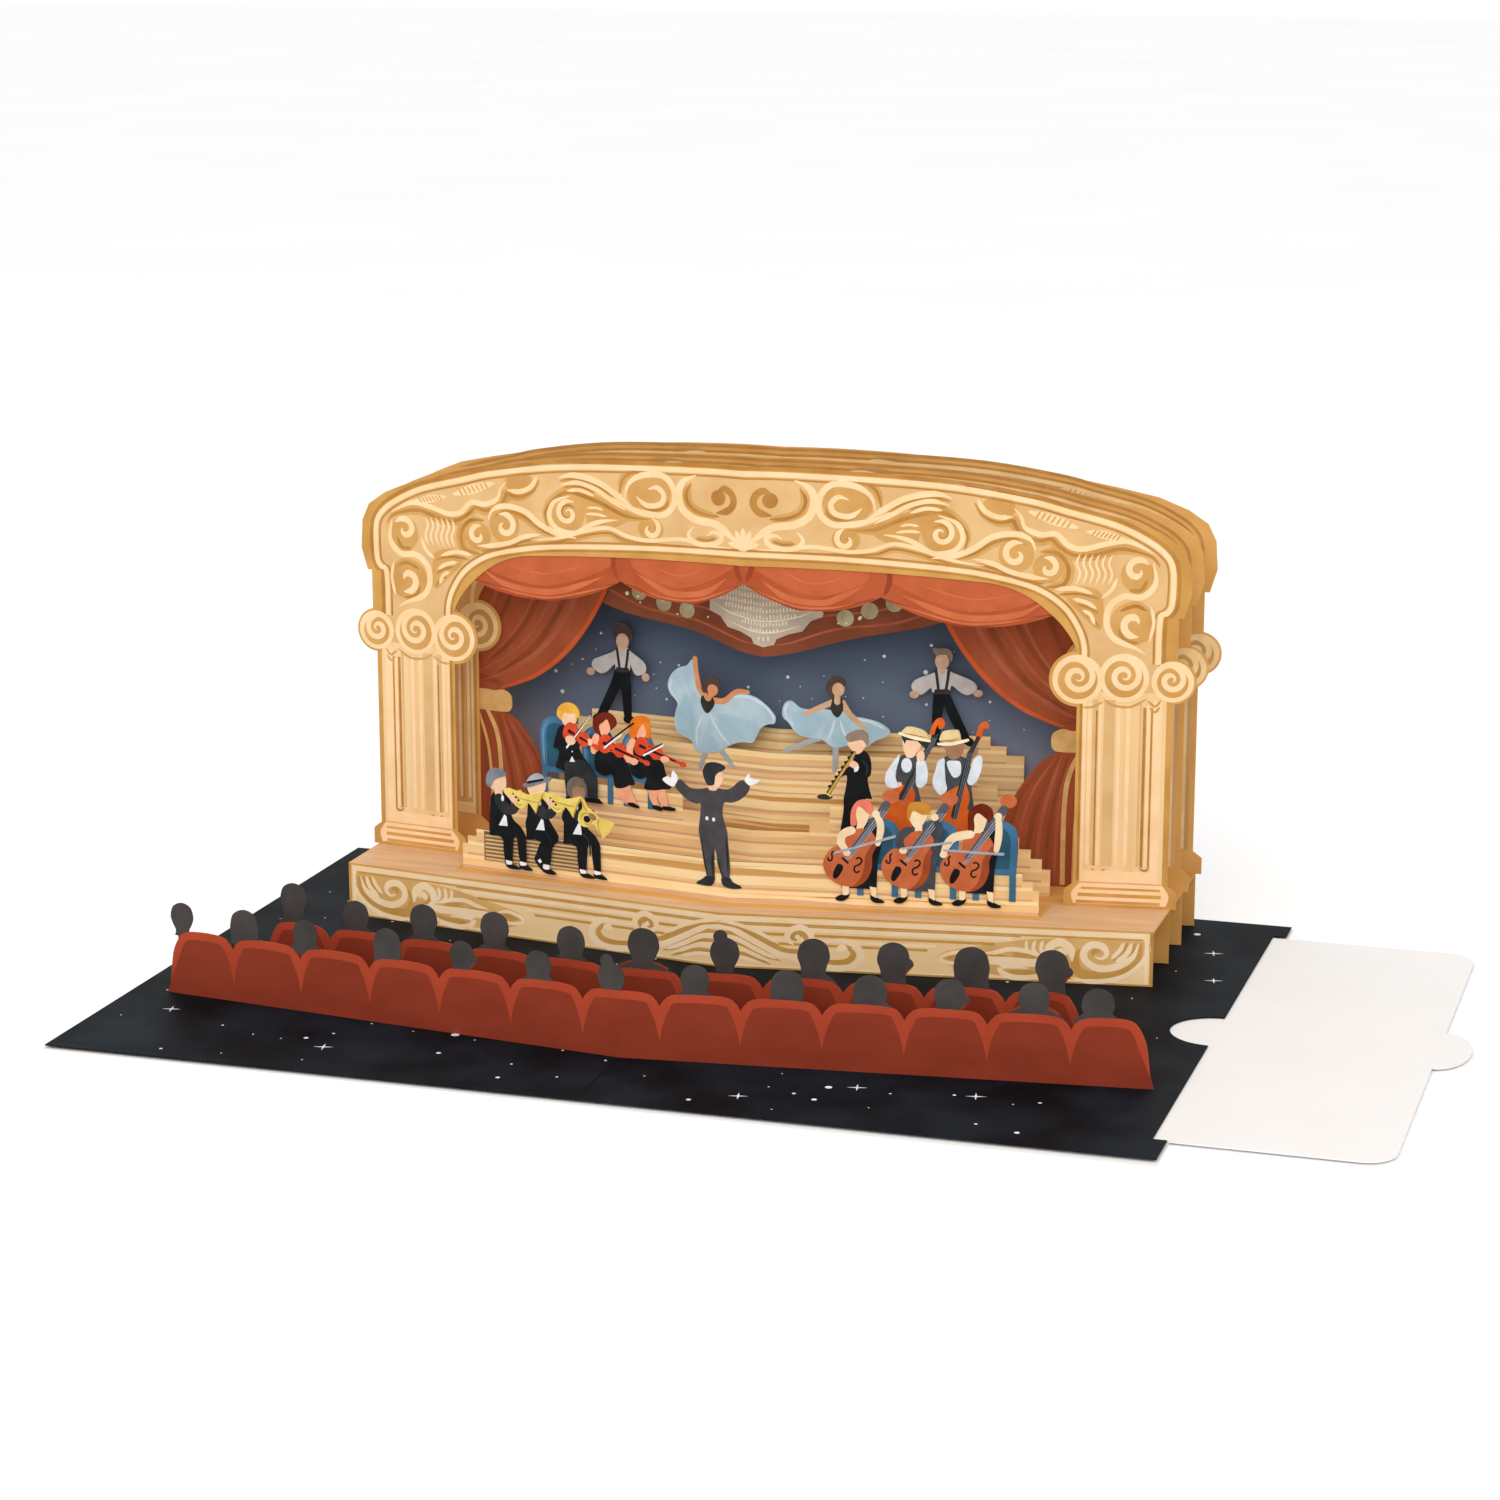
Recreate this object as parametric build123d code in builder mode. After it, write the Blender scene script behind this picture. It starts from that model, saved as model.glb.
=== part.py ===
"""Pop-up theatre greeting card, opened flat, with a note card in a side pocket.

Millimetres, +X right, +Y away from the audience, +Z up. The origin is on the
underside of the open cover, at the middle of its fold.
Every upright sheet is folded at x = 0 into a shallow V that opens to the back.
"""
from build123d import *
from math import cos, radians, sin
import os

os.makedirs("parts", exist_ok=True)

# Open card and pocket
COVER_WIDTH = 254.0
COVER_DEPTH = 178.0
COVER_PAPER = 0.4
POCKET_GAP = 0.5
SIDE_MARGIN = 3.5
END_MARGIN = 4.0
INNER_PAPER = 0.3
THUMB_NOTCH = 10.6
NEAR_STRIP = 10.3
FAR_STRIP = 5.9
NOTE_LENGTH = 113.0
NOTE_PAPER = 0.3
NOTE_OUT = 49.9
NOTE_CORNER = 7.0
TAB_HALF = 13.0
TAB_REACH = 7.2
NOTE_CLEARANCE = 0.3
FOLD_STRIP = 3.0

# Papers of the pop-up
SHEET = 0.35
FIGURE_PAPER = 0.3
STAGE_SLOPE = 0.148
SEAT_SLOPE = 0.12
GLUE_TAB = 5.0

# Where each sheet's front face crosses the fold
SEAT_FRONT_Y = -58.2
SEAT_BACK_Y = -41.5
APRON_Y = 13.5
STAIR_FRONT_Y = 23.0
ARCH_FRONT_Y = 33.3
STAIR_MIDDLE_Y = 41.0
ARCH_MIDDLE_Y = 49.5
STAIR_REAR_Y = 57.3
STAIR_TOP_Y = 63.3
ARCH_BACK_Y = 66.9

# Stage box
STAGE_HALF = 103.0
STAGE_DROP = 13.15
RIB_PAPER = 0.35
RIB_PLACES = (33.0, 66.0, 99.0)

# Arches, measured from the fold sideways and from the stage floor up
ARCH_HALF = 106.1
ARCH_RISE = 105.0
OPENING_RISE = 81.1
COLUMN_OUTER = 102.2
COLUMN_INNER = 79.8
CAPITAL_RISE = 56.8
PLINTH_RISE = 5.8
PLINTH_STEP = 2.2
OUTER_SCROLL = 5.5
MIDDLE_SCROLL = 6.0
INNER_SCROLL = 6.7

# Hangings
SWAG_CUSP = 33.0
CURTAIN_TIE = 37.5
CURTAIN_FOOT = 57.5
CHANDELIER_HALF = 14.5
CHANDELIER_DROP = 23.3
DRAPE_DROP = 25.7

# Seats
SEAT_PITCH = 18.1
SEAT_HEIGHT = 15.4
SEAT_NOTCH = 9.3
SEAT_CORNER = 4.3

inner_width = COVER_WIDTH - 2 * SIDE_MARGIN
inner_depth = COVER_DEPTH - 2 * END_MARGIN
base_top = COVER_PAPER + POCKET_GAP + INNER_PAPER
floor_low = base_top + STAGE_DROP
floor_top = floor_low + SHEET
arch_top = floor_top + ARCH_RISE
opening_top = floor_top + OPENING_RISE
slot_x = COLUMN_INNER - 0.2
THROUGH = COVER_WIDTH


def v_band(start, slope, thick, half=COVER_WIDTH / 2):
    """Seen from above: a strip of paper folded at x = 0, its front face at start."""
    back = start + slope * half
    with BuildSketch(Plane.XY) as plan:
        Polygon(
            (0, start), (half, back), (half, back + thick),
            (0, start + thick), (-half, back + thick), (-half, back), align=None)
    return plan.sketch


def between(first, second, low_x, high_x, slope=STAGE_SLOPE):
    """Seen from above: the space from one folded sheet to the next on one side."""
    with BuildSketch(Plane.XY) as plan:
        Polygon(
            (low_x, first + slope * abs(low_x)), (high_x, first + slope * abs(high_x)),
            (high_x, second + slope * abs(high_x)), (low_x, second + slope * abs(low_x)),
            align=None)
    return plan.sketch


def ring(x, z, wide, high, corners=12):
    """Corner points of a round head, wide and high being its half sizes."""
    turns = [radians(360 * (corner + 0.5) / corners) for corner in range(corners)]
    return [(x + wide * cos(turn), z + high * sin(turn)) for turn in turns]


def quarter(x, z, radius, first):
    """Corner points of a rounded corner, drawn clockwise from the angle first."""
    turns = [radians(first - step) for step in (0, 30, 60, 90)]
    return [(x + radius * cos(turn), z + radius * sin(turn)) for turn in turns]


def cut_out(pieces, discs=(), ovals=()):
    """Seen from the front: overlapping polygons, discs and ovals joined in one outline.

    Heights are drawn for a stage floor 14.7 above the table and move with the floor.
    """
    with BuildSketch(Plane.XZ) as front:
        with Locations((0, floor_top - 14.7)):
            for points in pieces:
                Polygon(*points, align=None)
            for x, z, radius in discs:
                Polygon(*ring(x, z, radius, radius), align=None)
            for x, z, wide, high in ovals:
                Polygon(*ring(x, z, wide, high), align=None)
    return front.sketch


def stepped(steps, low):
    """Seen from the front: a flight of steps, the same on both sides of the fold."""
    right = []
    outer = [step[0] for step in steps]
    for place, (x, z) in enumerate(steps):
        inner_x = 0 if place == 0 else outer[place - 1]
        right += [(inner_x, z), (x, z)]
    right.append((outer[-1], low))
    right[0] = (0, steps[0][1])
    with BuildSketch(Plane.XZ) as front:
        Polygon(*right, (0, low), align=None)
        mirror(about=Plane.YZ)
    return front.sketch


# Card base

with BuildPart() as cover:
    with BuildSketch(Plane.XY):
        Rectangle(COVER_WIDTH, COVER_DEPTH)
    extrude(amount=COVER_PAPER)
cover.part.label = "cover"
export_step(cover.part, "parts/cover.step")

pocket_low = NEAR_STRIP - inner_depth / 2
pocket_high = inner_depth / 2 - FAR_STRIP

with BuildPart() as pocket_strips:
    with BuildSketch(Plane.XY.offset(COVER_PAPER)):
        Rectangle(inner_width, inner_depth)
        with Locations((FOLD_STRIP + inner_width / 2, (pocket_low + pocket_high) / 2)):
            Rectangle(inner_width, pocket_high - pocket_low, mode=Mode.SUBTRACT)
    extrude(amount=POCKET_GAP)
pocket_strips.part.label = "pocket_strips"
export_step(pocket_strips.part, "parts/pocket_strips.step")

with BuildPart() as inner_sheet:
    with BuildSketch(Plane.XY.offset(COVER_PAPER + POCKET_GAP)):
        Rectangle(inner_width, inner_depth)
        with Locations((inner_width / 2, 0)):
            Circle(THUMB_NOTCH, mode=Mode.SUBTRACT)
    extrude(amount=INNER_PAPER)
inner_sheet.part.label = "inner_sheet"
export_step(inner_sheet.part, "parts/inner_sheet.step")

note_right = inner_width / 2 + NOTE_OUT
note_low = COVER_PAPER + (POCKET_GAP - NOTE_PAPER) / 2
note_middle = (pocket_low + pocket_high) / 2
note_depth = pocket_high - pocket_low - 2 * NOTE_CLEARANCE

with BuildPart() as note_card:
    with BuildSketch(Plane.XY.offset(note_low)) as note_plan:
        with Locations((note_right - NOTE_LENGTH / 2, note_middle)):
            Rectangle(NOTE_LENGTH, note_depth)
        right_corners = note_plan.vertices().filter_by(lambda v: v.X > note_right - 1)
        fillet(right_corners, radius=NOTE_CORNER)
        with Locations((note_right, note_middle + 0.6)):
            Ellipse(TAB_REACH, TAB_HALF)
    extrude(amount=NOTE_PAPER)
note_card.part.label = "note_card"
export_step(note_card.part, "parts/note_card.step")

# Rows of seats with the heads of the audience on the same sheet


def seat_row(count, heads):
    """Seen from the front: seats side by side, a notch between two, heads above them."""
    half = count * SEAT_PITCH / 2
    high = base_top + SEAT_HEIGHT
    outline = [(half, base_top), (-half, base_top)]
    for seat in range(count):
        left = -half + seat * SEAT_PITCH + (3.0 if seat == 0 else 0.6)
        right = -half + (seat + 1) * SEAT_PITCH - (3.0 if seat == count - 1 else 0.6)
        outline += quarter(left + SEAT_CORNER, high - SEAT_CORNER, SEAT_CORNER, 180)
        outline += quarter(right - SEAT_CORNER, high - SEAT_CORNER, SEAT_CORNER, 90)
        if seat < count - 1:
            outline.append((-half + (seat + 1) * SEAT_PITCH, base_top + SEAT_NOTCH))
    with BuildSketch(Plane.XZ) as front:
        Polygon(*outline, align=None)
        for x, wide, tall, kind in heads:
            chin = high + tall - 2 * wide
            neck = (0.75 if kind == "hair" else 0.4) * wide
            Polygon(*ring(x, chin + wide, wide, 1.05 * wide, 10), align=None)
            Polygon(
                (x - neck, high - 3), (x + neck, high - 3), (x + neck, chin + wide),
                (x - neck, chin + wide), align=None)
            if kind == "bun":
                Polygon(*ring(x - 1.0, high + tall + 0.6, 1.5, 1.5, 8), align=None)
            if kind == "broad":
                Polygon(*ring(x, high, 1.7 * wide, 2.2, 10), align=None)
            if kind == "profile":
                Polygon(
                    (x, chin + wide), (x + wide + 0.9, chin + wide - 1.4),
                    (x + 0.6 * wide, chin - 0.2 * wide), align=None)
    return front.sketch


ROW_ONE_HEADS = (
    (-113.2, 2.9, 6.4, "plain"), (-96.3, 3.6, 6.6, "hair"), (-80.0, 3.1, 6.2, "plain"),
    (-58.5, 3.4, 6.8, "hair"), (-39.3, 2.9, 6.3, "profile"), (-20.0, 3.1, 6.4, "plain"),
    (-2.0, 3.1, 6.0, "bun"), (17.0, 3.1, 6.6, "plain"), (37.5, 3.5, 6.6, "hair"),
    (55.8, 3.6, 6.4, "plain"), (73.2, 3.3, 6.6, "profile"), (91.5, 3.3, 6.8, "broad"),
    (105.3, 3.4, 6.2, "plain"))

ROW_TWO_HEADS = (
    (-91.0, 3.4, 9.2, "plain"), (-74.3, 3.3, 6.9, "plain"), (-56.3, 3.4, 8.2, "plain"),
    (-37.8, 3.5, 8.6, "plain"), (-18.3, 3.4, 7.6, "plain"), (-0.2, 3.6, 9.3, "broad"),
    (18.5, 3.2, 8.2, "bun"), (38.6, 3.5, 9.0, "plain"), (56.5, 3.5, 9.1, "profile"),
    (73.9, 3.8, 9.0, "hair"), (91.7, 3.6, 9.3, "profile"))

with BuildPart() as seat_row_front:
    extrude(seat_row(13, ROW_ONE_HEADS), amount=THROUGH, both=True)
    extrude(v_band(SEAT_FRONT_Y, SEAT_SLOPE, SHEET), amount=THROUGH, mode=Mode.INTERSECT)
    for side in (-1, 1):
        foot = between(
            SEAT_FRONT_Y + SHEET, SEAT_FRONT_Y + GLUE_TAB, side * 6, side * 110, SEAT_SLOPE)
        extrude(foot.moved(Location((0, 0, base_top))), amount=SHEET)
seat_row_front.part.label = "seat_row_front"
export_step(seat_row_front.part, "parts/seat_row_front.step")

with BuildPart() as seat_row_back:
    extrude(seat_row(11, ROW_TWO_HEADS), amount=THROUGH, both=True)
    extrude(v_band(SEAT_BACK_Y, SEAT_SLOPE, SHEET), amount=THROUGH, mode=Mode.INTERSECT)
    for side in (-1, 1):
        foot = between(
            SEAT_BACK_Y + SHEET, SEAT_BACK_Y + GLUE_TAB, side * 6, side * 94, SEAT_SLOPE)
        extrude(foot.moved(Location((0, 0, base_top))), amount=SHEET)
seat_row_back.part.label = "seat_row_back"
export_step(seat_row_back.part, "parts/seat_row_back.step")

# Stage box: front apron, floor, cross ribs

slot_mid = base_top + STAGE_DROP / 2

with BuildPart() as stage_apron:
    with BuildSketch(Plane.XZ):
        with Locations((0, (base_top + floor_low) / 2)):
            Rectangle(2 * STAGE_HALF, STAGE_DROP)
    extrude(amount=THROUGH, both=True)
    extrude(v_band(APRON_Y, STAGE_SLOPE, SHEET), amount=THROUGH, mode=Mode.INTERSECT)
    for side in (-1, 1):
        foot = between(APRON_Y + SHEET, APRON_Y + GLUE_TAB, side * 40, side * 60)
        extrude(foot.moved(Location((0, 0, base_top))), amount=SHEET)
stage_apron.part.label = "stage_apron"
export_step(stage_apron.part, "parts/stage_apron.step")

with BuildPart() as stage_floor:
    for side in (-1, 1):
        board = between(APRON_Y, ARCH_BACK_Y, 0, side * STAGE_HALF)
        extrude(board.moved(Location((0, 0, floor_low))), amount=SHEET)
    for start in (ARCH_FRONT_Y, ARCH_MIDDLE_Y):
        for side in (-1, 1):
            slit = between(start, start + SHEET, side * slot_x, side * (STAGE_HALF + 5))
            extrude(
                slit.moved(Location((0, 0, floor_low - 1))), amount=SHEET + 2,
                mode=Mode.SUBTRACT)
stage_floor.part.label = "stage_floor"
export_step(stage_floor.part, "parts/stage_floor.step")


def cross_rib(x):
    """Upright strip from the apron to the back sheet, slotted over the two arches."""
    low_x = x - RIB_PAPER / 2
    high_x = x + RIB_PAPER / 2
    with BuildPart() as rib:
        plan = between(APRON_Y + SHEET, ARCH_BACK_Y, low_x, high_x)
        extrude(plan.moved(Location((0, 0, base_top))), amount=STAGE_DROP)
        for start in (ARCH_FRONT_Y, ARCH_MIDDLE_Y):
            slot = between(start, start + SHEET, low_x - 1, high_x + 1)
            extrude(
                slot.moved(Location((0, 0, slot_mid))), amount=STAGE_DROP,
                mode=Mode.SUBTRACT)
    return rib.part


for number, place in enumerate(RIB_PLACES, start=1):
    for side, side_name in ((-1, "left"), (1, "right")):
        name = f"cross_rib_{side_name}_{number}"
        rib_part = cross_rib(side * place)
        rib_part.label = name
        export_step(rib_part, f"parts/{name}.step")

# Three proscenium arches


def arch_front_view(with_opening, panel_slots):
    """Seen from the front: rounded top, scroll capitals, columns and the panel below."""
    capital = floor_top + CAPITAL_RISE
    plinth = floor_top + PLINTH_RISE
    shoulder = (ARCH_HALF - 14.6, arch_top - 10.2)
    brow = (COLUMN_INNER + 0.7, capital + 4)
    bend = (COLUMN_INNER - 7.2, opening_top - 8.8)
    crown = (COLUMN_INNER - 21.4, opening_top - 2.3)
    with BuildSketch(Plane.XZ) as half:
        with BuildLine():
            ThreePointArc((0, arch_top), (ARCH_HALF / 2 - 7, arch_top - 2.4), shoulder)
            Polyline(
                shoulder, (ARCH_HALF - 7.3, arch_top - 13.2), (ARCH_HALF - 2.5, arch_top - 16.5),
                (ARCH_HALF - 0.5, arch_top - 20.7), (ARCH_HALF, arch_top - 27.7),
                (ARCH_HALF - 1.7, arch_top - 33.4), (ARCH_HALF - 2.9, arch_top - 33.4),
                (ARCH_HALF - 2.9, capital + 2.5), (COLUMN_OUTER, capital - 5),
                (COLUMN_OUTER, plinth), (COLUMN_OUTER + PLINTH_STEP, plinth - 1.7),
                (COLUMN_OUTER + PLINTH_STEP, floor_top), (COLUMN_INNER - PLINTH_STEP, floor_top),
                (COLUMN_INNER - PLINTH_STEP, plinth - 1.7), (COLUMN_INNER, plinth),
                (COLUMN_INNER, capital - 5), brow)
            ThreePointArc(brow, (COLUMN_INNER - 2.5, opening_top - 13.8), bend)
            ThreePointArc(bend, (COLUMN_INNER - 13.6, opening_top - 4.5), crown)
            ThreePointArc(crown, (crown[0] / 2, opening_top - 0.5), (0, opening_top))
            Line((0, opening_top), (0, arch_top))
        make_face()
        with Locations((COLUMN_OUTER, capital - 0.6)):
            Circle(OUTER_SCROLL)
        with Locations(((COLUMN_OUTER + COLUMN_INNER) / 2 - 0.2, capital)):
            Circle(MIDDLE_SCROLL)
        with Locations((COLUMN_INNER, capital - 0.7)):
            Circle(INNER_SCROLL)
    with BuildSketch(Plane.XZ) as front:
        add(half.sketch)
        mirror(half.sketch, about=Plane.YZ)
        if not with_opening:
            with Locations((0, floor_top + OPENING_RISE / 2)):
                Rectangle(2 * COLUMN_INNER + 2, OPENING_RISE + 2)
        for side in (-1, 1):
            with Locations((side * (slot_x + STAGE_HALF) / 2, (floor_low + floor_top) / 2)):
                Rectangle(STAGE_HALF - slot_x, 2 * SHEET)
        with Locations((0, (base_top + floor_low) / 2)):
            Rectangle(2 * STAGE_HALF, STAGE_DROP)
        if panel_slots:
            for place in RIB_PLACES:
                for side in (-1, 1):
                    with Locations((side * place, slot_mid - STAGE_DROP / 2)):
                        Rectangle(RIB_PAPER, STAGE_DROP, mode=Mode.SUBTRACT)
    return front.sketch


with BuildPart() as arch_front:
    extrude(arch_front_view(True, True), amount=THROUGH, both=True)
    extrude(v_band(ARCH_FRONT_Y, STAGE_SLOPE, SHEET), amount=THROUGH, mode=Mode.INTERSECT)
arch_front.part.label = "arch_front"
export_step(arch_front.part, "parts/arch_front.step")

with BuildPart() as arch_middle:
    extrude(arch_front_view(True, True), amount=THROUGH, both=True)
    extrude(v_band(ARCH_MIDDLE_Y, STAGE_SLOPE, SHEET), amount=THROUGH, mode=Mode.INTERSECT)
arch_middle.part.label = "arch_middle"
export_step(arch_middle.part, "parts/arch_middle.step")

with BuildPart() as arch_back:
    extrude(arch_front_view(False, False), amount=THROUGH, both=True)
    extrude(v_band(ARCH_BACK_Y, STAGE_SLOPE, SHEET), amount=THROUGH, mode=Mode.INTERSECT)
    for side in (-1, 1):
        foot = between(
            ARCH_BACK_Y + SHEET, ARCH_BACK_Y + GLUE_TAB, side * 40, side * 60)
        extrude(foot.moved(Location((0, 0, base_top))), amount=SHEET)
arch_back.part.label = "arch_back"
export_step(arch_back.part, "parts/arch_back.step")

# Four stepped sheets that make the stairs, each with glue tabs on the stage floor


def stair_sheet(start, steps):
    """A stepped sheet with two tabs folded back onto the floor."""
    raised = [(x, z + floor_top - 14.7) for x, z in steps]
    with BuildPart() as stair:
        extrude(stepped(raised, floor_top), amount=THROUGH, both=True)
        extrude(v_band(start, STAGE_SLOPE, SHEET), amount=THROUGH, mode=Mode.INTERSECT)
        for side in (-1, 1):
            foot = between(start + SHEET, start + 0.6 * GLUE_TAB, side * 20, side * 40)
            extrude(foot.moved(Location((0, 0, floor_top))), amount=SHEET)
    return stair.part


stair_front = stair_sheet(
    STAIR_FRONT_Y, ((70, 25.0), (72.5, 23.0), (74, 20.9)))
stair_front.label = "stair_front"
export_step(stair_front, "parts/stair_front.step")

stair_middle = stair_sheet(
    STAIR_MIDDLE_Y,
    ((14, 28.3), (19, 31.3), (58, 35.2), (61.5, 32.0), (65, 29.0), (67.9, 26.1),
     (70.6, 23.8), (72.7, 21.2)))
stair_middle.label = "stair_middle"
export_step(stair_middle, "parts/stair_middle.step")

stair_rear = stair_sheet(
    STAIR_REAR_Y, ((46, 44.0), (51, 41.0), (56, 38.0), (60, 35.0)))
stair_rear.label = "stair_rear"
export_step(stair_rear, "parts/stair_rear.step")

stair_top = stair_sheet(
    STAIR_TOP_Y, ((52.6, 48.8), (56.6, 46.4), (61.0, 44.1)))
stair_top.label = "stair_top"
export_step(stair_top, "parts/stair_top.step")

# Red hangings glued behind the arches

valance_y = ARCH_FRONT_Y + SHEET
curtain_y = ARCH_MIDDLE_Y + SHEET
drape_y = curtain_y + FIGURE_PAPER

with BuildPart() as valance:
    with BuildSketch(Plane.XZ) as valance_half:
        middle_cusp = (0, opening_top - 4.3)
        cusp = (SWAG_CUSP, opening_top - 6.6)
        edge = (COLUMN_INNER - 3.8, opening_top - 8.8)
        with BuildLine():
            ThreePointArc(middle_cusp, (SWAG_CUSP / 2, opening_top - 10.5), cusp)
            ThreePointArc(cusp, ((cusp[0] + edge[0]) / 2 - 0.5, opening_top - 13.1), edge)
            Polyline(
                edge, (edge[0], opening_top - 3.8), (COLUMN_INNER - 19.8, opening_top + 2.2),
                (0, opening_top + 5.2), middle_cusp)
        make_face()
    extrude(valance_half.sketch, amount=THROUGH, both=True)
    mirror(about=Plane.YZ)
    extrude(v_band(valance_y, STAGE_SLOPE, FIGURE_PAPER), amount=THROUGH, mode=Mode.INTERSECT)
valance.part.label = "valance"
export_step(valance.part, "parts/valance.step")


def curtain_view(side):
    """Seen from the front: a curtain drawn to the side and held by a tie band."""
    tie = floor_top + CURTAIN_TIE
    top = opening_top + 3.2
    with BuildSketch(Plane.XZ) as right:
        with BuildLine():
            Polyline(
                (CURTAIN_FOOT, floor_top), (COLUMN_INNER + 6.2, floor_top),
                (COLUMN_INNER + 6.2, top), (COLUMN_INNER - 41.8, top))
            Spline(
                (COLUMN_INNER - 41.8, top), (COLUMN_INNER - 38.3, top - 13),
                (COLUMN_INNER - 32.7, top - 24), (COLUMN_INNER - 22.6, tie + 10.8),
                (COLUMN_INNER - 11.8, tie + 4.4), (COLUMN_INNER - 5.8, tie + 2.2))
            Polyline(
                (COLUMN_INNER - 5.8, tie + 2.2), (COLUMN_INNER - 9, tie + 1.3),
                (COLUMN_INNER - 9.4, tie - 1.2), (COLUMN_INNER - 8.8, tie - 2.8),
                (COLUMN_INNER - 6.8, tie - 3.3))
            Spline(
                (COLUMN_INNER - 6.8, tie - 3.3), (COLUMN_INNER - 10.3, tie - 4.8),
                (COLUMN_INNER - 14.8, tie - 9.8), (CURTAIN_FOOT + 3.1, tie - 17.2),
                (CURTAIN_FOOT + 0.7, tie - 26.2), (CURTAIN_FOOT, floor_top))
        make_face()
    if side > 0:
        return right.sketch
    with BuildSketch(Plane.XZ) as left:
        mirror(right.sketch, about=Plane.YZ)
    return left.sketch


with BuildPart() as curtain_left:
    extrude(curtain_view(-1), amount=THROUGH, both=True)
    extrude(v_band(curtain_y, STAGE_SLOPE, FIGURE_PAPER), amount=THROUGH, mode=Mode.INTERSECT)
curtain_left.part.label = "curtain_left"
export_step(curtain_left.part, "parts/curtain_left.step")

with BuildPart() as curtain_right:
    extrude(curtain_view(1), amount=THROUGH, both=True)
    extrude(v_band(curtain_y, STAGE_SLOPE, FIGURE_PAPER), amount=THROUGH, mode=Mode.INTERSECT)
curtain_right.part.label = "curtain_right"
export_step(curtain_right.part, "parts/curtain_right.step")

with BuildPart() as chandelier_drape:
    with BuildSketch(Plane.XZ) as drape_view:
        low = opening_top - DRAPE_DROP
        wing = 1.6 * SWAG_CUSP
        with BuildLine():
            Spline(
                (-wing, low + 14), (-SWAG_CUSP, low + 6.9), (-SWAG_CUSP / 2, low + 4.2),
                (-5.3, low + 0.6), (0.5, low))
            Spline(
                (0.5, low), (7.1, low + 1.1), (0.65 * SWAG_CUSP, low + 5.1),
                (1.15 * SWAG_CUSP, low + 8.4), (wing, low + 14))
            Polyline(
                (wing, low + 14), (wing, opening_top + 3.2), (-wing, opening_top + 3.2),
                (-wing, low + 14))
        make_face()
    extrude(drape_view.sketch, amount=THROUGH, both=True)
    extrude(v_band(drape_y, STAGE_SLOPE, FIGURE_PAPER), amount=THROUGH, mode=Mode.INTERSECT)
chandelier_drape.part.label = "chandelier_drape"
export_step(chandelier_drape.part, "parts/chandelier_drape.step")

low = opening_top - CHANDELIER_DROP
half_tiers = [
    (0, low), (2.6, low + 0.7), (3.2, low + 2.1), (6.3, low + 3.5), (9.6, low + 4.3),
    (CHANDELIER_HALF - 2.9, low + 6.9), (CHANDELIER_HALF, low + 8.1),
    (CHANDELIER_HALF, low + 17.5), (CHANDELIER_HALF - 2.5, opening_top + 3.2),
    (0, opening_top + 3.2)]

with BuildSketch(Plane.XZ) as chandelier_view:
    Polygon(*half_tiers, align=None)
    mirror(about=Plane.YZ)

with BuildPart() as chandelier:
    extrude(chandelier_view.sketch, amount=THROUGH, both=True)
    extrude(v_band(curtain_y, STAGE_SLOPE, FIGURE_PAPER), amount=THROUGH, mode=Mode.INTERSECT)
chandelier.part.label = "chandelier"
export_step(chandelier.part, "parts/chandelier.step")

# Bench and chairs of the orchestra

bench_shape = cut_out(
    [[(-67.7, 17.3), (-41, 17.3), (-41, 24.7), (-67.7, 24.7)]])

with BuildPart() as slatted_bench:
    extrude(bench_shape, amount=THROUGH, both=True)
    extrude(
        v_band(STAIR_FRONT_Y - FIGURE_PAPER, STAGE_SLOPE, FIGURE_PAPER), amount=THROUGH,
        mode=Mode.INTERSECT)
slatted_bench.part.label = "slatted_bench"
export_step(slatted_bench.part, "parts/slatted_bench.step")


def chair(x, z, wide):
    """Seen from the front: round-backed chair on two legs, seat rail to the next chair."""
    return [
        [(x - wide / 2, z), (x + wide / 2, z), (x + wide / 2, z + 9), (x + wide / 2 - 2, z + 12.5),
         (x - wide / 2 + 2, z + 12.5), (x - wide / 2, z + 9)],
        [(x - wide / 2, z - 7), (x - wide / 2 + 1.4, z - 7), (x - wide / 2 + 2, z + 1),
         (x - wide / 2, z + 1)],
        [(x + wide / 2 - 1.4, z - 7), (x + wide / 2, z - 7), (x + wide / 2, z + 1),
         (x + wide / 2 - 2, z + 1)]]


violin_chair_shape = cut_out(
    chair(-54.2, 37.5, 8.2) + chair(-42.4, 37.5, 8.2) + chair(-31.2, 37.5, 8.2)
    + [[(-58, 37.6), (-27.4, 37.6), (-27.4, 40), (-58, 40)]])

with BuildPart() as violin_chairs:
    extrude(violin_chair_shape, amount=THROUGH, both=True)
    extrude(
        v_band(STAIR_MIDDLE_Y - FIGURE_PAPER, STAGE_SLOPE, FIGURE_PAPER), amount=THROUGH,
        mode=Mode.INTERSECT)
violin_chairs.part.label = "violin_chairs"
export_step(violin_chairs.part, "parts/violin_chairs.step")

cello_chair_shape = cut_out(
    chair(34.6, 25.0, 8.2) + chair(48.5, 25.0, 8.2) + chair(62.4, 25.0, 8.6)
    + [[(30.6, 25.2), (66.4, 25.2), (66.4, 27.6), (30.6, 27.6)]])

with BuildPart() as cello_chairs:
    extrude(cello_chair_shape, amount=THROUGH, both=True)
    extrude(
        v_band(STAIR_FRONT_Y - FIGURE_PAPER, STAGE_SLOPE, FIGURE_PAPER), amount=THROUGH,
        mode=Mode.INTERSECT)
cello_chairs.part.label = "cello_chairs"
export_step(cello_chairs.part, "parts/cello_chairs.step")

# Musicians and dancers, cut from thin card and glued to the fronts of the steps

players = {}


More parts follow.
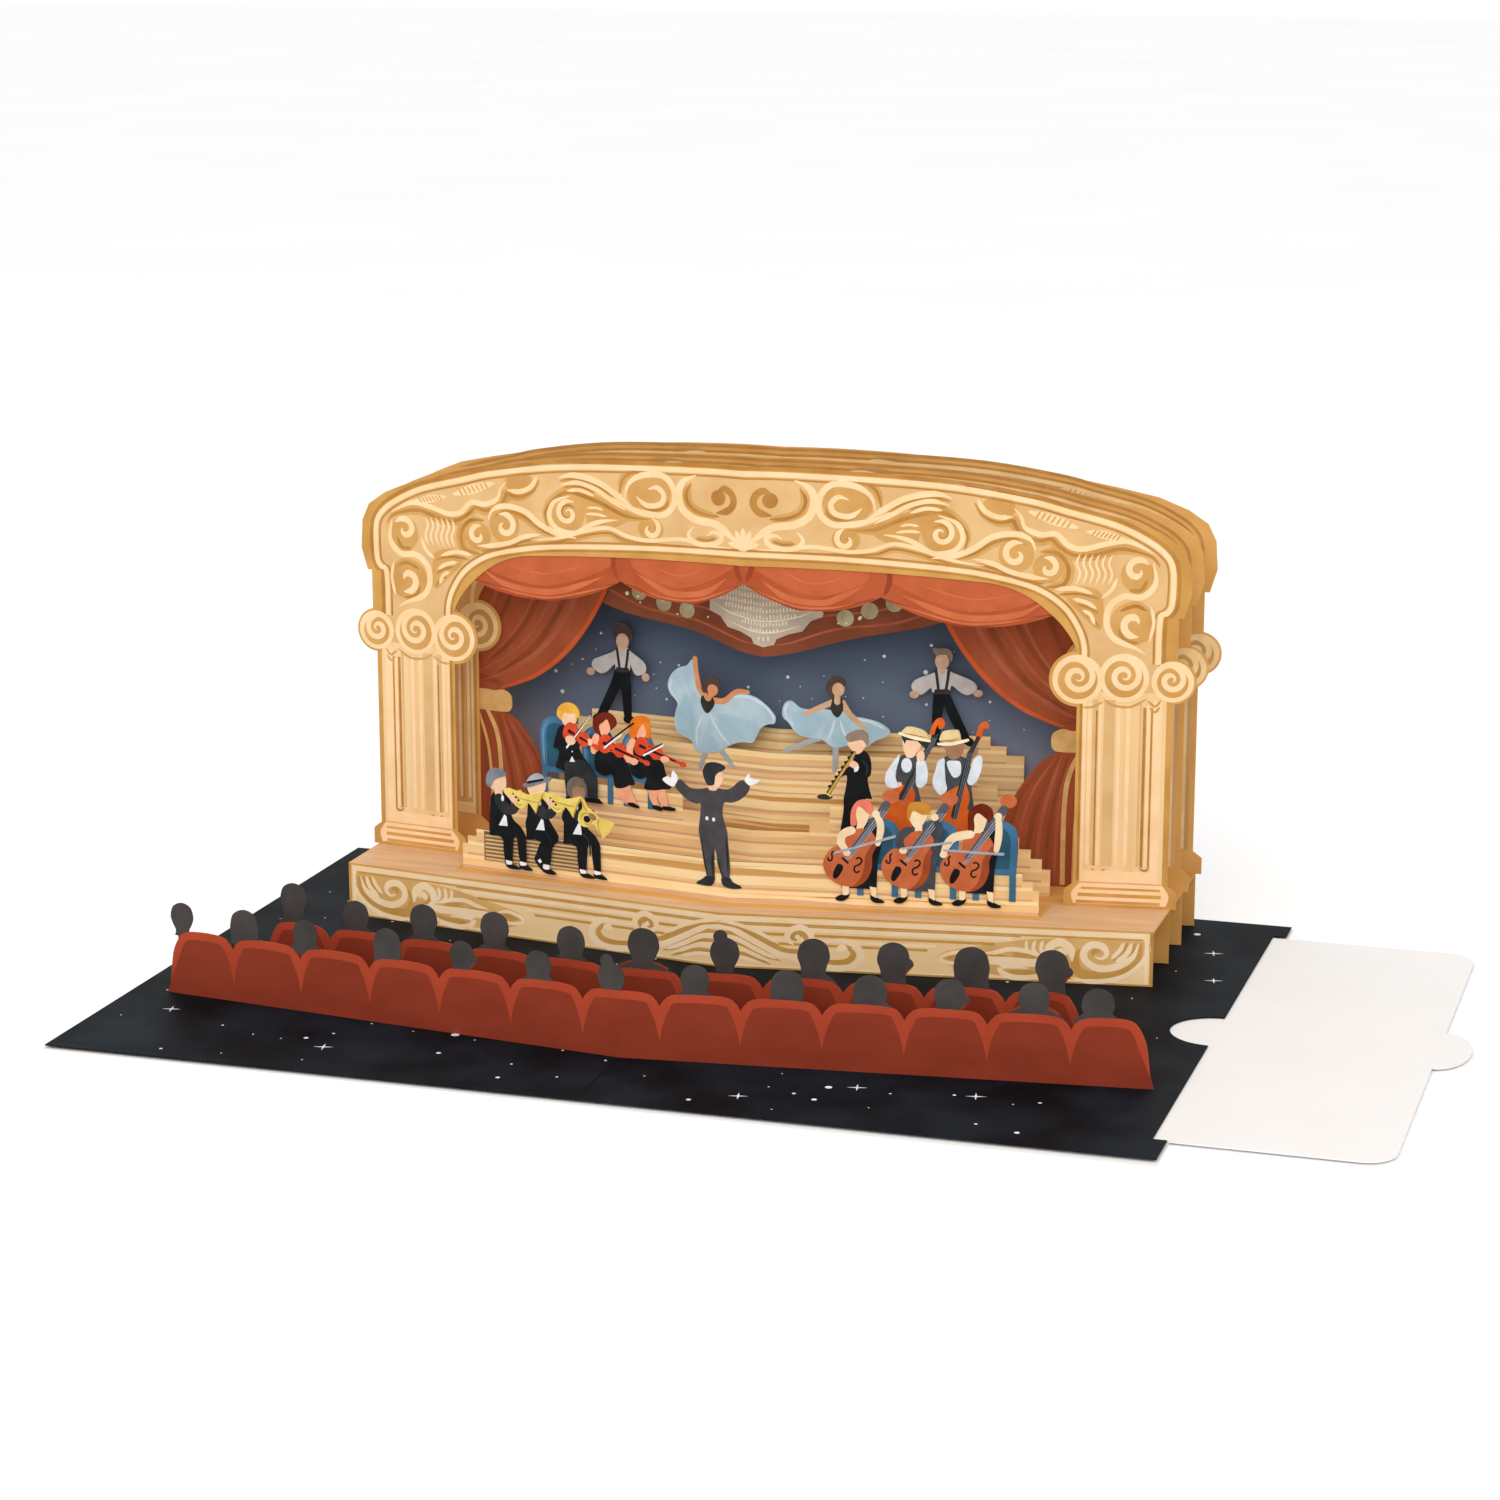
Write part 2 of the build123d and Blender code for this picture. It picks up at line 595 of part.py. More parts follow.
def moved_points(pieces, x=0.0, z=0.0):
    """The same outline points, moved sideways and up."""
    return [[(px + x, pz + z) for px, pz in points] for points in pieces]


seated_legs = [
    [(-6.6, 26), (-6.4, 23.4), (-1.8, 21), (-1.5, 16.9), (-2, 16.3), (2.4, 16.3), (0.6, 18.2),
     (1, 24), (2.2, 22), (3, 18.3), (2.6, 16.3), (6, 16.3), (4.6, 18), (4.2, 25.6), (1, 28)]]

trumpet_body = [
    [(-6.6, 26), (-5.1, 34.2), (-4, 35.6), (-1.8, 35.4), (0.2, 33.6), (2.6, 33), (1.4, 28)],
    [(-0.8, 37.2), (5, 35.4), (9.6, 36.2), (8, 33.8), (7.2, 31.3), (5, 34), (0, 35.4), (-1.4, 35.4)]]

players["trumpeter_one"] = (
    STAIR_FRONT_Y - 4 * FIGURE_PAPER,
    cut_out(moved_points(seated_legs + trumpet_body, -60), [(-63.3, 38.1, 3.0)]))

players["trumpeter_two"] = (
    STAIR_FRONT_Y - 3 * FIGURE_PAPER,
    cut_out(
        moved_points(seated_legs, -49.7)
        + moved_points(trumpet_body, -49.7)
        + [[(-56.2, 38.3), (-54.6, 39.2), (-54, 41.5), (-50.2, 41.7), (-49.6, 40), (-48.4, 40.1),
            (-49, 38.9), (-55, 37.8)]],
        [(-52.4, 37.5, 2.6)]))

players["horn_player"] = (
    STAIR_FRONT_Y - 2 * FIGURE_PAPER,
    cut_out(
        moved_points(seated_legs, -39.5)
        + moved_points(trumpet_body[:1], -39.5)
        + [[(-40.6, 37.2), (-36, 34.6), (-31.1, 30.8), (-32.2, 28.2), (-34.3, 26.6), (-36.5, 30.6),
            (-40.6, 35.4)]],
        [(-42.2, 38.2, 3.1)]))

players["conductor"] = (
    STAIR_FRONT_Y - FIGURE_PAPER,
    cut_out(
        [[(-18, 43.6), (-15.2, 45.8), (-13.6, 44.2), (-10.8, 42.3), (-6.2, 42.8), (-5, 41.5),
          (-2.6, 43), (0.3, 43.6), (2.1, 45.2), (4.4, 47), (7, 45.7), (4.9, 44.3), (4.3, 42.4),
          (2.5, 40.6), (-1.6, 39.4), (-1.8, 35.7), (-0.8, 32.6), (-0.3, 28), (0.1, 24),
          (-0.4, 20.4), (2.6, 19), (2.4, 18.4), (-2.1, 18.4), (-2.4, 21), (-4.05, 27.7),
          (-4.4, 18.4), (-8.8, 18.4), (-6.3, 20.2), (-7.4, 26.2), (-8.3, 31.8), (-7.8, 38.8),
          (-10.1, 38.3), (-13.3, 40.4), (-14.9, 42.2)]],
        [(-3.9, 46.3, 3.0)], [(-4.2, 44.2, 1.9, 2.6)]))

violin_and_bow = [
    [(-2.5, 47.8), (-0.5, 49.4), (2.2, 48), (3.6, 45.8), (7.6, 43.4), (7.2, 42.7), (2.4, 44.4),
     (-1.2, 44.6)],
    [(-2.6, 43.9), (4.5, 53.8), (5, 53.4), (-2, 43.4)]]

players["violinist_one"] = (
    STAIR_MIDDLE_Y - 4 * FIGURE_PAPER,
    cut_out(
        [[(-52, 49.6), (-54.8, 43.8), (-53.4, 41), (-53.8, 38), (-50.7, 37.4), (-44.3, 36.2),
          (-44.3, 31.6), (-46.9, 30.6), (-40.9, 30.6), (-42.3, 33), (-42.2, 36.6), (-43.9, 39.2),
          (-48, 41), (-46.6, 44.4), (-48.6, 49.2)]]
        + moved_points(violin_and_bow, -48.2), [(-50.4, 52.4, 3.2)]))

players["violinist_two"] = (
    STAIR_MIDDLE_Y - 3 * FIGURE_PAPER,
    cut_out(
        [[(-42.3, 44.4), (-43.2, 40), (-41.5, 37.8), (-35.8, 34.8), (-33.4, 30.6), (-29.6, 30.6),
          (-31.4, 33), (-31.2, 36.8), (-33.4, 41), (-34.8, 44.6), (-38, 49.6), (-41.6, 49)]]
        + moved_points(violin_and_bow, -38.6), [(-39.8, 50.9, 3.3)]))

players["violinist_three"] = (
    STAIR_MIDDLE_Y - 2 * FIGURE_PAPER,
    cut_out(
        [[(-32.3, 44.4), (-33.4, 40), (-31.5, 37.6), (-26.4, 34.8), (-26.6, 30.6), (-20.4, 30.6),
          (-21.6, 36.6), (-23.4, 40), (-24.4, 44.6), (-28, 49.6), (-31.6, 49)]]
        + moved_points(violin_and_bow, -28.6), [(-30.4, 51.0, 3.2)]))

players["oboe_player"] = (
    STAIR_MIDDLE_Y - FIGURE_PAPER,
    cut_out(
        [[(25.2, 49.4), (28.7, 48), (29.2, 45.8), (28.4, 42.6), (29.2, 37.3), (27.6, 32),
          (27.4, 28.3), (21, 28.3), (22.6, 30), (22.6, 37.3), (21.7, 42.8)],
         [(24.6, 49.2), (25.2, 48.8), (19.6, 38.8), (18.8, 37.2), (16.9, 37.4), (18.5, 39.2)]],
        [(25.7, 51.6, 2.9)]))

bass_body = [
    [(-4.5, 34.5), (-3.4, 30), (0, 28.9), (3.4, 30), (4.5, 34.5), (3.2, 38), (3.8, 41.6),
     (0, 43), (-3.4, 41)],
    [(-0.7, 42), (4.6, 56.6), (6.6, 58.4), (8.4, 57.2), (7.4, 54.4), (5.6, 54.2), (1, 41.6)]]

players["bass_player_one"] = (
    STAIR_MIDDLE_Y - FIGURE_PAPER,
    cut_out(
        moved_points(bass_body, 37.2)
        + [[(37, 49), (33.3, 45.5), (32.3, 42), (34, 39.8), (37, 40), (42.2, 40.6), (42.9, 43.8),
            (42, 48.2), (39.4, 49)],
           [(35.6, 54.6), (37.6, 54.6), (37.8, 56), (41.4, 55.2), (42.3, 54.2), (43.4, 52.6),
            (40, 52.4)]],
        (), [(38.6, 51.0, 2.0, 2.6)]))

players["bass_player_two"] = (
    STAIR_MIDDLE_Y - FIGURE_PAPER,
    cut_out(
        moved_points(bass_body, 49.2)
        + [[(46.8, 49), (45.4, 46), (44, 41.6), (45.6, 38.8), (50, 39), (53.4, 41), (55.9, 46.2),
            (55.4, 49.3), (51, 49)],
           [(44.9, 51.9), (45.9, 53.6), (46.4, 55.3), (50.2, 55.8), (50.8, 54.2), (52.7, 53.2),
            (49, 51.8)]],
        (), [(49, 50.8, 2.0, 2.6)]))

cello_body = [
    [(-6, 25.9), (-4.9, 28.4), (-0.9, 30.4), (-0.6, 32.7), (1.6, 34.4), (5, 34.2), (6.8, 32),
     (5.2, 28.2), (5.2, 25), (3.6, 21.8), (1, 20.3), (-2.4, 20.5), (-4.8, 22.5)],
    [(0.2, 28.8), (7.2, 40.2), (8.8, 44), (11.4, 43), (9.4, 41), (1.4, 28)],
    [(-3.6, 28.3), (10.8, 33.3), (11, 32.6), (-3.4, 27.6)],
    [(-1.5, 21), (-3.2, 16.2), (1.2, 16.2), (1.4, 20.8)],
    [(5, 23), (4.8, 16.2), (9.4, 16.2), (7.6, 20.5), (7.4, 31), (5.6, 36), (1.2, 36), (0.4, 33)]]

cello_names = ("cellist_one", "cellist_two", "cellist_three")
cello_hair = (3.6, 3.1, 3.3)
for number, name in enumerate(cello_names):
    shift = 28.7 + 13.9 * number
    players[name] = (
        STAIR_FRONT_Y - 2 * FIGURE_PAPER,
        cut_out(moved_points(cello_body, shift), [(shift + 2.9, 37.9, cello_hair[number])]))

players["ballerina_one"] = (
    STAIR_REAR_Y - FIGURE_PAPER,
    cut_out(
        [[(-21.6, 66), (-24.6, 63.8), (-27.4, 61.8), (-28.7, 58.4), (-26.2, 54.6), (-26.8, 49.4),
          (-25.7, 46.4), (-21.8, 44.7), (-21.3, 42.8), (-18.8, 42.2), (-14.2, 43), (-9.5, 45.7),
          (-5.2, 46.1), (-2.9, 50.2), (0.6, 51.5), (1, 53.1), (-1.9, 56.5), (-7.2, 58.3),
          (-6.3, 59.2), (-9, 59.8), (-12.6, 57.6), (-15.6, 56.6), (-19.4, 60), (-20.3, 65.4)],
         [(-19.2, 43), (-18, 43), (-18.6, 38.2), (-20, 38.2)],
         [(-15.2, 43.4), (-13.2, 43.6), (-10.2, 39.4), (-11.3, 38.8)]],
        [(-17, 59.4, 2.7)]))

players["ballerina_two"] = (
    STAIR_REAR_Y - FIGURE_PAPER,
    cut_out(
        [[(4.5, 57.6), (2.6, 55.6), (4.2, 52.1), (6.9, 48.9), (12.8, 47.9), (16.6, 46),
          (23.8, 46.7), (28.1, 49.1), (29.3, 50.8), (25.4, 53.2), (22.6, 53.4), (19.6, 56),
          (17.4, 58.6), (15, 58.6), (10.1, 55.8), (5.6, 57.2)],
         [(15.2, 47), (16.7, 47), (16.3, 40.2), (15.2, 40.2)],
         [(10.4, 49), (11.6, 48), (3.4, 44.1), (3, 45)]],
        [(16, 61.2, 2.8)]))

dancer_body = [
    [(-1.7, 65.6), (-6.2, 62.8), (-9.2, 58.6), (-8, 57.6), (-4, 59.2), (-2.4, 59), (-3, 56.6),
     (-8.4, 47.4), (-8.2, 45.6), (-4.6, 48.2), (-0.4, 54.8), (0.6, 47.6), (0.4, 46.4),
     (3.4, 46.6), (2.4, 48), (2, 59.4), (5.4, 58.4), (7, 57.8), (6.4, 61.8), (2, 65.2)]]

players["dancer_left"] = (
    STAIR_TOP_Y - FIGURE_PAPER,
    cut_out(
        moved_points(dancer_body, -43.6), [(-43.5, 70.0, 2.6)], [(-43.6, 67.0, 1.9, 2.3)]))

players["dancer_right"] = (
    STAIR_TOP_Y - FIGURE_PAPER,
    cut_out(
        [[(40.6 - x, z) for x, z in dancer_body[0]][::-1]],
        [(40.6, 69.0, 2.2)], [(40.5, 67.0, 1.8, 2.4)]))

for name, (start, view) in players.items():
    with BuildPart() as player:
        extrude(view, amount=THROUGH, both=True)
        extrude(v_band(start, STAGE_SLOPE, FIGURE_PAPER), amount=THROUGH, mode=Mode.INTERSECT)
    player.part.label = name
    export_step(player.part, f"parts/{name}.step")
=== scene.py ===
import bmesh
import bpy
import math
import random
from mathutils import Matrix, Vector, geometry


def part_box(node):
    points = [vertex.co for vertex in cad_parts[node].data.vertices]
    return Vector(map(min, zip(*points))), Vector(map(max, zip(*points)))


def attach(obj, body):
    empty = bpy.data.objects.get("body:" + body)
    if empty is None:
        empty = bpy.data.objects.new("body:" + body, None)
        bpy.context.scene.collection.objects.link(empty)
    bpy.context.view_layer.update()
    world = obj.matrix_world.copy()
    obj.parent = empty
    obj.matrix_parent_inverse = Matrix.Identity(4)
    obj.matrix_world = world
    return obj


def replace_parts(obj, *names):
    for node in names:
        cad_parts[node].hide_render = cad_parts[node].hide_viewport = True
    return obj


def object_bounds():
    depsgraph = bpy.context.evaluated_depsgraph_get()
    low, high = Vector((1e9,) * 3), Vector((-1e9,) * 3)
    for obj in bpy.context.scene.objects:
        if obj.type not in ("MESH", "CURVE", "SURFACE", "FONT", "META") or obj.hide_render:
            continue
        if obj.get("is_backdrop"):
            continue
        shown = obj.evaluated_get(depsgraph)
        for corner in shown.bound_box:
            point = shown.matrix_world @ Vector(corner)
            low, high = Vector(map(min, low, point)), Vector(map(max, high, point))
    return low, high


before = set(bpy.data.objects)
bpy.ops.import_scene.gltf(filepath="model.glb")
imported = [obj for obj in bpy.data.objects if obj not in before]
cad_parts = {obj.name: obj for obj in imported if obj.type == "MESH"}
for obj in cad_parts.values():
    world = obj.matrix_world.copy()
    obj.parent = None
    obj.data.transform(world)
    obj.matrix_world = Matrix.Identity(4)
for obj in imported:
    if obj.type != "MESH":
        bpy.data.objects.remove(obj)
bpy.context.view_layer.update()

# Card base. A cover of smooth white card, opened flat, holds a printed inner sheet of a
# night sky. The right half is a pocket, glued on three sides, where the note card slides.

MM = 0.001
INNER_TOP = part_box("inner_sheet")[1].z / MM
NIGHT_DARK = "#0a0d11"
NIGHT_LIGHT = "#192026"
CARD_WHITE = "#ece8e5"
JOIN_GAP = 0.0005  # points closer than this become one
EDGE_GAP = 0.4


def ink(code):
    """A printed colour, written as its screen code, in the renderer's linear values."""
    parts = [int(code[place:place + 2], 16) / 255 for place in (1, 3, 5)]
    return [part / 12.92 if part <= 0.04045 else ((part + 0.055) / 1.055) ** 2.4 for part in parts] + [1.0]


def wire(source, output, target, entry):
    """Joins one node's output to another one's input."""
    source.id_data.links.new(source.outputs[output], target.inputs[entry])


def dial(node, entry, value):
    """Sets one input of a node."""
    node.inputs[entry].default_value = value


def paper(name, light, dark, patch=3, stretch=(1, 1, 1), rough=0.62, tooth=0.12, shine=0.1):
    """Printed matt paper: two inks in soft patches of a size in mm, over a fine paper tooth."""
    mat = bpy.data.materials.new(name)
    mat.use_nodes = True
    nodes = mat.node_tree.nodes
    surface = nodes["Principled BSDF"]
    dial(surface, "Specular IOR Level", shine)
    place = nodes.new("ShaderNodeTexCoord")
    spread = nodes.new("ShaderNodeMapping")
    dial(spread, "Scale", stretch)
    wire(place, "Object", spread, "Vector")
    cloud = nodes.new("ShaderNodeTexNoise")
    dial(cloud, "Scale", 1000 / patch)
    dial(cloud, "Detail", 3.0)
    wire(spread, "Vector", cloud, "Vector")
    blend = nodes.new("ShaderNodeValToRGB")
    blend.color_ramp.elements[0].position = 0.36
    blend.color_ramp.elements[0].color = ink(dark)
    blend.color_ramp.elements[1].position = 0.64
    blend.color_ramp.elements[1].color = ink(light)
    wire(cloud, "Fac", blend, "Fac")
    wire(blend, "Color", surface, "Base Color")
    fibre = nodes.new("ShaderNodeTexNoise")
    dial(fibre, "Scale", 2600.0)
    dial(fibre, "Detail", 2.0)
    wire(place, "Object", fibre, "Vector")
    dull = nodes.new("ShaderNodeMapRange")
    dial(dull, "To Min", rough - 0.08)
    dial(dull, "To Max", rough + 0.08)
    wire(fibre, "Fac", dull, "Value")
    wire(dull, "Result", surface, "Roughness")
    bump = nodes.new("ShaderNodeBump")
    dial(bump, "Strength", tooth)
    dial(bump, "Distance", 0.00004)
    wire(fibre, "Fac", bump, "Height")
    wire(bump, "Normal", surface, "Normal")
    return mat


def dress(node, material):
    """Gives a CAD sheet its paper."""
    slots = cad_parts[node].data.materials
    slots.clear()
    slots.append(material)


white_card = paper("white_card", CARD_WHITE, "#eae6e2", patch=30, rough=0.5)
night_paper = paper("night_sheet_paper", NIGHT_LIGHT, NIGHT_DARK, patch=22, rough=0.6, shine=0.05)
dress("cover", white_card)
dress("pocket_strips", white_card)
dress("note_card", white_card)
dress("inner_sheet", night_paper)


def add_piece(name, mesh, body="card"):
    """A new mesh object on its body."""
    piece = bpy.data.objects.new(name, mesh)
    bpy.context.collection.objects.link(piece)
    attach(piece, body)
    return piece


def within(spot, points):
    """Whether a point lies inside a closed outline."""
    inside = False
    for (x0, z0), (x1, z1) in zip(points, points[1:] + points[:1]):
        if (z0 > spot.y) != (z1 > spot.y) and spot.x < x0 + (spot.y - z0) * (x1 - x0) / (z1 - z0):
            inside = not inside
    return inside


def flat_faces(build, shapes):
    """Joins closed outlines, given as (x, height) points in mm, into faces in the plane y = 0."""
    spots, rings = [], []
    for points in shapes:
        turned = sum(a[0] * b[1] - b[0] * a[1] for a, b in zip(points, points[1:] + points[:1]))
        rings.append(list(range(len(spots), len(spots) + len(points))))
        spots += [Vector(point) for point in (points if turned > 0 else points[::-1])]
    fold = [Vector((0, min(spot.y for spot in spots) - 1)), Vector((0, max(spot.y for spot in spots) + 1))]
    joined = geometry.delaunay_2d_cdt(spots + fold, [(len(spots), len(spots) + 1)], rings, 1, JOIN_GAP)
    verts = [build.verts.new((spot.x, 0, spot.y)) for spot in joined[0]]
    for corners, owners in zip(joined[2], joined[5]):
        centre = sum((joined[0][corner] for corner in corners), Vector((0, 0))) / len(corners)
        if any(within(centre, shapes[owner]) for owner in owners):
            build.faces.new([verts[corner] for corner in corners])
    loose = [vert for vert in build.verts if not vert.link_faces]
    bmesh.ops.delete(build, geom=loose, context="VERTS")


def bar(x0, x1, z0, z1):
    """Outline of a rectangle."""
    return [(x0, z0), (x1, z0), (x1, z1), (x0, z1)]


def star_shape(x, y, size):
    """Outline of a small four-pointed star."""
    outline = []
    for corner in range(8):
        reach = size if corner % 2 == 0 else size * 0.16
        turn = math.radians(45 * corner + 12)
        outline.append((x + reach * math.cos(turn), y + reach * math.sin(turn)))
    return outline


def pulled_side(build):
    """Pulls a closed layer out of flat faces and returns the corners of its other side."""
    pulled = bmesh.ops.extrude_face_region(build, geom=list(build.faces))
    return {item for item in pulled["geom"] if isinstance(item, bmesh.types.BMVert)}


def lying_print(name, material, shapes, low, high):
    """Thin printed areas that lie flat between two heights in mm."""
    build = bmesh.new()
    flat_faces(build, shapes)
    bmesh.ops.reverse_faces(build, faces=build.faces)
    raised = pulled_side(build)
    for vert in build.verts:
        level = high if vert in raised else low
        vert.co = Vector((vert.co.x, vert.co.z, level)) * MM
    bmesh.ops.recalc_face_normals(build, faces=build.faces)
    mesh = bpy.data.meshes.new(name)
    build.to_mesh(mesh)
    build.free()
    mesh.materials.append(material)
    return add_piece(name, mesh)


def scatter_tree():
    """Geometry Nodes: round printed dots of many sizes in random places over a flat face."""
    tree = bpy.data.node_groups.new("scattered_dots", "GeometryNodeTree")
    face = tree.interface
    face.new_socket("Geometry", in_out="INPUT", socket_type="NodeSocketGeometry")
    for name in ("Density", "Spacing", "Smallest", "Largest", "Thickness"):
        face.new_socket(name, in_out="INPUT", socket_type="NodeSocketFloat")
    face.new_socket("Seed", in_out="INPUT", socket_type="NodeSocketInt")
    face.new_socket("Ink", in_out="INPUT", socket_type="NodeSocketMaterial")
    face.new_socket("Geometry", in_out="OUTPUT", socket_type="NodeSocketGeometry")
    nodes = tree.nodes
    given, result = nodes.new("NodeGroupInput"), nodes.new("NodeGroupOutput")
    spread = nodes.new("GeometryNodeDistributePointsOnFaces")
    spread.distribute_method = "POISSON"
    wire(given, "Geometry", spread, "Mesh")
    wire(given, "Density", spread, "Density Max")
    wire(given, "Spacing", spread, "Distance Min")
    wire(given, "Seed", spread, "Seed")
    chance = nodes.new("FunctionNodeRandomValue")
    wire(given, "Seed", chance, "Seed")
    mostly_small = nodes.new("ShaderNodeMath")
    mostly_small.operation = "POWER"
    dial(mostly_small, 1, 3.0)
    wire(chance, 1, mostly_small, 0)
    size = nodes.new("ShaderNodeMapRange")
    wire(mostly_small, 0, size, "Value")
    wire(given, "Smallest", size, "To Min")
    wire(given, "Largest", size, "To Max")
    scale = nodes.new("ShaderNodeCombineXYZ")
    wire(size, "Result", scale, "X")
    wire(size, "Result", scale, "Y")
    dial(scale, "Z", 1.0)
    dot = nodes.new("GeometryNodeMeshCylinder")
    dial(dot, "Vertices", 12)
    wire(given, "Thickness", dot, "Depth")
    dots = nodes.new("GeometryNodeInstanceOnPoints")
    wire(spread, "Points", dots, "Points")
    wire(dot, "Mesh", dots, "Instance")
    wire(scale, "Vector", dots, "Scale")
    solid = nodes.new("GeometryNodeRealizeInstances")
    wire(dots, "Instances", solid, "Geometry")
    inked = nodes.new("GeometryNodeSetMaterial")
    wire(solid, "Geometry", inked, "Geometry")
    wire(given, "Ink", inked, "Material")
    wire(inked, "Geometry", result, "Geometry")
    return tree


DOTS = scatter_tree()


def scattered_dots(name, outline, **inputs):
    """Plain mesh of the dots over an outline, given in mm, lying flat at height zero."""
    area = bpy.data.meshes.new(name)
    area.from_pydata([(x * MM, y * MM, 0) for x, y in outline], [], [range(len(outline))])
    holder = bpy.data.objects.new(name, area)
    bpy.context.collection.objects.link(holder)
    maker = holder.modifiers.new("dots", "NODES")
    maker.node_group = DOTS
    for item in DOTS.interface.items_tree:
        if item.in_out == "INPUT" and item.name in inputs:
            maker[item.identifier] = inputs[item.name]
    ready = holder.evaluated_get(bpy.context.evaluated_depsgraph_get())
    mesh = bpy.data.meshes.new_from_object(ready)
    bpy.data.objects.remove(holder)
    bpy.data.meshes.remove(area)
    mesh.name = name
    return mesh


star_ink = paper("star_ink", "#f4f6f8", "#cfd6dd", patch=2, rough=0.5)
sky_dots = scattered_dots(
    "night_sky_dots", bar(-121, 112, -83, 83), Density=6500.0, Spacing=0.0056,
    Smallest=0.0002, Largest=0.0011, Thickness=0.00008, Seed=11, Ink=star_ink)
sky_dots.transform(Matrix.Translation((0, 0, INNER_TOP * MM - 0.00002)))
add_piece("night_sky_dots", sky_dots)
cover_low, cover_high = (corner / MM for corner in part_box("cover"))
sheet_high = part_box("inner_sheet")[1] / MM
left, right, rear = cover_low.x + EDGE_GAP, cover_high.x - EDGE_GAP, cover_high.y - 0.7
side_edge, end_edge = sheet_high.x - 0.05, sheet_high.y - 0.05
card_low, card_high = (corner.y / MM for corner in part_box("note_card"))
margins = [
    [(left, cover_low.y + 0.9), (right, cover_low.y + 2.4), (right, -end_edge), (left, -end_edge)],
    bar(left, right, end_edge, rear), bar(left, -side_edge, -end_edge, end_edge),
    bar(side_edge, right, -end_edge, card_low - EDGE_GAP),
    bar(side_edge, right, card_high + EDGE_GAP, end_edge)]
lying_print("night_margin", night_paper, margins, INNER_TOP - 0.28, INNER_TOP - 0.02)
scatter = random.Random(11)
STAR_PLACES = (
    (-111, -56), (-66, -71), (-88, -41), (33, -75), (56, -62), (82, -60), (108, -20), (116, 38),
    (112, 60), (-116, 20), (-109, 58))
stars = [star_shape(x, y, scatter.uniform(1.6, 2.8)) for x, y in STAR_PLACES]
lying_print("night_sky_stars", star_ink, stars, INNER_TOP - 0.05, INNER_TOP + 0.026)
# a painted shade line along the crease at the middle of the inner sheet
lying_print(
    "night_crease_shade", paper("crease_shade_ink", "#07080a", "#040506", patch=10),
    [bar(-0.25, 0.25, -83.4, 83.4)], INNER_TOP - 0.05, INNER_TOP + 0.014)

# Rows of seats. Each row is one strip of dark red card, folded at the middle, cut round the
# seat backs and the heads of the audience. The rims are printed lighter, the heads dark grey.

SEAT_FOLDS = {"seat_row_front": (-58.2, 13), "seat_row_back": (-41.5, 11)}  # place, seats
SEAT_SLOPE = 0.12
STAGE_SLOPE = 0.148  # how far a folded sheet comes back for each mm beside its fold
SHEET = 0.35
LIFT = 0.012  # how far an ink stands over the one below it
TAPER = 0.22  # part of a brush stroke that thins out at an end
SEAT_PITCH = 18.1
SEAT_TOP = INNER_TOP + 15.4


def oval(x, z, wide, tall, corners=20):
    """Outline of an oval, from its two half sizes."""
    turns = [math.tau * corner / corners for corner in range(corners)]
    return [(x + wide * math.cos(turn), z + tall * math.sin(turn)) for turn in turns]


def dot_shape(x, z, radius, corners=12):
    """Outline of a round dot."""
    return oval(x, z, radius, radius, corners)


def smooth_span(a, b, c, d, steps):
    """Points of a smooth curve from b up to c, with a before them and d after."""
    return [tuple(
        0.5 * (2 * q + (r - p) * t + (2 * p - 5 * q + 4 * r - s) * t * t + (3 * q - p - 3 * r + s) * t ** 3)
        for p, q, r, s in zip(a, b, c, d)) for t in (step / steps for step in range(steps))]


def rounded(points, steps=5):
    """Closed outline that runs smoothly through the points; a point given twice is a corner."""
    outline = []
    for place in range(len(points)):
        a, b, c, d = (points[(place + shift) % len(points)] for shift in (-1, 0, 1, 2))
        if math.dist(b, c) > 1e-6:
            outline += smooth_span(a, b, c, d, steps)
    return outline


def open_path(points, steps=5):
    """Smooth open line through the points."""
    line = []
    for place, (b, c) in enumerate(zip(points, points[1:])):
        line += smooth_span(points[max(place - 1, 0)], b, c, points[min(place + 2, len(points) - 1)], steps)
    return line + [tuple(points[-1])]


def sideways(line, place):
    """Direction of length one at right angles to a line, at one of its points."""
    before, after = line[max(place - 1, 0)], line[min(place + 1, len(line) - 1)]
    run = math.dist(before, after) or 1.0
    return -(after[1] - before[1]) / run, (after[0] - before[0]) / run


def stroke(points, width, steps=5, thin=(0.15, 0.15)):
    """A brush stroke: four-cornered pieces along a line, narrower at its two ends."""
    line = open_path(points, steps)
    lengths = [0.0]
    for a, b in zip(line, line[1:]):
        lengths.append(lengths[-1] + math.dist(a, b))
    edges = []
    for place, (x, z) in enumerate(line):
        side = sideways(line, place)
        along = lengths[place] / lengths[-1]
        half = width * min(1.0, thin[0] + along / TAPER, thin[1] + (1 - along) / TAPER) / 2
        edges.append(((x + side[0] * half, z + side[1] * half), (x - side[0] * half, z - side[1] * half)))
    return [[a[0], a[1], b[1], b[0]] for a, b in zip(edges, edges[1:])]


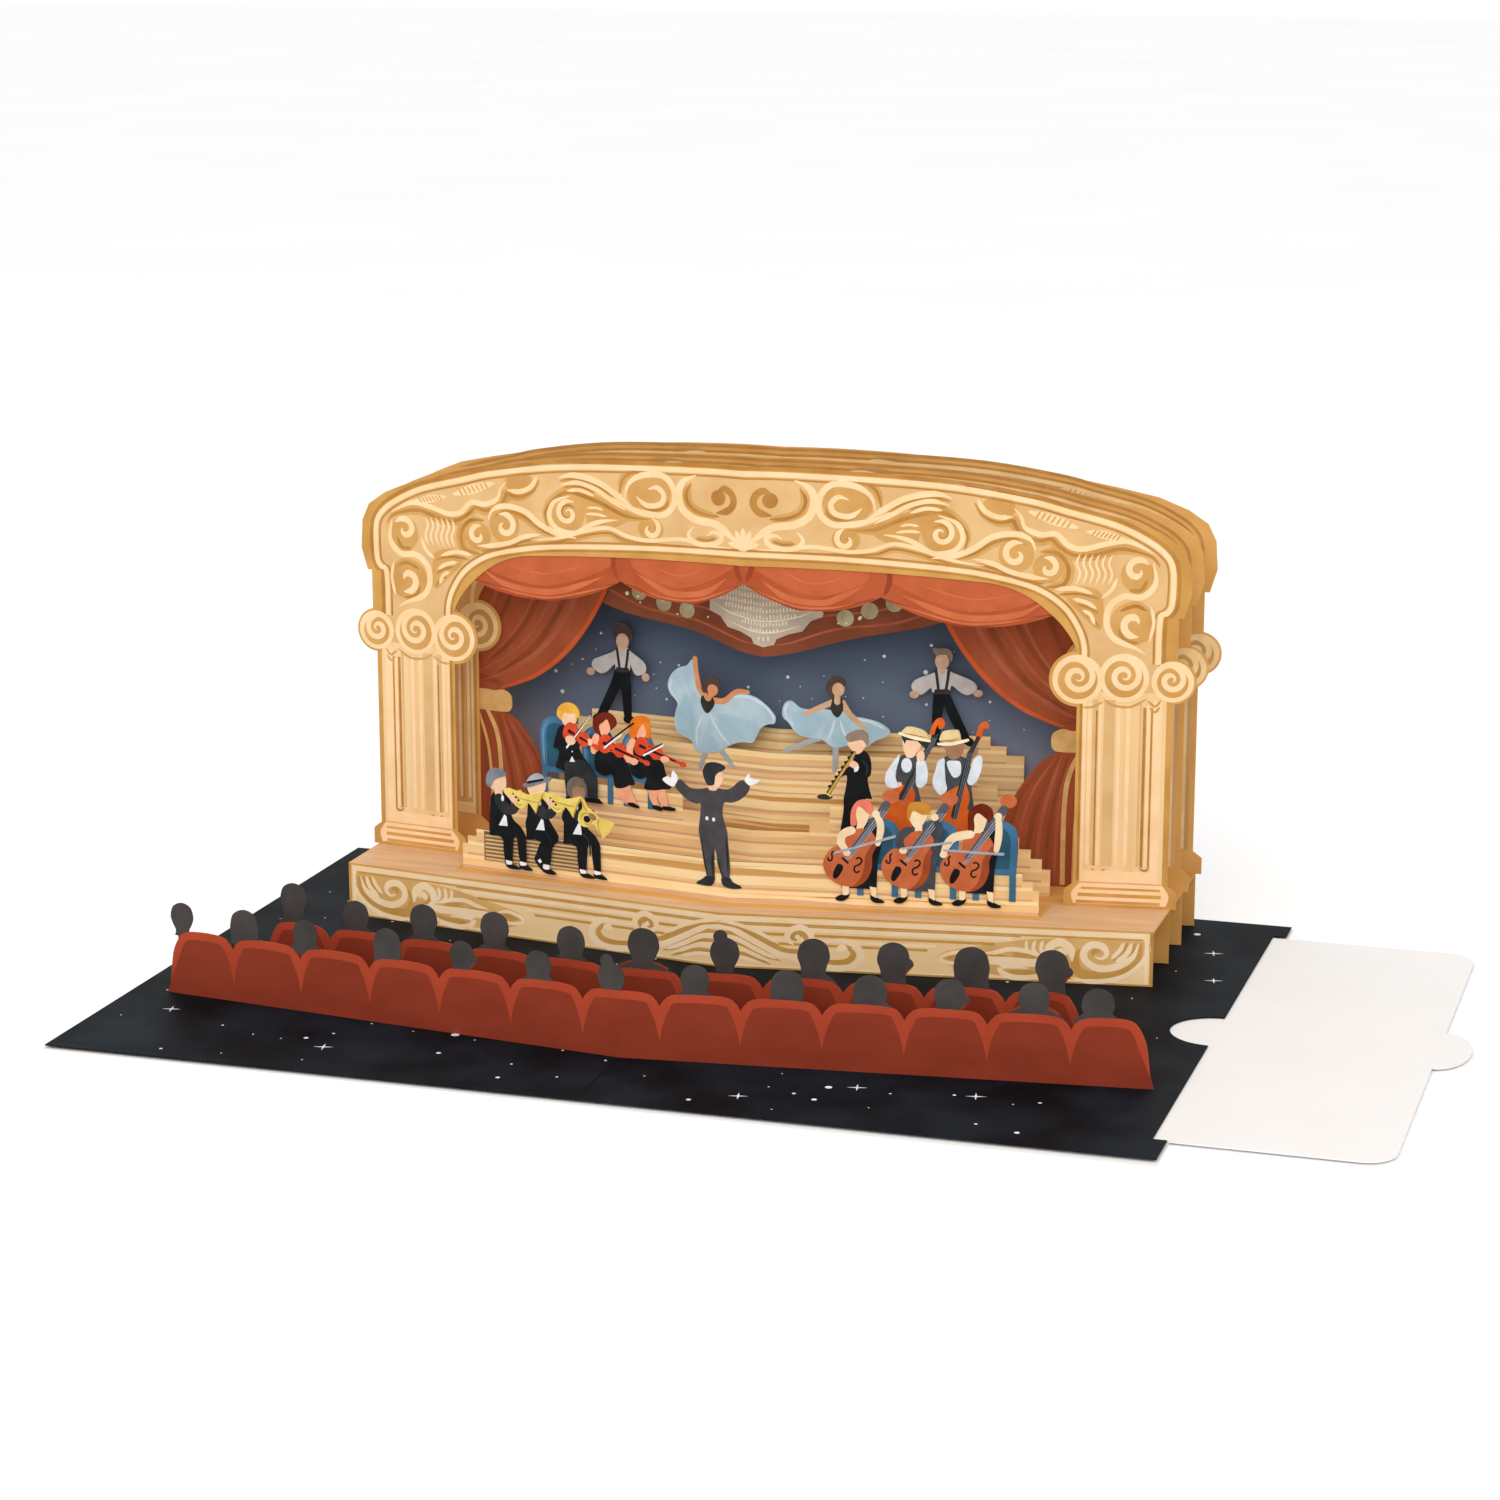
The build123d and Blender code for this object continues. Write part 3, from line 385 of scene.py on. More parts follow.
def standing_print(name, start, thick, layers, slope=STAGE_SLOPE, level=0):
    """Inks laid in order over both faces of an upright folded sheet, each a hair prouder."""
    mesh = bpy.data.meshes.new(name)
    whole = bmesh.new()
    for order, (material, shapes) in enumerate(layers):
        proud = LIFT * (order + 1 + level)
        build = bmesh.new()
        flat_faces(build, shapes)
        rear = pulled_side(build)
        for vert in build.verts:
            depth = start + slope * abs(vert.co.x)
            depth += thick + proud if vert in rear else -proud
            vert.co = Vector((vert.co.x, depth, vert.co.z)) * MM
        bmesh.ops.recalc_face_normals(build, faces=build.faces)
        for face in build.faces:
            face.material_index = order
        part = bpy.data.meshes.new("part")
        build.to_mesh(part)
        build.free()
        whole.from_mesh(part)
        bpy.data.meshes.remove(part)
        mesh.materials.append(material)
    whole.to_mesh(mesh)
    whole.free()
    return add_piece(name, mesh)


seat_paper = paper("seat_paper", "#8c3722", "#84321e", patch=14, stretch=(1, 1, 2.2))
rim_ink = paper("seat_rim_ink", "#ae442a", "#a53f27", patch=10)
head_ink = paper("audience_ink", "#474240", "#3b3735", patch=9)


def seat_prints(count):
    """Lighter rim of every seat back, running down into the pointed wedge between two seats."""
    rims = []
    half = count * SEAT_PITCH / 2
    for seat in range(count):
        sides = []
        for x, turn, outer in ((seat * SEAT_PITCH - half, 1, seat == 0),
                               ((seat + 1) * SEAT_PITCH - half, -1, seat == count - 1)):
            lean = 2.4 if outer else 0.0
            low = [(0.9, INNER_TOP + 3), (2.3, SEAT_TOP - 7)] if outer else [
                (0.0, SEAT_TOP - 10.8), (0.35, SEAT_TOP - 6.6)]
            top = [(1.4 + lean, SEAT_TOP - 3.0), (3.8 + lean, SEAT_TOP - 1.0)]
            sides.append([(x + turn * across, z) for across, z in low + top])
        rims += stroke(sides[0] + sides[1][::-1], 1.9, thin=(0.05, 0.05))
        if seat:
            x = seat * SEAT_PITCH - half
            wedge = [(0, 3), (0.7, 1.8), (1.9, 0.6), (3.9, 0.05), (2.8, 1.6), (0.9, 4.6), (0.3, 7.6), (0, 10.8)]
            rims.append([(x - across, SEAT_TOP - deep) for across, deep in wedge]
                        + [(x + across, SEAT_TOP - deep) for across, deep in wedge[-2:0:-1]])
    return rims


def heads(places):
    """Smooth heads over the cut ones: (x, half width, height above the seat, kind)."""
    shapes = []
    for x, wide, tall, kind in places:
        top = SEAT_TOP + tall
        neck = {"hair": 1.0, "broad": 0.7, "bun": 0.62, "slim": 0.6}.get(kind, 0.78) * wide
        middle = top - wide
        throat = max(middle - 1.15 * wide, SEAT_TOP - 0.6)
        foot = [(neck * 1.15, SEAT_TOP - 1.2)] * 2
        cheek = [(neck, throat), (max(neck, 0.86 * wide), middle - 0.62 * wide), (1.04 * wide, middle),
                 (0.78 * wide, middle + 0.82 * wide)]
        shapes.append(rounded(
            [(x - across, z) for across, z in foot] + [(x + across, z) for across, z in foot + cheek]
            + [(x, middle + 1.14 * wide)] + [(x - across, z) for across, z in reversed(cheek)]))
        if kind == "bun":
            shapes.append(dot_shape(x - 1.0, top + 0.6, 1.6, 14))
        if kind in ("broad", "plain"):
            out = 2.0 if kind == "broad" else 1.5
            shapes.append(rounded([
                (x - out * wide, SEAT_TOP - 1.35), (x - 0.62 * out * wide, SEAT_TOP + 0.9),
                (x, SEAT_TOP + 2.3), (x + 0.62 * out * wide, SEAT_TOP + 0.9),
                (x + out * wide, SEAT_TOP - 1.35), (x + 0.05, SEAT_TOP - 1.55)]))
        if kind == "profile":
            shapes.append(rounded([
                (x, middle), (x + wide, middle + 0.4), (x + wide + 1.0, middle - 1.2),
                (x + 0.8 * wide, middle - 2.2), (x, middle - 0.8 * wide)]))
    return shapes


ROW_HEADS = {
    "seat_row_front": (
        (-113.2, 2.9, 6.4, "slim"), (-96.3, 3.6, 6.6, "hair"), (-80.0, 3.1, 6.2, "plain"),
        (-58.5, 3.4, 6.8, "hair"), (-39.3, 2.9, 6.3, "profile"), (-20.0, 3.1, 6.4, "plain"),
        (-2.0, 3.1, 6.0, "bun"), (17.0, 3.1, 6.6, "plain"), (37.5, 3.5, 6.6, "hair"),
        (55.8, 3.6, 6.4, "plain"), (73.2, 3.3, 6.6, "profile"), (91.5, 3.3, 6.8, "broad"),
        (105.3, 3.4, 6.2, "plain")),
    "seat_row_back": (
        (-91.0, 3.4, 9.2, "plain"), (-74.3, 3.3, 6.9, "plain"), (-56.3, 3.4, 8.2, "plain"),
        (-37.8, 3.5, 8.6, "plain"), (-18.3, 3.4, 7.6, "plain"), (-0.2, 3.6, 9.3, "broad"),
        (18.5, 3.2, 8.2, "bun"), (38.6, 3.5, 9.0, "plain"), (56.5, 3.5, 9.1, "profile"),
        (73.9, 3.8, 9.0, "hair"), (91.7, 3.6, 9.3, "profile"))}

for row, (fold, count) in SEAT_FOLDS.items():
    dress(row, seat_paper)
    standing_print(
        row + "_print", fold, SHEET,
        [(head_ink, heads(ROW_HEADS[row])), (rim_ink, seat_prints(count))],
        SEAT_SLOPE)

# Stage box. A long folded strip makes the front, a sheet with slots makes the floor, and six
# cross ribs stand between them. All are tan card printed with gold scrollwork and boards.

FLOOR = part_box("stage_floor")[1].z / MM
APRON_FOLD = 13.5

gold_paper = paper("gold_edge_paper", "#cf9d55", "#bd8a45", patch=12)
apron_ink = paper("apron_ink", "#fcdaa4", "#f5ce95", patch=9, stretch=(0.3, 1, 1))
apron_cream_ink = paper("apron_cream_ink", "#ffe4bd", "#fddaab", patch=6)
apron_deep_ink = paper("apron_deep_ink", "#e5b674", "#d9a966", patch=6)
apron_brown_ink = paper("apron_brown_ink", "#d29f56", "#c79449", patch=6)
board_paper = paper("board_paper", "#dca45c", "#d0974e", patch=5, stretch=(0.12, 1, 1))
board_dark_ink = paper("board_dark_ink", "#d5a25f", "#c99552", patch=5, stretch=(0.12, 1, 1))
board_rose_ink = paper("board_rose_ink", "#deb78d", "#d1a67e", patch=5, stretch=(0.12, 1, 1))

dress("stage_apron", gold_paper)
dress("stage_floor", board_paper)
for side in ("left", "right"):
    for number in (1, 2, 3):
        dress(f"cross_rib_{side}_{number}", gold_paper)


def flipped(shapes):
    """The mirror images of the shapes across the fold."""
    return [[(-x, z) for x, z in reversed(points)] for points in shapes]


def mirrored(shapes):
    """The shapes and their mirror images."""
    return shapes + flipped(shapes)


def strokes(lines, grow=1.0):
    """Brush strokes from pairs of a line's points and its width."""
    return [piece for points, width in lines for piece in stroke(points, width * grow)]


apron_end = strokes((
    ([(-101.7, 12.4), (-101.5, 9.1), (-99.7, 6.1), (-96.5, 3.6), (-92.3, 2.2), (-87.4, 1.9), (-84, 2.6)], 1.2),
    ([(-99.6, 11.6), (-98.6, 8.8), (-97, 7.2), (-94.1, 5.6), (-90.2, 5.2), (-87.3, 6.9), (-86.9, 9.2),
      (-88.6, 10.9), (-91.2, 10.6), (-92.2, 8.9), (-91, 7.6), (-89.4, 8)], 1.7),
    ([(-98, 11.8), (-96.8, 9), (-94.2, 6.8)], 1.2), ([(-96.2, 11.9), (-95.2, 9.8), (-93.2, 7.6)], 1.0),
    ([(-84.2, 6.6), (-83.6, 9.8), (-81.2, 11.2), (-78.9, 10), (-78.6, 7.6), (-80.2, 6.6)], 2.0),
    ([(-83.4, 8.6), (-81.4, 9), (-80.6, 7.6)], 1.6), ([(-77.2, 11.4), (-76.8, 9.2), (-78, 7.6)], 0.9),
    ([(-75.4, 11.5), (-75, 9.2), (-76.4, 7.4)], 0.9), ([(-73.4, 11.4), (-73.4, 9.4), (-74.6, 7.8)], 0.8),
    ([(-81.6, 6.4), (-76.4, 5.8), (-69.3, 6), (-63.7, 6), (-60.6, 7)], 2.0),
    ([(-78, 7.2), (-73.6, 8.6), (-69.4, 8.9), (-66.2, 8), (-63.2, 7.6)], 1.1),
    ([(-79.4, 4.6), (-76.4, 2.6), (-71, 2), (-67.8, 2.9), (-67.4, 4.4), (-69.6, 4.8), (-74, 4.4)], 1.3),
    ([(-61, 6.9), (-57.6, 7.6), (-54.2, 6.8), (-53.2, 5.8), (-54.6, 4.9), (-58, 4.8), (-60.6, 5.4)], 0.9)))
apron_end_shade = strokes((
    ([(-100.2, 11.6), (-99.3, 8.1), (-96.5, 5.3), (-92.3, 3.6), (-88.1, 3.3), (-85.3, 4.6), (-84.9, 7.6),
      (-86, 9.8)], 1.6),
    ([(-98.9, 11.9), (-97.6, 8.8), (-95.2, 6.6)], 0.5), ([(-97.1, 11.9), (-95.8, 9.2), (-93.6, 7)], 0.5),
    ([(-90.6, 9.4), (-89.2, 9.4), (-89, 8.4)], 0.7),
    ([(-79.8, 8.8), (-79.8, 7), (-81.4, 5.7), (-84.3, 5.3)], 1.3),
    ([(-76, 6.6), (-74.2, 7.4), (-69.8, 8)], 0.6), ([(-77.6, 5.6), (-73, 6.8), (-69.4, 7.1)], 0.6),
    ([(-71, 6.2), (-66.6, 7.2), (-63.8, 6.7)], 0.6), ([(-71.8, 5.2), (-66.8, 6.1), (-64, 6)], 0.5),
    ([(-79, 4), (-75.4, 3.4), (-71, 3.3), (-68.8, 3.6)], 0.8)), 1.5)
apron_end_shade.append(dot_shape(-56.9, 6.1, 1.1, 16))
apron_end_shade.append(rounded([(-60.2, 6.2), (-57.4, 7.1), (-54.6, 6.1), (-57.4, 5.3)]))
apron_middle = strokes((
    ([(-26.6, 8.6), (-30.2, 9.2), (-33.6, 7.4), (-34.2, 4.6), (-32, 2.8), (-28.1, 2.2), (-22, 2.9),
      (-16, 4.4)], 1.6),
    ([(-31, 6.6), (-29.6, 7.4), (-28.6, 6.2)], 1.5),
    ([(-22.2, 7.2), (-22.3, 10.2), (-20, 12), (-17.2, 11), (-16.6, 8.8), (-18.2, 7.6)], 1.5),
    ([(-19.4, 9.2), (-18.6, 10)], 1.2),
    ([(-23.8, 5.4), (-18.6, 4.6), (-14.4, 5.2), (-8.8, 8), (-3.6, 10.7), (0, 11.4)], 1.5),
    ([(-14.6, 7.6), (-9.4, 10.4), (-3.8, 12.3), (0, 12.6)], 0.9),
    ([(0, 8.6), (-4.4, 8.4), (-8.8, 6.2), (-13.8, 3.8)], 1.2), ([(0, 6.2), (-5.4, 6), (-12, 3.2)], 1.0),
    ([(0, 3.6), (-5, 3.9), (-11, 2.4)], 0.9)))
apron_middle_shade = strokes((
    ([(-30.6, 7.9), (-32.4, 6), (-31.2, 4.2), (-28.1, 3.5), (-24.7, 3.7), (-20, 4)], 1.0),
    ([(-21, 8.2), (-20.8, 10.2), (-18.8, 10.6), (-17.9, 9.4), (-19, 8.7)], 0.9),
    ([(-22.6, 6.7), (-18.4, 5.9), (-14.9, 6.4), (-9.3, 9.2), (-3.8, 11.6), (0, 12)], 0.9),
    ([(0, 9.9), (-4.6, 9.6), (-9.6, 6.9), (-14.6, 4.6)], 0.7),
    ([(0, 7.5), (-5, 7.3), (-11, 4.7), (-15, 3.4)], 0.6), ([(0, 4.9), (-6, 4.8), (-12.6, 2.4)], 0.6)), 1.5)
apron_field = rounded([(-101, 12.2), (-100.2, 6.4), (-95.6, 2.6), (-84, 2.1), (-68, 2.3), (-55, 4.2),
                       (-53.4, 7.2), (-63, 9.6), (-78, 12)])
apron_lines = [bar(-101.4, 101.4, 12.9, 13.9), bar(-70, 70, 10.9, 11.9), bar(-52, 52, 8.4, 9.0)]
apron_lines += [bar(-101.8, -101.0, 1.9, 13.6), bar(101.0, 101.8, 1.9, 13.6), bar(-96, 96, 1.7, 2.0)]
apron_shades = [bar(-100.6, 100.6, 12.35, 12.8), bar(-72, 72, 12.0, 12.3), bar(-66, 66, 9.7, 10.4),
                bar(-50, 50, 7.4, 8.0)]
standing_print(
    "stage_apron_print", APRON_FOLD, SHEET,
    [(apron_ink, [bar(-102.2, 102.2, 1.6, 14.3)]), (apron_deep_ink, mirrored([apron_field])),
     (apron_brown_ink, apron_shades),
     (apron_cream_ink, apron_lines), (apron_brown_ink, mirrored(apron_end_shade + apron_middle_shade)),
     (apron_cream_ink, mirrored(apron_end + apron_middle))])


def floor_strip(x0, x1, y0, y1):
    """Outline, seen from above, of a board that follows the folded stage front."""
    return [(x0, y0 + STAGE_SLOPE * abs(x0)), (x1, y0 + STAGE_SLOPE * abs(x1)),
            (x1, y1 + STAGE_SLOPE * abs(x1)), (x0, y1 + STAGE_SLOPE * abs(x0))]


rose_boards = [floor_strip(-102.8, 0, 13.7, 19.4), floor_strip(0, 102.8, 13.7, 19.4),
               floor_strip(-102.8, -75, 19.4, 33), floor_strip(75, 102.8, 19.4, 33)]
dark_joints = []
boards = random.Random(5)
JOINT_ROWS, JOINT_START, JOINT_PITCH, JOINT_WIDE = 12, 14.9, 1.55, 0.16
for row in range(JOINT_ROWS):
    y = JOINT_START + row * JOINT_PITCH
    x = -100.0
    while x < 96:
        run = boards.uniform(9, 34)
        end = min(x + run, 101.5)
        if x * end > 0:
            dark_joints.append(floor_strip(x, end, y, y + JOINT_WIDE))
        x = end + boards.uniform(2, 16)
lying_print("stage_floor_boards", board_rose_ink, rose_boards, FLOOR - 0.1, FLOOR + 0.012)
lying_print("stage_floor_joints", board_dark_ink, dark_joints, FLOOR - 0.08, FLOOR + 0.03)

# Three arches. Each is one sheet of tan card, folded at the middle and cut with scroll
# capitals and columns. Gold leaf scrolls are printed on it. The rear one is a solid back sheet.

ARCH_FOLDS = {"arch_front": 33.3, "arch_middle": 49.5, "arch_back": 66.9}
ARCH_EDGE = [(0, 118.2), (-13, 118.1), (-46, 116.6), (-67, 113.6), (-77, 111.1), (-88, 108.2), (-95, 105),
             (-99.5, 101.8), (-101.6, 98), (-101.6, 90), (-100.5, 87.5), (-98.9, 86), (-98.7, 75)]
OPEN_EDGE = [(-81.3, 75), (-81.2, 79), (-79.7, 83.4), (-76, 88.5), (-69.4, 92.6), (-59.4, 95.1), (-48, 96.6),
             (-24, 98.1), (0, 98.6)]
arch_field = open_path(ARCH_EDGE) + [(-98.7, 66), (-81.3, 66)] + open_path(OPEN_EDGE)


def scroll(x, z, radius, start, hand, turns=1.6, inner=0.18):
    """Line of a scroll that winds in to its eye from the angle start, in degrees."""
    count = max(8, int(turns * 10))
    line = []
    for step in range(count + 1):
        part = step / count
        reach = radius * (1 - (1 - inner) * part ** 0.85)
        turn = math.radians(start) + hand * math.tau * turns * part
        line.append((x + reach * math.cos(turn), z + reach * math.sin(turn)))
    return line


def beside(points, shift):
    """A line's points, moved sideways; a negative shift moves to the right of its run."""
    sides = [sideways(points, place) for place in range(len(points))]
    return [(x + side[0] * shift, z + side[1] * shift) for (x, z), side in zip(points, sides)]


arch_lines = stroke(ARCH_EDGE, 1.25, 6, (1, 1)) + stroke(OPEN_EDGE, 1.1, 6, (1, 1))
arch_dark_lines = [piece for edge, inset, wide in (
    (ARCH_EDGE, 1.15, 0.45), (OPEN_EDGE, 1.0, 0.5), (OPEN_EDGE, -1.0, 0.4), (ARCH_EDGE, -1.3, 0.8))
    for piece in stroke(beside(edge, inset), wide, 6, (1, 1))]

scroll_lights = strokes((
    ([(-12.4, 116.9), (-15.8, 115.2), (-17, 112.2), (-15.9, 108.4), (-12.4, 106.2), (-7.3, 105.4), (-3.6, 103),
      (-1.2, 100.6)], 1.9),
    ([(-13, 104.4), (-14.4, 102.4), (-13, 100.6), (-9.6, 100.2), (-6.2, 101.2), (-5.8, 103), (-8, 103.4),
      (-9.4, 102.4)], 1.2),
    ([(-31.6, 109.8), (-30.4, 113.6), (-26.8, 115.9), (-21.4, 116.2), (-18.6, 113.6), (-18.2, 109.6),
      (-20.8, 106.8), (-25, 106.5), (-30.6, 107.7), (-35, 109.8)], 1.5),
    ([(-28.4, 110.6), (-25.6, 108.6), (-22, 109.2), (-21, 111.4), (-22.8, 113.2), (-25.2, 112.6)], 1.3),
    (scroll(-24.6, 102.9, 2.7, 80, -1, 0.85, 0.3), 1.3),
    ([(-49.6, 113.6), (-45.4, 114.6), (-39, 113.4), (-33.8, 110.6), (-29.4, 107.8)], 1.5),
    ([(-49, 111.9), (-44.6, 112.8), (-39.4, 111.5), (-35.2, 109.1), (-31.4, 107)], 1.1),
    ([(-47.4, 110.6), (-43.6, 111), (-39.8, 109.8)], 0.9), (scroll(-47.2, 105.0, 3.4, 60, 1, 1.25, 0.15), 1.3),
    ([(-46.4, 109.4), (-50.9, 107.6), (-52.3, 103.9), (-50, 100.9), (-45.1, 100.3), (-41, 102.6),
      (-37.6, 103.8), (-33.6, 104.4)], 1.2),
    ([(-42.4, 105.2), (-39.6, 105.4), (-36.4, 105)], 0.7), ([(-42, 106.7), (-39.4, 107), (-37.4, 106.5)], 0.6),
    ([(-69.4, 101.6), (-68.2, 104.2), (-64.6, 105.5), (-59.2, 104.6), (-55, 101.7), (-50.6, 99.9),
      (-45, 99)], 1.4),
    (scroll(-64.8, 100.5, 3.3, 120, -1, 1.0, 0.25), 1.5), (scroll(-72.4, 97.6, 2.6, 70, 1, 0.9, 0.25), 1.4),
    ([(-72.6, 94.9), (-69, 95.2), (-63.7, 96.3), (-59.4, 98.2), (-54.7, 99.2)], 1.2),
    ([(-57.4, 97.6), (-50.2, 98.6), (-42.2, 101.1), (-36, 102.2), (-31, 100.6), (-25.2, 100), (-16.6, 101),
      (-9, 100), (-3, 99.9)], 1.0),
    (scroll(-93.3, 97.5, 3.1, 150, -1, 0.95, 0.25), 1.5),
    ([(-97, 99.4), (-97.6, 94.6), (-94.6, 91.2), (-90.2, 91.2), (-87, 88.6), (-86.4, 84.6), (-88.2, 81),
      (-93.2, 78.8), (-95.6, 77.4)], 1.5),
    (scroll(-92.8, 84.6, 3.3, 250, 1, 0.8, 0.3), 1.7),
    ([(-97, 101.6), (-91.1, 104.4), (-85.5, 103.6), (-80.5, 102.3), (-77, 103.1), (-74.2, 105.7),
      (-70.5, 105.5), (-66.9, 107), (-65.9, 109.6), (-64.2, 111.6)], 1.3),
    ([(-64, 109.6), (-60.6, 109.4), (-57.4, 110.8), (-55.6, 113.6)], 1.2),
    ([(-83, 91.6), (-78.9, 92.8), (-74, 92.4)], 1.1), ([(-84, 88), (-81.6, 89.5), (-78.3, 90.3)], 1.0),
    ([(-83.6, 84.2), (-82.5, 86.6), (-80.6, 87.6)], 0.9), ([(-96.6, 89), (-97.4, 85), (-96.4, 80.4)], 0.8),
    ([(-88.6, 95.6), (-87.4, 92.8), (-85, 90.6)], 0.9)))
for wave in range(6):
    x = -87.4 + wave * 1.5
    scroll_lights += stroke([(x, 101.2), (x + 0.8, 98.9), (x, 96.4), (x + 0.9, 93.8)], 0.55)
hatches = []
for x0, z0, x1, z1, half in ((-90.5, 104.9, -81.0, 106.6, 1.0), (-79.4, 107.3, -67.4, 111.0, 1.3)):
    middle, height = (x0 + x1) / 2, (z0 + z1) / 2
    scroll_lights.append(rounded([(x0, z0), (middle, height - half), (x1, z1), (middle, height + half)]))
    for mark in range(2, 9):
        x, z = x0 + (x1 - x0) * mark / 10, z0 + (z1 - z0) * mark / 10
        hatches += stroke([(x - 0.7, z + 0.7 * half), (x + 0.5, z - 0.7 * half)], 0.42)

SHADE_LINES = (
    ([(-13.6, 115), (-15, 112.2), (-13.8, 109.2), (-10.2, 107.6), (-6.4, 107.4)], 0.9),
    ([(-33, 110.8), (-31.7, 115), (-27.4, 117.1), (-21.6, 117.2)], 0.7),
    ([(-19.8, 110.4), (-20.6, 108.6), (-23.6, 107.6), (-27.2, 108.4)], 0.7),
    ([(-25, 105.2), (-31.4, 105.6), (-37.7, 108.1), (-42.7, 109.6), (-46.9, 110.3), (-50.4, 108.6),
      (-53.4, 104.8), (-52.6, 101)], 1.0),
    ([(-49.4, 112.8), (-45, 113.7), (-39.2, 112.5), (-34.4, 109.9)], 0.5),
    ([(-48.6, 111.2), (-44, 111.9), (-39.6, 110.6)], 0.5), (scroll(-47.2, 105.0, 2.4, 30, 1, 1.2), 0.6),
    ([(-70.6, 101.4), (-74.8, 101), (-77.2, 97.6), (-76.2, 93.7), (-72, 92.9)], 1.0),
    ([(-71.6, 93.7), (-66, 94.6), (-60.4, 96.8), (-55.4, 98)], 0.7),
    ([(-67.6, 102.6), (-64.4, 104.2), (-59.8, 103.4), (-55.4, 100.7), (-51, 98.9)], 0.8),
    ([(-98.4, 98.6), (-97.2, 100.4), (-94.8, 101.6), (-89.1, 102.6), (-83.4, 101), (-78.5, 100.8),
      (-74.8, 102.9), (-73, 104.5), (-70.2, 104), (-66.3, 105.2), (-64.5, 107.6), (-64, 108.6), (-60.5, 108.1),
      (-56.9, 109.7), (-55, 112.6)], 0.9),
    ([(-95.6, 95.4), (-94.2, 92.8), (-91.4, 92.8)], 0.9), ([(-95.8, 87.8), (-93, 89), (-89.4, 87.6)], 0.9),
    ([(-89, 83.4), (-90.6, 80.8), (-94, 80)], 0.8), ([(-84.6, 90.4), (-80, 91.5), (-75, 91.2)], 0.6),
    ([(-84.6, 86.8), (-82.2, 88.2), (-79.4, 89)], 0.6), ([(-84.6, 83.6), (-83.4, 85.4), (-81.4, 86.3)], 0.5),
    ([(-57, 96.8), (-50, 97.7), (-42.4, 99.9), (-36, 101), (-31, 99.5), (-20, 99.4)], 0.5),
    (scroll(-24.6, 102.9, 1.8, 60, -1, 0.9), 0.5), ([(-12.4, 101.6), (-9.6, 101.3), (-7, 102.1)], 0.6))
curl = [(-6.9, 113), (-5, 114.2), (-3, 113), (-2.5, 110.8), (-4, 108.9), (-7, 108.2)]
scroll_shades = strokes(SHADE_LINES) + [dot_shape(-6.5, 111.9, 1.9, 16)] + stroke(curl, 1.7)
soft_shades = strokes([(points, 2.0 * width + 0.7) for points, width in SHADE_LINES])
disc_shades = [oval(-25.0, 111.6, 6.0, 4.8), oval(-47.2, 105.0, 4.6, 4.5),
               oval(-64.9, 100.6, 4.2, 4.4), oval(-72.4, 97.4, 3.6, 3.6), oval(-93.3, 96.4, 3.9, 4.2),
               oval(-92.6, 84.8, 5.4, 5.2), oval(-60.6, 111.6, 4.0, 2.9), oval(-24.6, 102.9, 3.4, 3.0),
               rounded([(-84.4, 92.4), (-78.6, 93.4), (-76.6, 90.8), (-80.6, 86.4), (-84.8, 83), (-85.6, 88)]),
               rounded([(-44, 108.6), (-38, 106.8), (-31, 104.6), (-37, 101.6), (-41.4, 101.8), (-42, 104)])]
shell = []
for leaf in range(-3, 4):
    turn = math.radians(90 + leaf * 24)
    tip = (5.0 - abs(leaf) * 0.3)
    shell += stroke([(0.3 * leaf, 99.7), (tip * 0.55 * math.cos(turn), 100 + tip * 0.55 * math.sin(turn)),
                     (tip * math.cos(turn), 100 + tip * math.sin(turn))], 1.2, thin=(0.4, 0.1))

flutes_light = [bar(-99.9, -97.9, 21.2, 66), bar(-97.2, -96.4, 25.2, 65), bar(-92.5, -91.5, 25.2, 65),
                bar(-90.2, -89.4, 25.2, 65), bar(-85.8, -85.1, 25.2, 65), bar(-83.4, -82.5, 25.2, 65),
                bar(-82.1, -81.4, 21.2, 66), bar(-99.9, -81.4, 21.0, 23.8)]
flutes_soft = [bar(-88.9, -86.3, 25, 66), bar(-84.9, -83.6, 25, 66), bar(-95.2, -94.6, 25, 66)]
flutes_dark = [bar(-97.75, -97.35, 25, 64.4), bar(-96.2, -95.5, 25, 64.4), bar(-84.8, -84.4, 25, 63.4),
               bar(-81.2, -80.6, 21, 66)]
flutes_dark += strokes((
    ([(-97.8, 24.9), (-96.7, 24.1), (-95.4, 24.8)], 0.5), ([(-97.4, 23.4), (-96.6, 22.8), (-95.6, 23.4)], 0.4),
    ([(-87.4, 24.2), (-85.6, 23.3), (-84, 24.2)], 0.5), ([(-86.6, 22.6), (-85.2, 22.1), (-84, 22.6)], 0.4)))
base_cream = [rounded([(-102, 15.4), (-102.6, 18), (-101, 20.6), (-101, 20.6), (-81.4, 20.6), (-81.4, 20.6),
                       (-79.4, 18), (-80, 15.4), (-80, 15.4), (-102, 15.4)])]
base_bars = [bar(-100.6, -81.8, 19.0, 19.6), bar(-100.8, -81, 17.2, 18.1), bar(-100.6, -80.6, 15.5, 16.3)]
capital_discs = [
    dot_shape(-102.2, 70.9, 5.0, 26), dot_shape(-90.8, 71.5, 5.9, 28), dot_shape(-79.9, 70.8, 6.0, 28)]
capital_hollows = [
    dot_shape(-102.2, 70.7, 3.7, 26), dot_shape(-90.8, 71.3, 4.6, 28), dot_shape(-79.9, 70.6, 4.7, 28)]
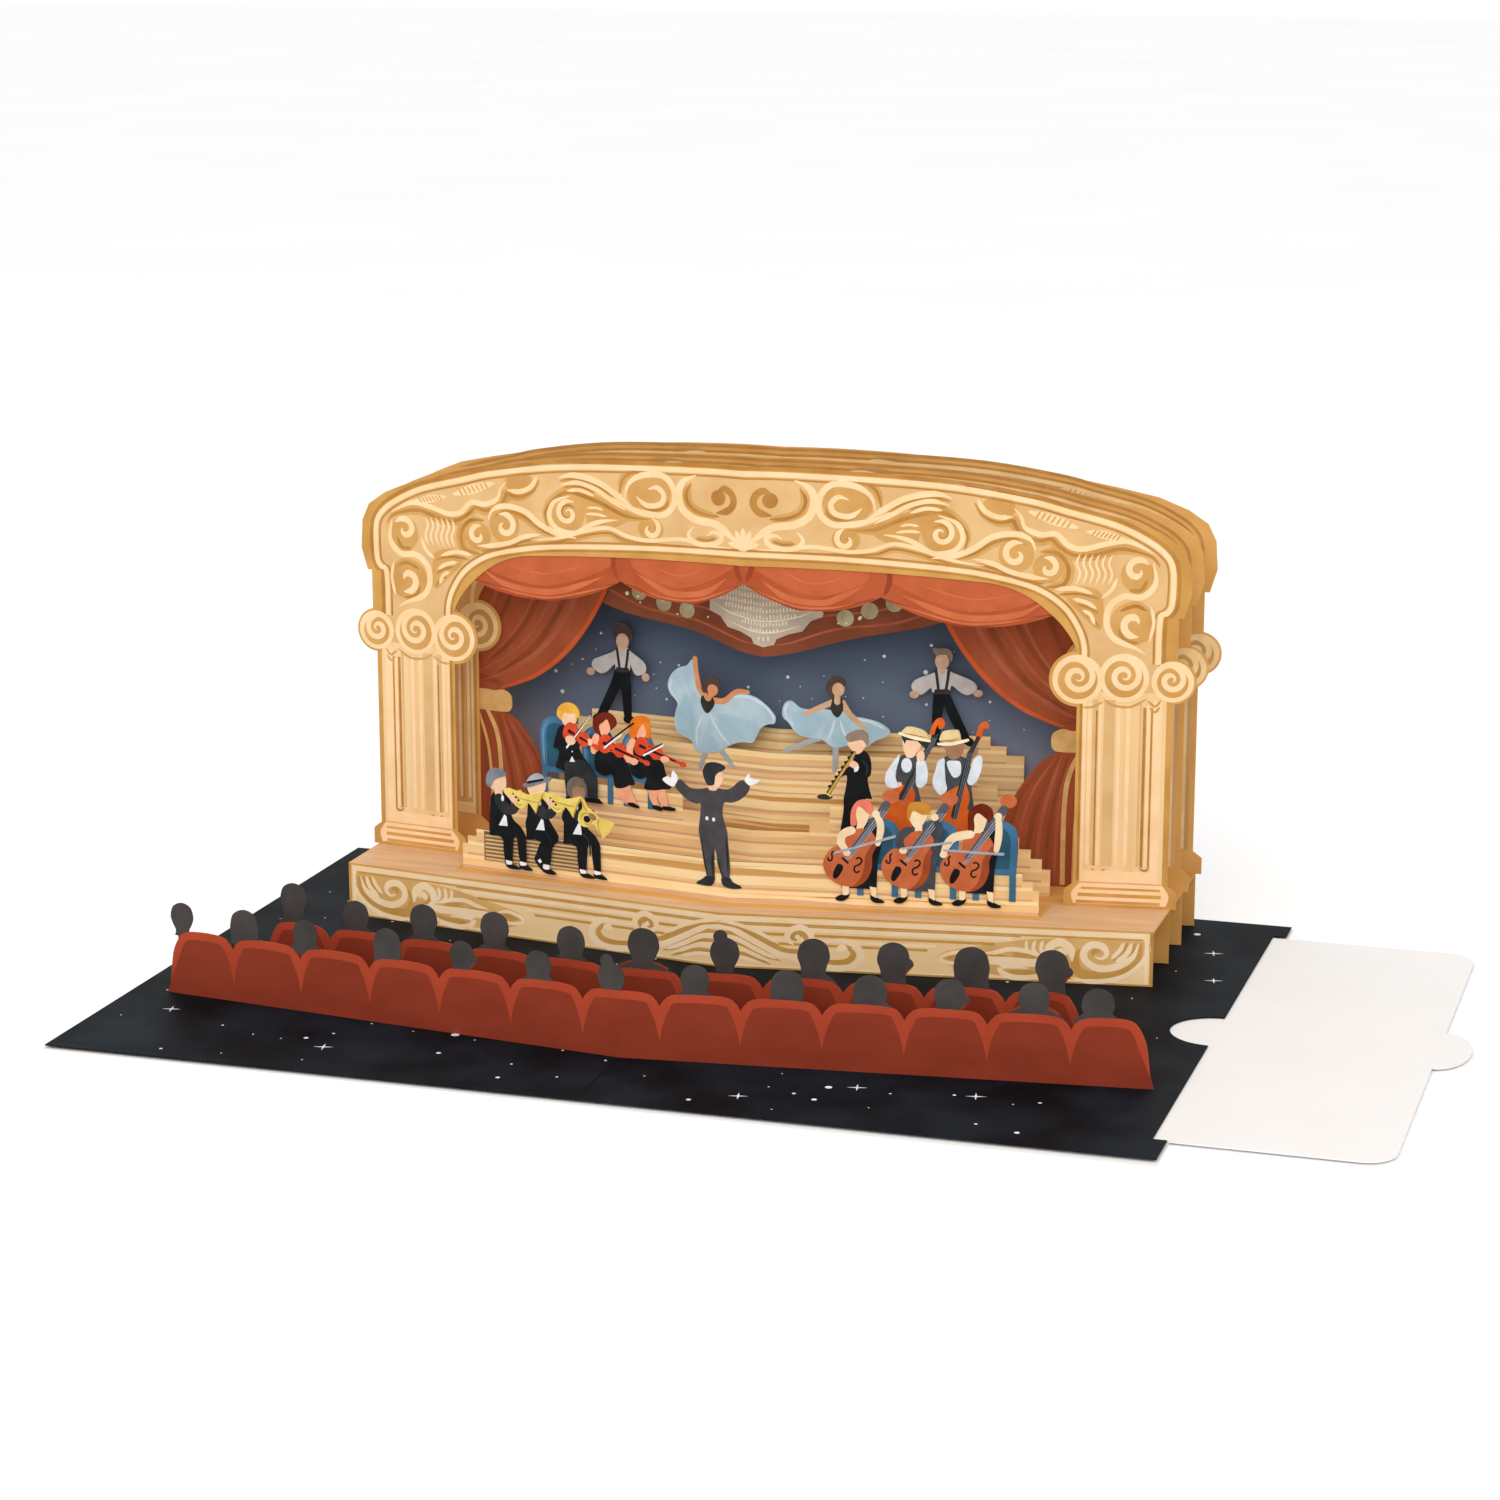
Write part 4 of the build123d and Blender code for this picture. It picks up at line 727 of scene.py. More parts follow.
capital_spirals = strokes((
    (scroll(-101.9, 71.3, 3.6, 60, 1, 1.5, 0.12), 1.35), (scroll(-90.8, 71.9, 4.4, 60, 1, 1.7, 0.1), 1.4),
    (scroll(-79.9, 71.2, 4.5, 60, 1, 1.7, 0.1), 1.4)))
capital_leaf = strokes((
    ([(-99.6, 66.4), (-98.2, 64.8), (-96.4, 66.2)], 0.6), ([(-99.4, 64.8), (-98.2, 63.4), (-96.8, 64.6)], 0.6),
    ([(-96.2, 66.6), (-92.4, 64.5), (-88.2, 64.8), (-86, 66.4)], 0.6),
    ([(-86, 65.6), (-83.6, 64.2), (-81, 64)], 0.6)))

tan_ink = paper("tan_ink", "#dcb47d", "#d4a870", patch=9)
deep_tan_ink = paper("deep_tan_ink", "#cf9f5d", "#c3914f", patch=9)
cream_ink = paper("cream_ink", "#fad2a4", "#f2c895", patch=6)
brown_ink = paper("brown_ink", "#b98440", "#a87436", patch=6)
ARCH_INKS = {
    "arch_front": (
        tan_ink, deep_tan_ink, brown_ink, cream_ink, gold_paper,
        paper("column_ink", "#ecc995", "#e5bd85", patch=5, stretch=(1.6, 1, 0.1))),
    "arch_middle": (
        paper("shaded_tan_ink", "#d9ab6b", "#cc9d5d", patch=9),
        paper("shaded_deep_ink", "#c89c5f", "#bb8f53", patch=9),
        paper("shaded_brown_ink", "#be8d4d", "#b18042", patch=6),
        paper("shaded_cream_ink", "#efd09a", "#e2bf86", patch=6),
        paper("shaded_edge_paper", "#dba760", "#ce9a54", patch=12),
        paper("shaded_column_ink", "#d0a56f", "#c39762", patch=5, stretch=(1.6, 1, 0.1)))}
ARCH_INKS["arch_back"] = ARCH_INKS["arch_middle"]

for arch, fold in ARCH_FOLDS.items():
    tan, deep, brown, cream, edge, column = ARCH_INKS[arch]
    dress(arch, edge)
    field, lines, dark_lines, bars = arch_field, arch_lines + base_cream, arch_dark_lines, base_bars
    if arch != "arch_front":
        bars = []
        field = open_path(beside(ARCH_EDGE, 1.7)) + arch_field[len(open_path(ARCH_EDGE)):]
        lines = stroke(beside(ARCH_EDGE, 1.5), 0.9, 6, (1, 1)) + stroke(OPEN_EDGE, 1.1, 6, (1, 1))
        dark_lines = [ring for inset, wide in ((2.4, 0.5), (0.6, 0.5), (-0.8, 0.7))
                      for ring in stroke(beside(ARCH_EDGE, inset), wide, 6, (1, 1))]
    standing_print(
        arch + "_print", fold, SHEET,
        [(tan, mirrored([field])), (column, mirrored([bar(-100.9, -80.9, 20.8, 68)])),
         (tan, mirrored(flutes_soft)), (deep, mirrored(disc_shades + soft_shades)),
         (brown, mirrored(dark_lines + scroll_shades + flutes_dark)),
         (cream, mirrored(lines + scroll_lights + flutes_light + capital_discs) + shell),
         (deep, mirrored(bars + capital_hollows + capital_leaf + hatches)),
         (cream, mirrored(capital_spirals))])

# Painted sky. The back sheet carries a night sky inside its printed arch, lighter and a
# little pink near the horizon, with small stars.


def printed_sky():
    """Cloudy evening sky: dark blue at the top, paler and a little pink near the horizon."""
    mat = bpy.data.materials.new("painted_sky")
    mat.use_nodes = True
    nodes = mat.node_tree.nodes
    surface = nodes["Principled BSDF"]
    dial(surface, "Roughness", 0.66)
    dial(surface, "Specular IOR Level", 0.2)
    place = nodes.new("ShaderNodeTexCoord")
    axes = nodes.new("ShaderNodeSeparateXYZ")
    wire(place, "Object", axes, "Vector")
    cloud = nodes.new("ShaderNodeTexNoise")
    dial(cloud, "Scale", 45.0)
    dial(cloud, "Detail", 4.0)
    wire(place, "Object", cloud, "Vector")
    drift = nodes.new("ShaderNodeMath")
    drift.operation = "MULTIPLY_ADD"
    dial(drift, 1, 0.018)
    wire(cloud, "Fac", drift, 0)
    wire(axes, "Z", drift, 2)
    height = nodes.new("ShaderNodeMapRange")
    dial(height, "From Min", 0.042)
    dial(height, "From Max", 0.100)
    wire(drift, "Value", height, "Value")
    blend = nodes.new("ShaderNodeValToRGB")
    blend.color_ramp.elements[0].color = ink("#9e9ba6")
    blend.color_ramp.elements[1].color = ink("#383c44")
    for step, code in ((0.3, "#6b778b"), (0.62, "#4b586b")):
        blend.color_ramp.elements.new(step).color = ink(code)
    wire(height, "Result", blend, "Fac")
    wire(blend, "Color", surface, "Base Color")
    return mat


SKY_LEVEL = 8  # over the eight inks of the arch print
sky_half = [(-79.6, 16), (-79.6, 74)] + open_path([(-79.6, 75.5), (-77, 81.6), (-72.2, 86.4), (-66.2, 90.9),
                                                   (-58.4, 93.1), (-30, 94.9), (0, 95.4)], 4) + [(0, 16)]
sky_stars = scattered_dots(
    "painted_sky_stars", bar(-66, 66, 46, 86), Density=26000.0, Spacing=0.0034,
    Smallest=0.00016, Largest=0.0006, Thickness=0.0002, Seed=4, Ink=star_ink)
for vert in sky_stars.vertices:
    x, z, depth = vert.co
    vert.co = (x, (ARCH_FOLDS["arch_back"] - 0.05) * MM + STAGE_SLOPE * abs(x) + depth, z)
standing_print(
    "painted_sky_print", ARCH_FOLDS["arch_back"], SHEET, [(printed_sky(), mirrored([sky_half]))],
    level=SKY_LEVEL)
add_piece("painted_sky_stars", sky_stars)

# Stairs. Four stepped sheets stand one behind the other, each folded at the middle and glued
# to the floor by tabs. Their faces carry long printed brush marks, a painted highlight along the
# top of each step and a painted shadow along its foot.

# place of the fold, then half width and height of every step
STAIRS = {
    "stair_front": (23.0, ((70, 25), (72.5, 23), (74, 20.9))),
    "stair_middle": (41.0, ((14, 28.3), (19, 31.3), (58, 35.2), (61.5, 32), (65, 29), (67.9, 26.1),
                            (70.6, 23.8), (72.7, 21.2))),
    "stair_rear": (57.3, ((46, 44), (51, 41), (56, 38), (60, 35))),
    "stair_top": (63.3, ((52.6, 48.8), (56.6, 46.4), (61, 44.1)))}
TREAD = 3.45
board_light_ink = paper("board_light_ink", "#ffe2ab", "#f7d496", patch=5, stretch=(0.12, 1, 1))
stairs_paper = paper("stairs_paper", "#f4cf98", "#e9be82", patch=6, stretch=(0.1, 1, 1))
brush = random.Random(21)


def brush_mark(x0, x1, z, thick):
    """A long flat brush mark that runs thin at both ends."""
    run = x1 - x0
    return [(x0, z), (x0 + 0.35 * run, z - 0.5 * thick), (x0 + 0.7 * run, z - 0.4 * thick), (x1, z),
            (x0 + 0.65 * run, z + 0.45 * thick), (x0 + 0.3 * run, z + 0.5 * thick)]


for stair, (fold, steps) in STAIRS.items():
    dress(stair, stairs_paper)
    marks = {"light": [], "dark": [], "rose": []}
    top = max(height for _, height in steps)
    z = top
    while z > FLOOR + 0.8:
        low = max(z - TREAD, FLOOR + 0.1)
        inner = 0.0
        for outer, height in steps:
            if height >= z - 0.01:
                for x0, x1 in (((inner, outer), (-outer, -inner)) if inner else ((-outer, outer),)):
                    # painted highlight along the top of each step, and painted shadow along its foot
                    marks["light"].append(bar(x0, x1, z - 0.9, z))
                    marks["rose"].append(bar(x0, x1, low, low + 0.6))
                    for _ in range(int((x1 - x0 + 22) / 40)):
                        run = min((x1 - x0) * 0.96, brush.uniform(35, 100))
                        start = brush.uniform(x0, x1 - run)
                        thick = brush.uniform(0.9, 1.7)
                        height_now = brush.uniform(low + 0.6, z - 0.7)
                        kind = brush.choice(("light", "rose", "light", "light", "dark"))
                        marks[kind].append(brush_mark(start, start + run, height_now, thick))
            inner = outer
        z -= TREAD
    standing_print(
        stair + "_print", fold, SHEET,
        [(board_rose_ink, marks["rose"]), (board_dark_ink, marks["dark"]), (board_light_ink, marks["light"])])

# Red hangings. The valance is one sheet of four swags glued behind the front arch; the curtains
# and the rear drape are glued behind the middle arch. Their folds are printed as painted highlights
# and painted shade; rims and tie bands are printed.

FIGURE_SHEET = 0.3
BEHIND_FRONT = ARCH_FOLDS["arch_front"] + SHEET
BEHIND_MIDDLE = ARCH_FOLDS["arch_middle"] + SHEET

valance_paper = paper("valance_paper", "#b35631", "#a64b28", patch=9)
swag_light_ink = paper("swag_light_ink", "#c0613a", "#b65832", patch=7)
swag_highlight_ink = paper("swag_highlight_ink", "#cb6d44", "#c1643c", patch=6)
swag_dark_ink = paper("swag_dark_ink", "#9c4629", "#903d22", patch=6)
dress("valance", valance_paper)
# inner and outer end, their heights, and the lowest point
SWAGS = ((0, 33, 91.5, 89.2, 85.3), (33, 76, 89.2, 87, 82.7))
lights, swag_highlights, darks = [], [], []
for left, right, high_left, high_right, low in SWAGS:
    middle = (left + right) / 2
    lights.append(rounded([
        (-left - 3, high_left + 3.4), (-middle, low + 3.6), (-right + 3.5, high_right + 3.6),
        (-right + 4, 99), (-right + 4, 99), (-left - 3, 99), (-left - 3, 99)]))
    # painted highlights along the lower curve of each swag
    swag_highlights += stroke([(-left - 4.5, high_left + 0.8), (-middle + 6, low + 3.0), (-middle - 2, low + 2.0),
                     (-right + 10, low + 3.4), (-right + 4, high_right + 2.6)], 1.5, thin=(0.05, 0.05))
    swag_highlights += stroke([(-left - 2.2, high_left - 1.2), (-middle + 4, low + 1.0), (-middle - 5, low + 0.9),
                     (-right + 6, high_right - 1.6)], 0.55, thin=(0.05, 0.05))
    swag_highlights += stroke([(-left - 9, high_left + 3.4), (-middle, low + 6.6), (-right + 9, high_right + 4.4)], 0.4)
    # painted shade in the gather at the inner end of each swag; below, a dark line along its hem
    darks += stroke([(-left - 0.6, high_left + 0.2), (-left - 2.0, high_left + 4), (-left - 1.4, 99)], 1.3)
    darks += stroke([(-left - 0.9, high_left - 0.5), (-middle + 5, low + 0.7), (-middle, low + 0.35),
                     (-middle - 5, low + 0.6), (-right + 1.4, high_right - 0.5)], 0.55, thin=(0.6, 0.6))
standing_print(
    "valance_print", BEHIND_FRONT, FIGURE_SHEET,
    [(swag_light_ink, mirrored(lights)), (swag_dark_ink, mirrored(darks)), (swag_highlight_ink, mirrored(swag_highlights))])

curtain_paper = paper("curtain_paper", "#a05030", "#944728", patch=8, stretch=(1.5, 1, 0.6))
fold_highlight_ink = paper("fold_highlight_ink", "#ab5c3f", "#a05236", patch=7)
fold_shade_ink = paper("fold_shade_ink", "#8f462a", "#834024", patch=7)
curtain_edge_ink = paper("curtain_edge_ink", "#c8582c", "#ba4e25", patch=7)
tie_ink = paper("tie_ink", "#e0b674", "#cda264", patch=4)
curtain_edge = stroke([(-39.4, 96), (-42.2, 86), (-47.6, 75.4), (-52.4, 69), (-57.6, 63.6), (-63, 59.6),
                       (-68, 57.2), (-73.4, 55.2)], 1.1, thin=(1, 0.3))
# painted highlights along the folds of the curtains
curtain_highlights = strokes((
    ([(-47, 90), (-54, 76), (-62, 66), (-72, 59.4), (-79, 56.6)], 1.3),
    ([(-52, 92), (-60, 77), (-68, 66.4), (-80, 58.6)], 0.8), ([(-60, 88), (-68, 72), (-79, 60.6)], 0.7),
    ([(-72, 86), (-77, 74), (-82, 64)], 1.0), ([(-73.4, 48.6), (-70, 38), (-68, 28), (-67.4, 15.4)], 1.0),
    ([(-75.6, 48.6), (-73, 38), (-72, 26), (-71.8, 15.4)], 0.8),
    ([(-71.6, 47.2), (-66.2, 38.6), (-63.2, 28), (-62.4, 15.4)], 0.7)))
# painted shade in the folds of the curtains
curtain_shades = strokes((
    ([(-50, 90), (-57, 76), (-65, 65.4), (-76, 57.6)], 1.6),
    ([(-56, 92), (-64, 76), (-72, 66), (-81, 60)], 1.2), ([(-66, 90), (-73, 74), (-81, 63)], 1.4),
    ([(-73, 55.8), (-77, 57.2), (-81, 57.4)], 1.4),
    ([(-72.4, 47.6), (-68.2, 37.6), (-65.6, 27), (-64.8, 15.4)], 1.2),
    ([(-74.8, 48.4), (-71.6, 37), (-70, 26), (-69.6, 15.4)], 0.9),
    ([(-70.6, 47.4), (-63.6, 38), (-60.4, 27), (-59.4, 15.4)], 0.9),
    ([(-79, 48), (-78, 36), (-77.4, 15.4)], 1.6)))
trims = (
    stroke([(-78.6, 50.6), (-75.2, 44), (-73.9, 35), (-73.8, 15.2)], 1.2, thin=(0.5, 1))
    + stroke([(-80.2, 48.6), (-77.6, 40), (-76.6, 30), (-76.4, 15.2)], 0.8, thin=(0.5, 1)))
band = [rounded([(-84, 49), (-84, 49), (-73, 48.8), (-70.8, 49.6), (-70.4, 51.4), (-70.8, 53.4), (-73, 54.6),
                 (-75.4, 54.2), (-78, 54.4), (-84, 54.2), (-84, 54.2)])]
curtain_inks = [(fold_shade_ink, curtain_shades), (fold_highlight_ink, curtain_highlights),
                (curtain_edge_ink, curtain_edge), (tie_ink, trims + band)]
flipped_inks = [(material, flipped(shapes)) for material, shapes in curtain_inks]
for side_name, layers in (("left", curtain_inks), ("right", flipped_inks)):
    dress("curtain_" + side_name, curtain_paper)
    standing_print(f"curtain_{side_name}_print", BEHIND_MIDDLE, FIGURE_SHEET, layers)

drape_paper = paper("drape_paper", "#874a30", "#783f27", patch=9)
lamp_ink = paper("lamp_ink", "#b9b08c", "#a0966f")
crystal_ink = paper("crystal_ink", "#c6b7a2", "#b7a894", patch=5)
crystal_light_ink = paper("crystal_light_ink", "#efe4c8", "#e2d6b8")
dress("chandelier_drape", drape_paper)
dress("chandelier", crystal_ink)
# painted highlight lines along the folds of the drape
drape_fold_highlights = stroke([(-50, 87), (-34, 80), (-18, 77.6), (-6, 73.6), (0, 73)], 0.6) + stroke(
    [(-46, 90), (-30, 83), (-14, 80.6), (0, 76.6)], 0.6)
lamps = [dot_shape(x, z, 2.1, 20) for x, z in (
    (-20.8, 80), (-27.2, 81.2), (-34, 83.4), (20, 80.4), (25.9, 82.4), (31.9, 84.4))]
SPARKS = 60
sparks = [dot_shape(scatter.uniform(-44, 44), scatter.uniform(74, 90), scatter.choice((0.25, 0.4, 0.55)), 8)
          for _ in range(SPARKS)]
lamp_sparks = [spark for spark in sparks
               if spark[0][1] > 74 + 0.2 * abs(spark[0][0]) and abs(spark[0][0]) > 13]
standing_print(
    "chandelier_drape_print", BEHIND_MIDDLE + FIGURE_SHEET, FIGURE_SHEET,
    [(fold_highlight_ink, mirrored(drape_fold_highlights)), (lamp_ink, lamps), (crystal_light_ink, lamp_sparks)])
crystals = []
for row in range(9):
    z = 74.0 + row * 1.75
    reach = min(13.8, 1.2 + row * 2.2)
    count = max(1, int(reach / 0.8))
    for place in range(-count, count + 1):
        x = place * reach / count
        low = z + 0.12 * abs(place) * (1 - row / 12)
        crystals.append(bar(x - 0.17, x + 0.17, low, low + scatter.uniform(0.7, 1.3)))
crystals += strokes((
    ([(-13.6, 82.6), (-8, 80.2), (0, 79), (8, 80.2), (13.6, 82.6)], 0.35),
    ([(-9, 78.2), (-4, 76.6), (0, 76.2), (4, 76.6), (9, 78.2)], 0.35)))
standing_print(
    "chandelier_crystals", BEHIND_MIDDLE, FIGURE_SHEET,
    [(crystal_light_ink, crystals)])

# Bench and chairs. The brass players' bench is a brown strip printed with slats. The other
# chairs are blue, round-backed, and cut in rows from one card.

STAIR_FRONT = STAIRS["stair_front"][0]
STAIR_MIDDLE = STAIRS["stair_middle"][0]
bench_paper = paper("bench_paper", "#8f6a45", "#7d5a39", patch=6)
slat_ink = paper("slat_ink", "#d8b98a", "#c8a878", patch=5, stretch=(0.2, 1, 1))
dress("slatted_bench", bench_paper)
slats = [bar(-67.4, -41.2, 17.5 + row * 0.98, 18.0 + row * 0.98) for row in range(7)]
standing_print(
    "slatted_bench_print", STAIR_FRONT - FIGURE_SHEET, FIGURE_SHEET, [(slat_ink, slats)])

chair_paper = paper("chair_paper", "#48789b", "#3b6886", patch=8)
chair_shade_ink = paper("chair_shade_ink", "#305c74", "#294f64", patch=8)
chair_highlight_ink = paper("chair_highlight_ink", "#6f9ab4", "#5f8ca8", patch=6)


def both_sides(x, points):
    """Smooth outline from (distance, height) points up one side of x and down the other."""
    return rounded(
        [(x - across, z) for across, z in points] + [(x + across, z) for across, z in reversed(points)])


def chair_shapes(x, z, wide, back):
    """Front view of a chair: round back, two legs, painted shade inside the back, painted highlight on its left
    rim.
    """
    half, top = wide / 2, z + back
    body = [both_sides(x, [(half, z - 0.5)] * 2 + [(half + 0.3, top - 4), (half * 0.55, top - 0.6)]),
            bar(x - half, x - half + 1.5, z - 7, z + 0.4), bar(x + half - 1.5, x + half, z - 7, z + 0.4)]
    # painted shade inside the back, and a painted highlight down its left rim
    inner = [both_sides(x, [(half - 1.6, z + 1)] * 2 + [(half - 1.4, top - 5), (half * 0.4, top - 2.2)])]
    rim = stroke([(x - half + 0.7, z + 1.5), (x - half + 0.5, top - 4.5), (x - half * 0.5, top - 1.4)], 0.5)
    return body, inner, rim


CHAIR_ROWS = (
    ("violin_chairs", STAIR_MIDDLE, (-58, -27.4, 37.6, 40),
     ((-54.2, 37.5, 8.2, 14.2), (-42.4, 37.5, 8.2, 12.8), (-31.2, 37.5, 8.2, 12.8))),
    ("cello_chairs", STAIR_FRONT, (30.6, 66.4, 25.2, 27.6),
     ((35.6, 25, 9.8, 12.6), (49.5, 25, 9.8, 12.6), (63.4, 25, 10.2, 13.2))))
for row, fold, rail, seats in CHAIR_ROWS:
    bodies, inners, rims = [bar(*rail)], [], []
    for x, z, wide, back in seats:
        body, inner, rim = chair_shapes(x, z, wide, back)
        bodies += body
        inners += inner
        rims += rim
    chairs = standing_print(
        row + "_cut_out", fold - FIGURE_SHEET, FIGURE_SHEET,
        [(chair_paper, bodies), (chair_shade_ink, inners), (chair_highlight_ink, rims)])
    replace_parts(chairs, row)

# Musicians. Each one is a small cut-out of thin card with a printed, faceless figure, glued to
# the front of the steps. The brass players sit on the bench in suits, one behind the other.

skin_ink = paper("skin_ink", "#f8d0ae", "#f2c39d")
warm_skin_ink = paper("warm_skin_ink", "#f9b894", "#f3a880")
brown_skin_ink = paper("brown_skin_ink", "#a87d60", "#9a7054")
black_ink = paper("black_ink", "#1b1d20", "#121417", patch=4)
charcoal_ink = paper("charcoal_ink", "#34373a", "#2a2c2f", patch=4)
white_ink = paper("white_ink", "#fbfafa", "#ecebee")
brass_ink = paper("brass_ink", "#f6dc78", "#ebcb60")
brass_dark_ink = paper("brass_dark_ink", "#cfa94a", "#bd973e")
grey_ink = paper("grey_ink", "#8a8c92", "#77797f")


def limb(points, widths, steps=4):
    """Outline of an arm or a leg along a smooth line, with a width at each point."""
    line = open_path(points, steps)
    left, right = [], []
    for place, (x, z) in enumerate(line):
        side = sideways(line, place)
        at = min(place / steps, len(widths) - 1.001)
        half = (widths[int(at)] * (1 - at % 1) + widths[int(at) + 1] * (at % 1)) / 2
        left.append((x + side[0] * half, z + side[1] * half))
        right.append((x - side[0] * half, z - side[1] * half))
    caps = []
    for (x, z), (nx, nz), half in ((line[-1], line[-2], widths[-1] / 2), (line[0], line[1], widths[0] / 2)):
        turn = math.atan2(z - nz, x - nx)
        caps.append([(x + half * math.cos(turn + bend), z + half * math.sin(turn + bend))
                     for bend in (0.9, 0.3, -0.3, -0.9)])
    return left + caps[0] + right[::-1] + caps[1]


def moved(shapes, x):
    """The same outlines, shifted sideways."""
    return [[(px + x, z) for px, z in points] for points in shapes]


def figure(name, front, layers):
    """A painted cut-out that takes the place of its plain one."""
    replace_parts(standing_print(name + "_figure", front, FIGURE_SHEET, layers), name)


def seated_suit(x):
    """Trousers, coat and sleeve of a player on the bench, and the white and black parts."""
    trousers = moved([
        rounded([(-5.6, 30.2), (-5.6, 30.2), (-5.7, 24.2), (-5.7, 24.2), (-4.2, 24.6), (-2.1, 23.6),
                 (-1.9, 20.8), (-1.5, 17.9), (-1.5, 17.9), (0.5, 17.9), (0.5, 17.9), (0.7, 22), (1.1, 24.8),
                 (1.9, 24.6), (2.2, 21.6), (2.7, 18.1), (2.7, 18.1), (4.5, 18.3), (4.5, 18.3), (4.4, 22.6),
                 (4.2, 25.2), (3, 27.2), (1, 28.8), (0.3, 30.4), (0.3, 30.4)], 3)], x)
    coat = moved([
        rounded([(-4, 35.6), (-5.1, 34.3), (-5.5, 30), (-5.8, 24.3), (-5.8, 24.3), (-3.6, 24.6), (-3.3, 27),
                 (-2.6, 28.8), (-1.2, 30), (-0.3, 28.4), (0.6, 28.6), (0.2, 31), (0.4, 33.6), (-0.3, 35.6),
                 (-1.9, 35.9)], 3)], x)
    sleeve = moved([limb([(-2.9, 33.8), (-1.2, 31.6), (1, 31.5), (2.3, 33)], [2.9, 2.8, 2.4, 1.4])], x)
    linen = moved([
        [(-1.5, 30), (-3.1, 27), (-0.6, 27.1), (-0.9, 29.6)], oval(-1.9, 34.1, 0.42, 0.8, 10),
        [(-1.2, 17.2), (0.4, 17), (0.45, 18.1), (-1.3, 18.3)],
        [(2.8, 17.4), (4.4, 17.2), (4.5, 18.2), (2.7, 18.4)]], x)
    shoes = moved([
        rounded([(-1.6, 18.2), (-1.3, 17), (-0.2, 16.2), (2.6, 16.2), (2.5, 16.6), (0.9, 17.3),
                 (-0.9, 17.2)], 3),
        rounded([(2.5, 17.5), (2.8, 16.6), (4, 16.3), (6.1, 16.3), (5.8, 16.8), (4.5, 17.5),
                 (3.3, 17.3)], 3)], x)
    return trousers, coat, sleeve, linen, shoes


def trumpet(x):
    """A trumpet held out to the right, its shaded edges, and the hand on it."""
    body = moved([
        rounded([(-1.7, 36.1), (-0.4, 36.9), (2, 36.4), (3, 36.7), (3.8, 36.1), (5.4, 35.8), (7.2, 36.2),
                 (9.7, 37), (9.7, 37), (9.1, 35.2), (7.9, 33.6), (7.4, 31.2), (7.4, 31.2), (6.5, 32.5),
                 (5.3, 33.7), (4.3, 32.6), (3.1, 32), (1.7, 32.7), (0.4, 34), (-0.6, 34.8)], 3)], x)
    shade = moved(stroke([(0.2, 35.2), (3.4, 34.6), (6.4, 34.2), (8.2, 34.2)], 0.3)
                  + stroke([(1.6, 33.6), (2.8, 32.9), (3.9, 33.2)], 0.3)
                  + stroke([(7.4, 31.4), (8.1, 33.6), (9.4, 36.4)], 0.35, thin=(1, 1)), x)
    hand = moved([rounded([(-0.3, 34.9), (0.8, 35.3), (2.1, 34.6), (1.9, 33.5), (0.8, 33.4)], 3)], x)
    keys = moved([
        dot_shape(1.9, 34.8, 0.32, 8), dot_shape(2.6, 34.1, 0.32, 8), dot_shape(1.1, 35.6, 0.25, 8)], x)
    return body, shade, hand, keys


trousers, coat, sleeve, linen, shoes = seated_suit(-60)
body, shade, hand, keys = trumpet(-60)
figure("trumpeter_one", STAIR_FRONT - 4 * FIGURE_SHEET, [
    (black_ink, trousers + coat),
    (skin_ink, [
        rounded([(-64.9, 38.4), (-62.8, 39.4), (-61.2, 40), (-60.9, 37.4), (-61.6, 35.8), (-62.2, 34.8),
                 (-63.9, 34.8), (-64.3, 36), (-65.4, 36.6)], 4)]),
    (charcoal_ink, sleeve), (white_ink, linen),
    (black_ink, shoes + [rounded([(-61.9, 36.2), (-60.4, 36.3), (-60.3, 34.9), (-61.5, 34.5)], 3)]),
    (brass_ink, body), (brass_dark_ink, shade), (skin_ink, hand), (black_ink, keys),
    (grey_ink, [
        rounded([(-66.5, 38.4), (-66.1, 40.2), (-64.8, 41.4), (-63.2, 41.6), (-61.6, 41.1), (-60.7, 40.2),
                 (-61.6, 39.7), (-62.9, 39.2), (-64.2, 38.4), (-64.7, 37.4), (-65.4, 36.5), (-66.3, 37)], 4)])])

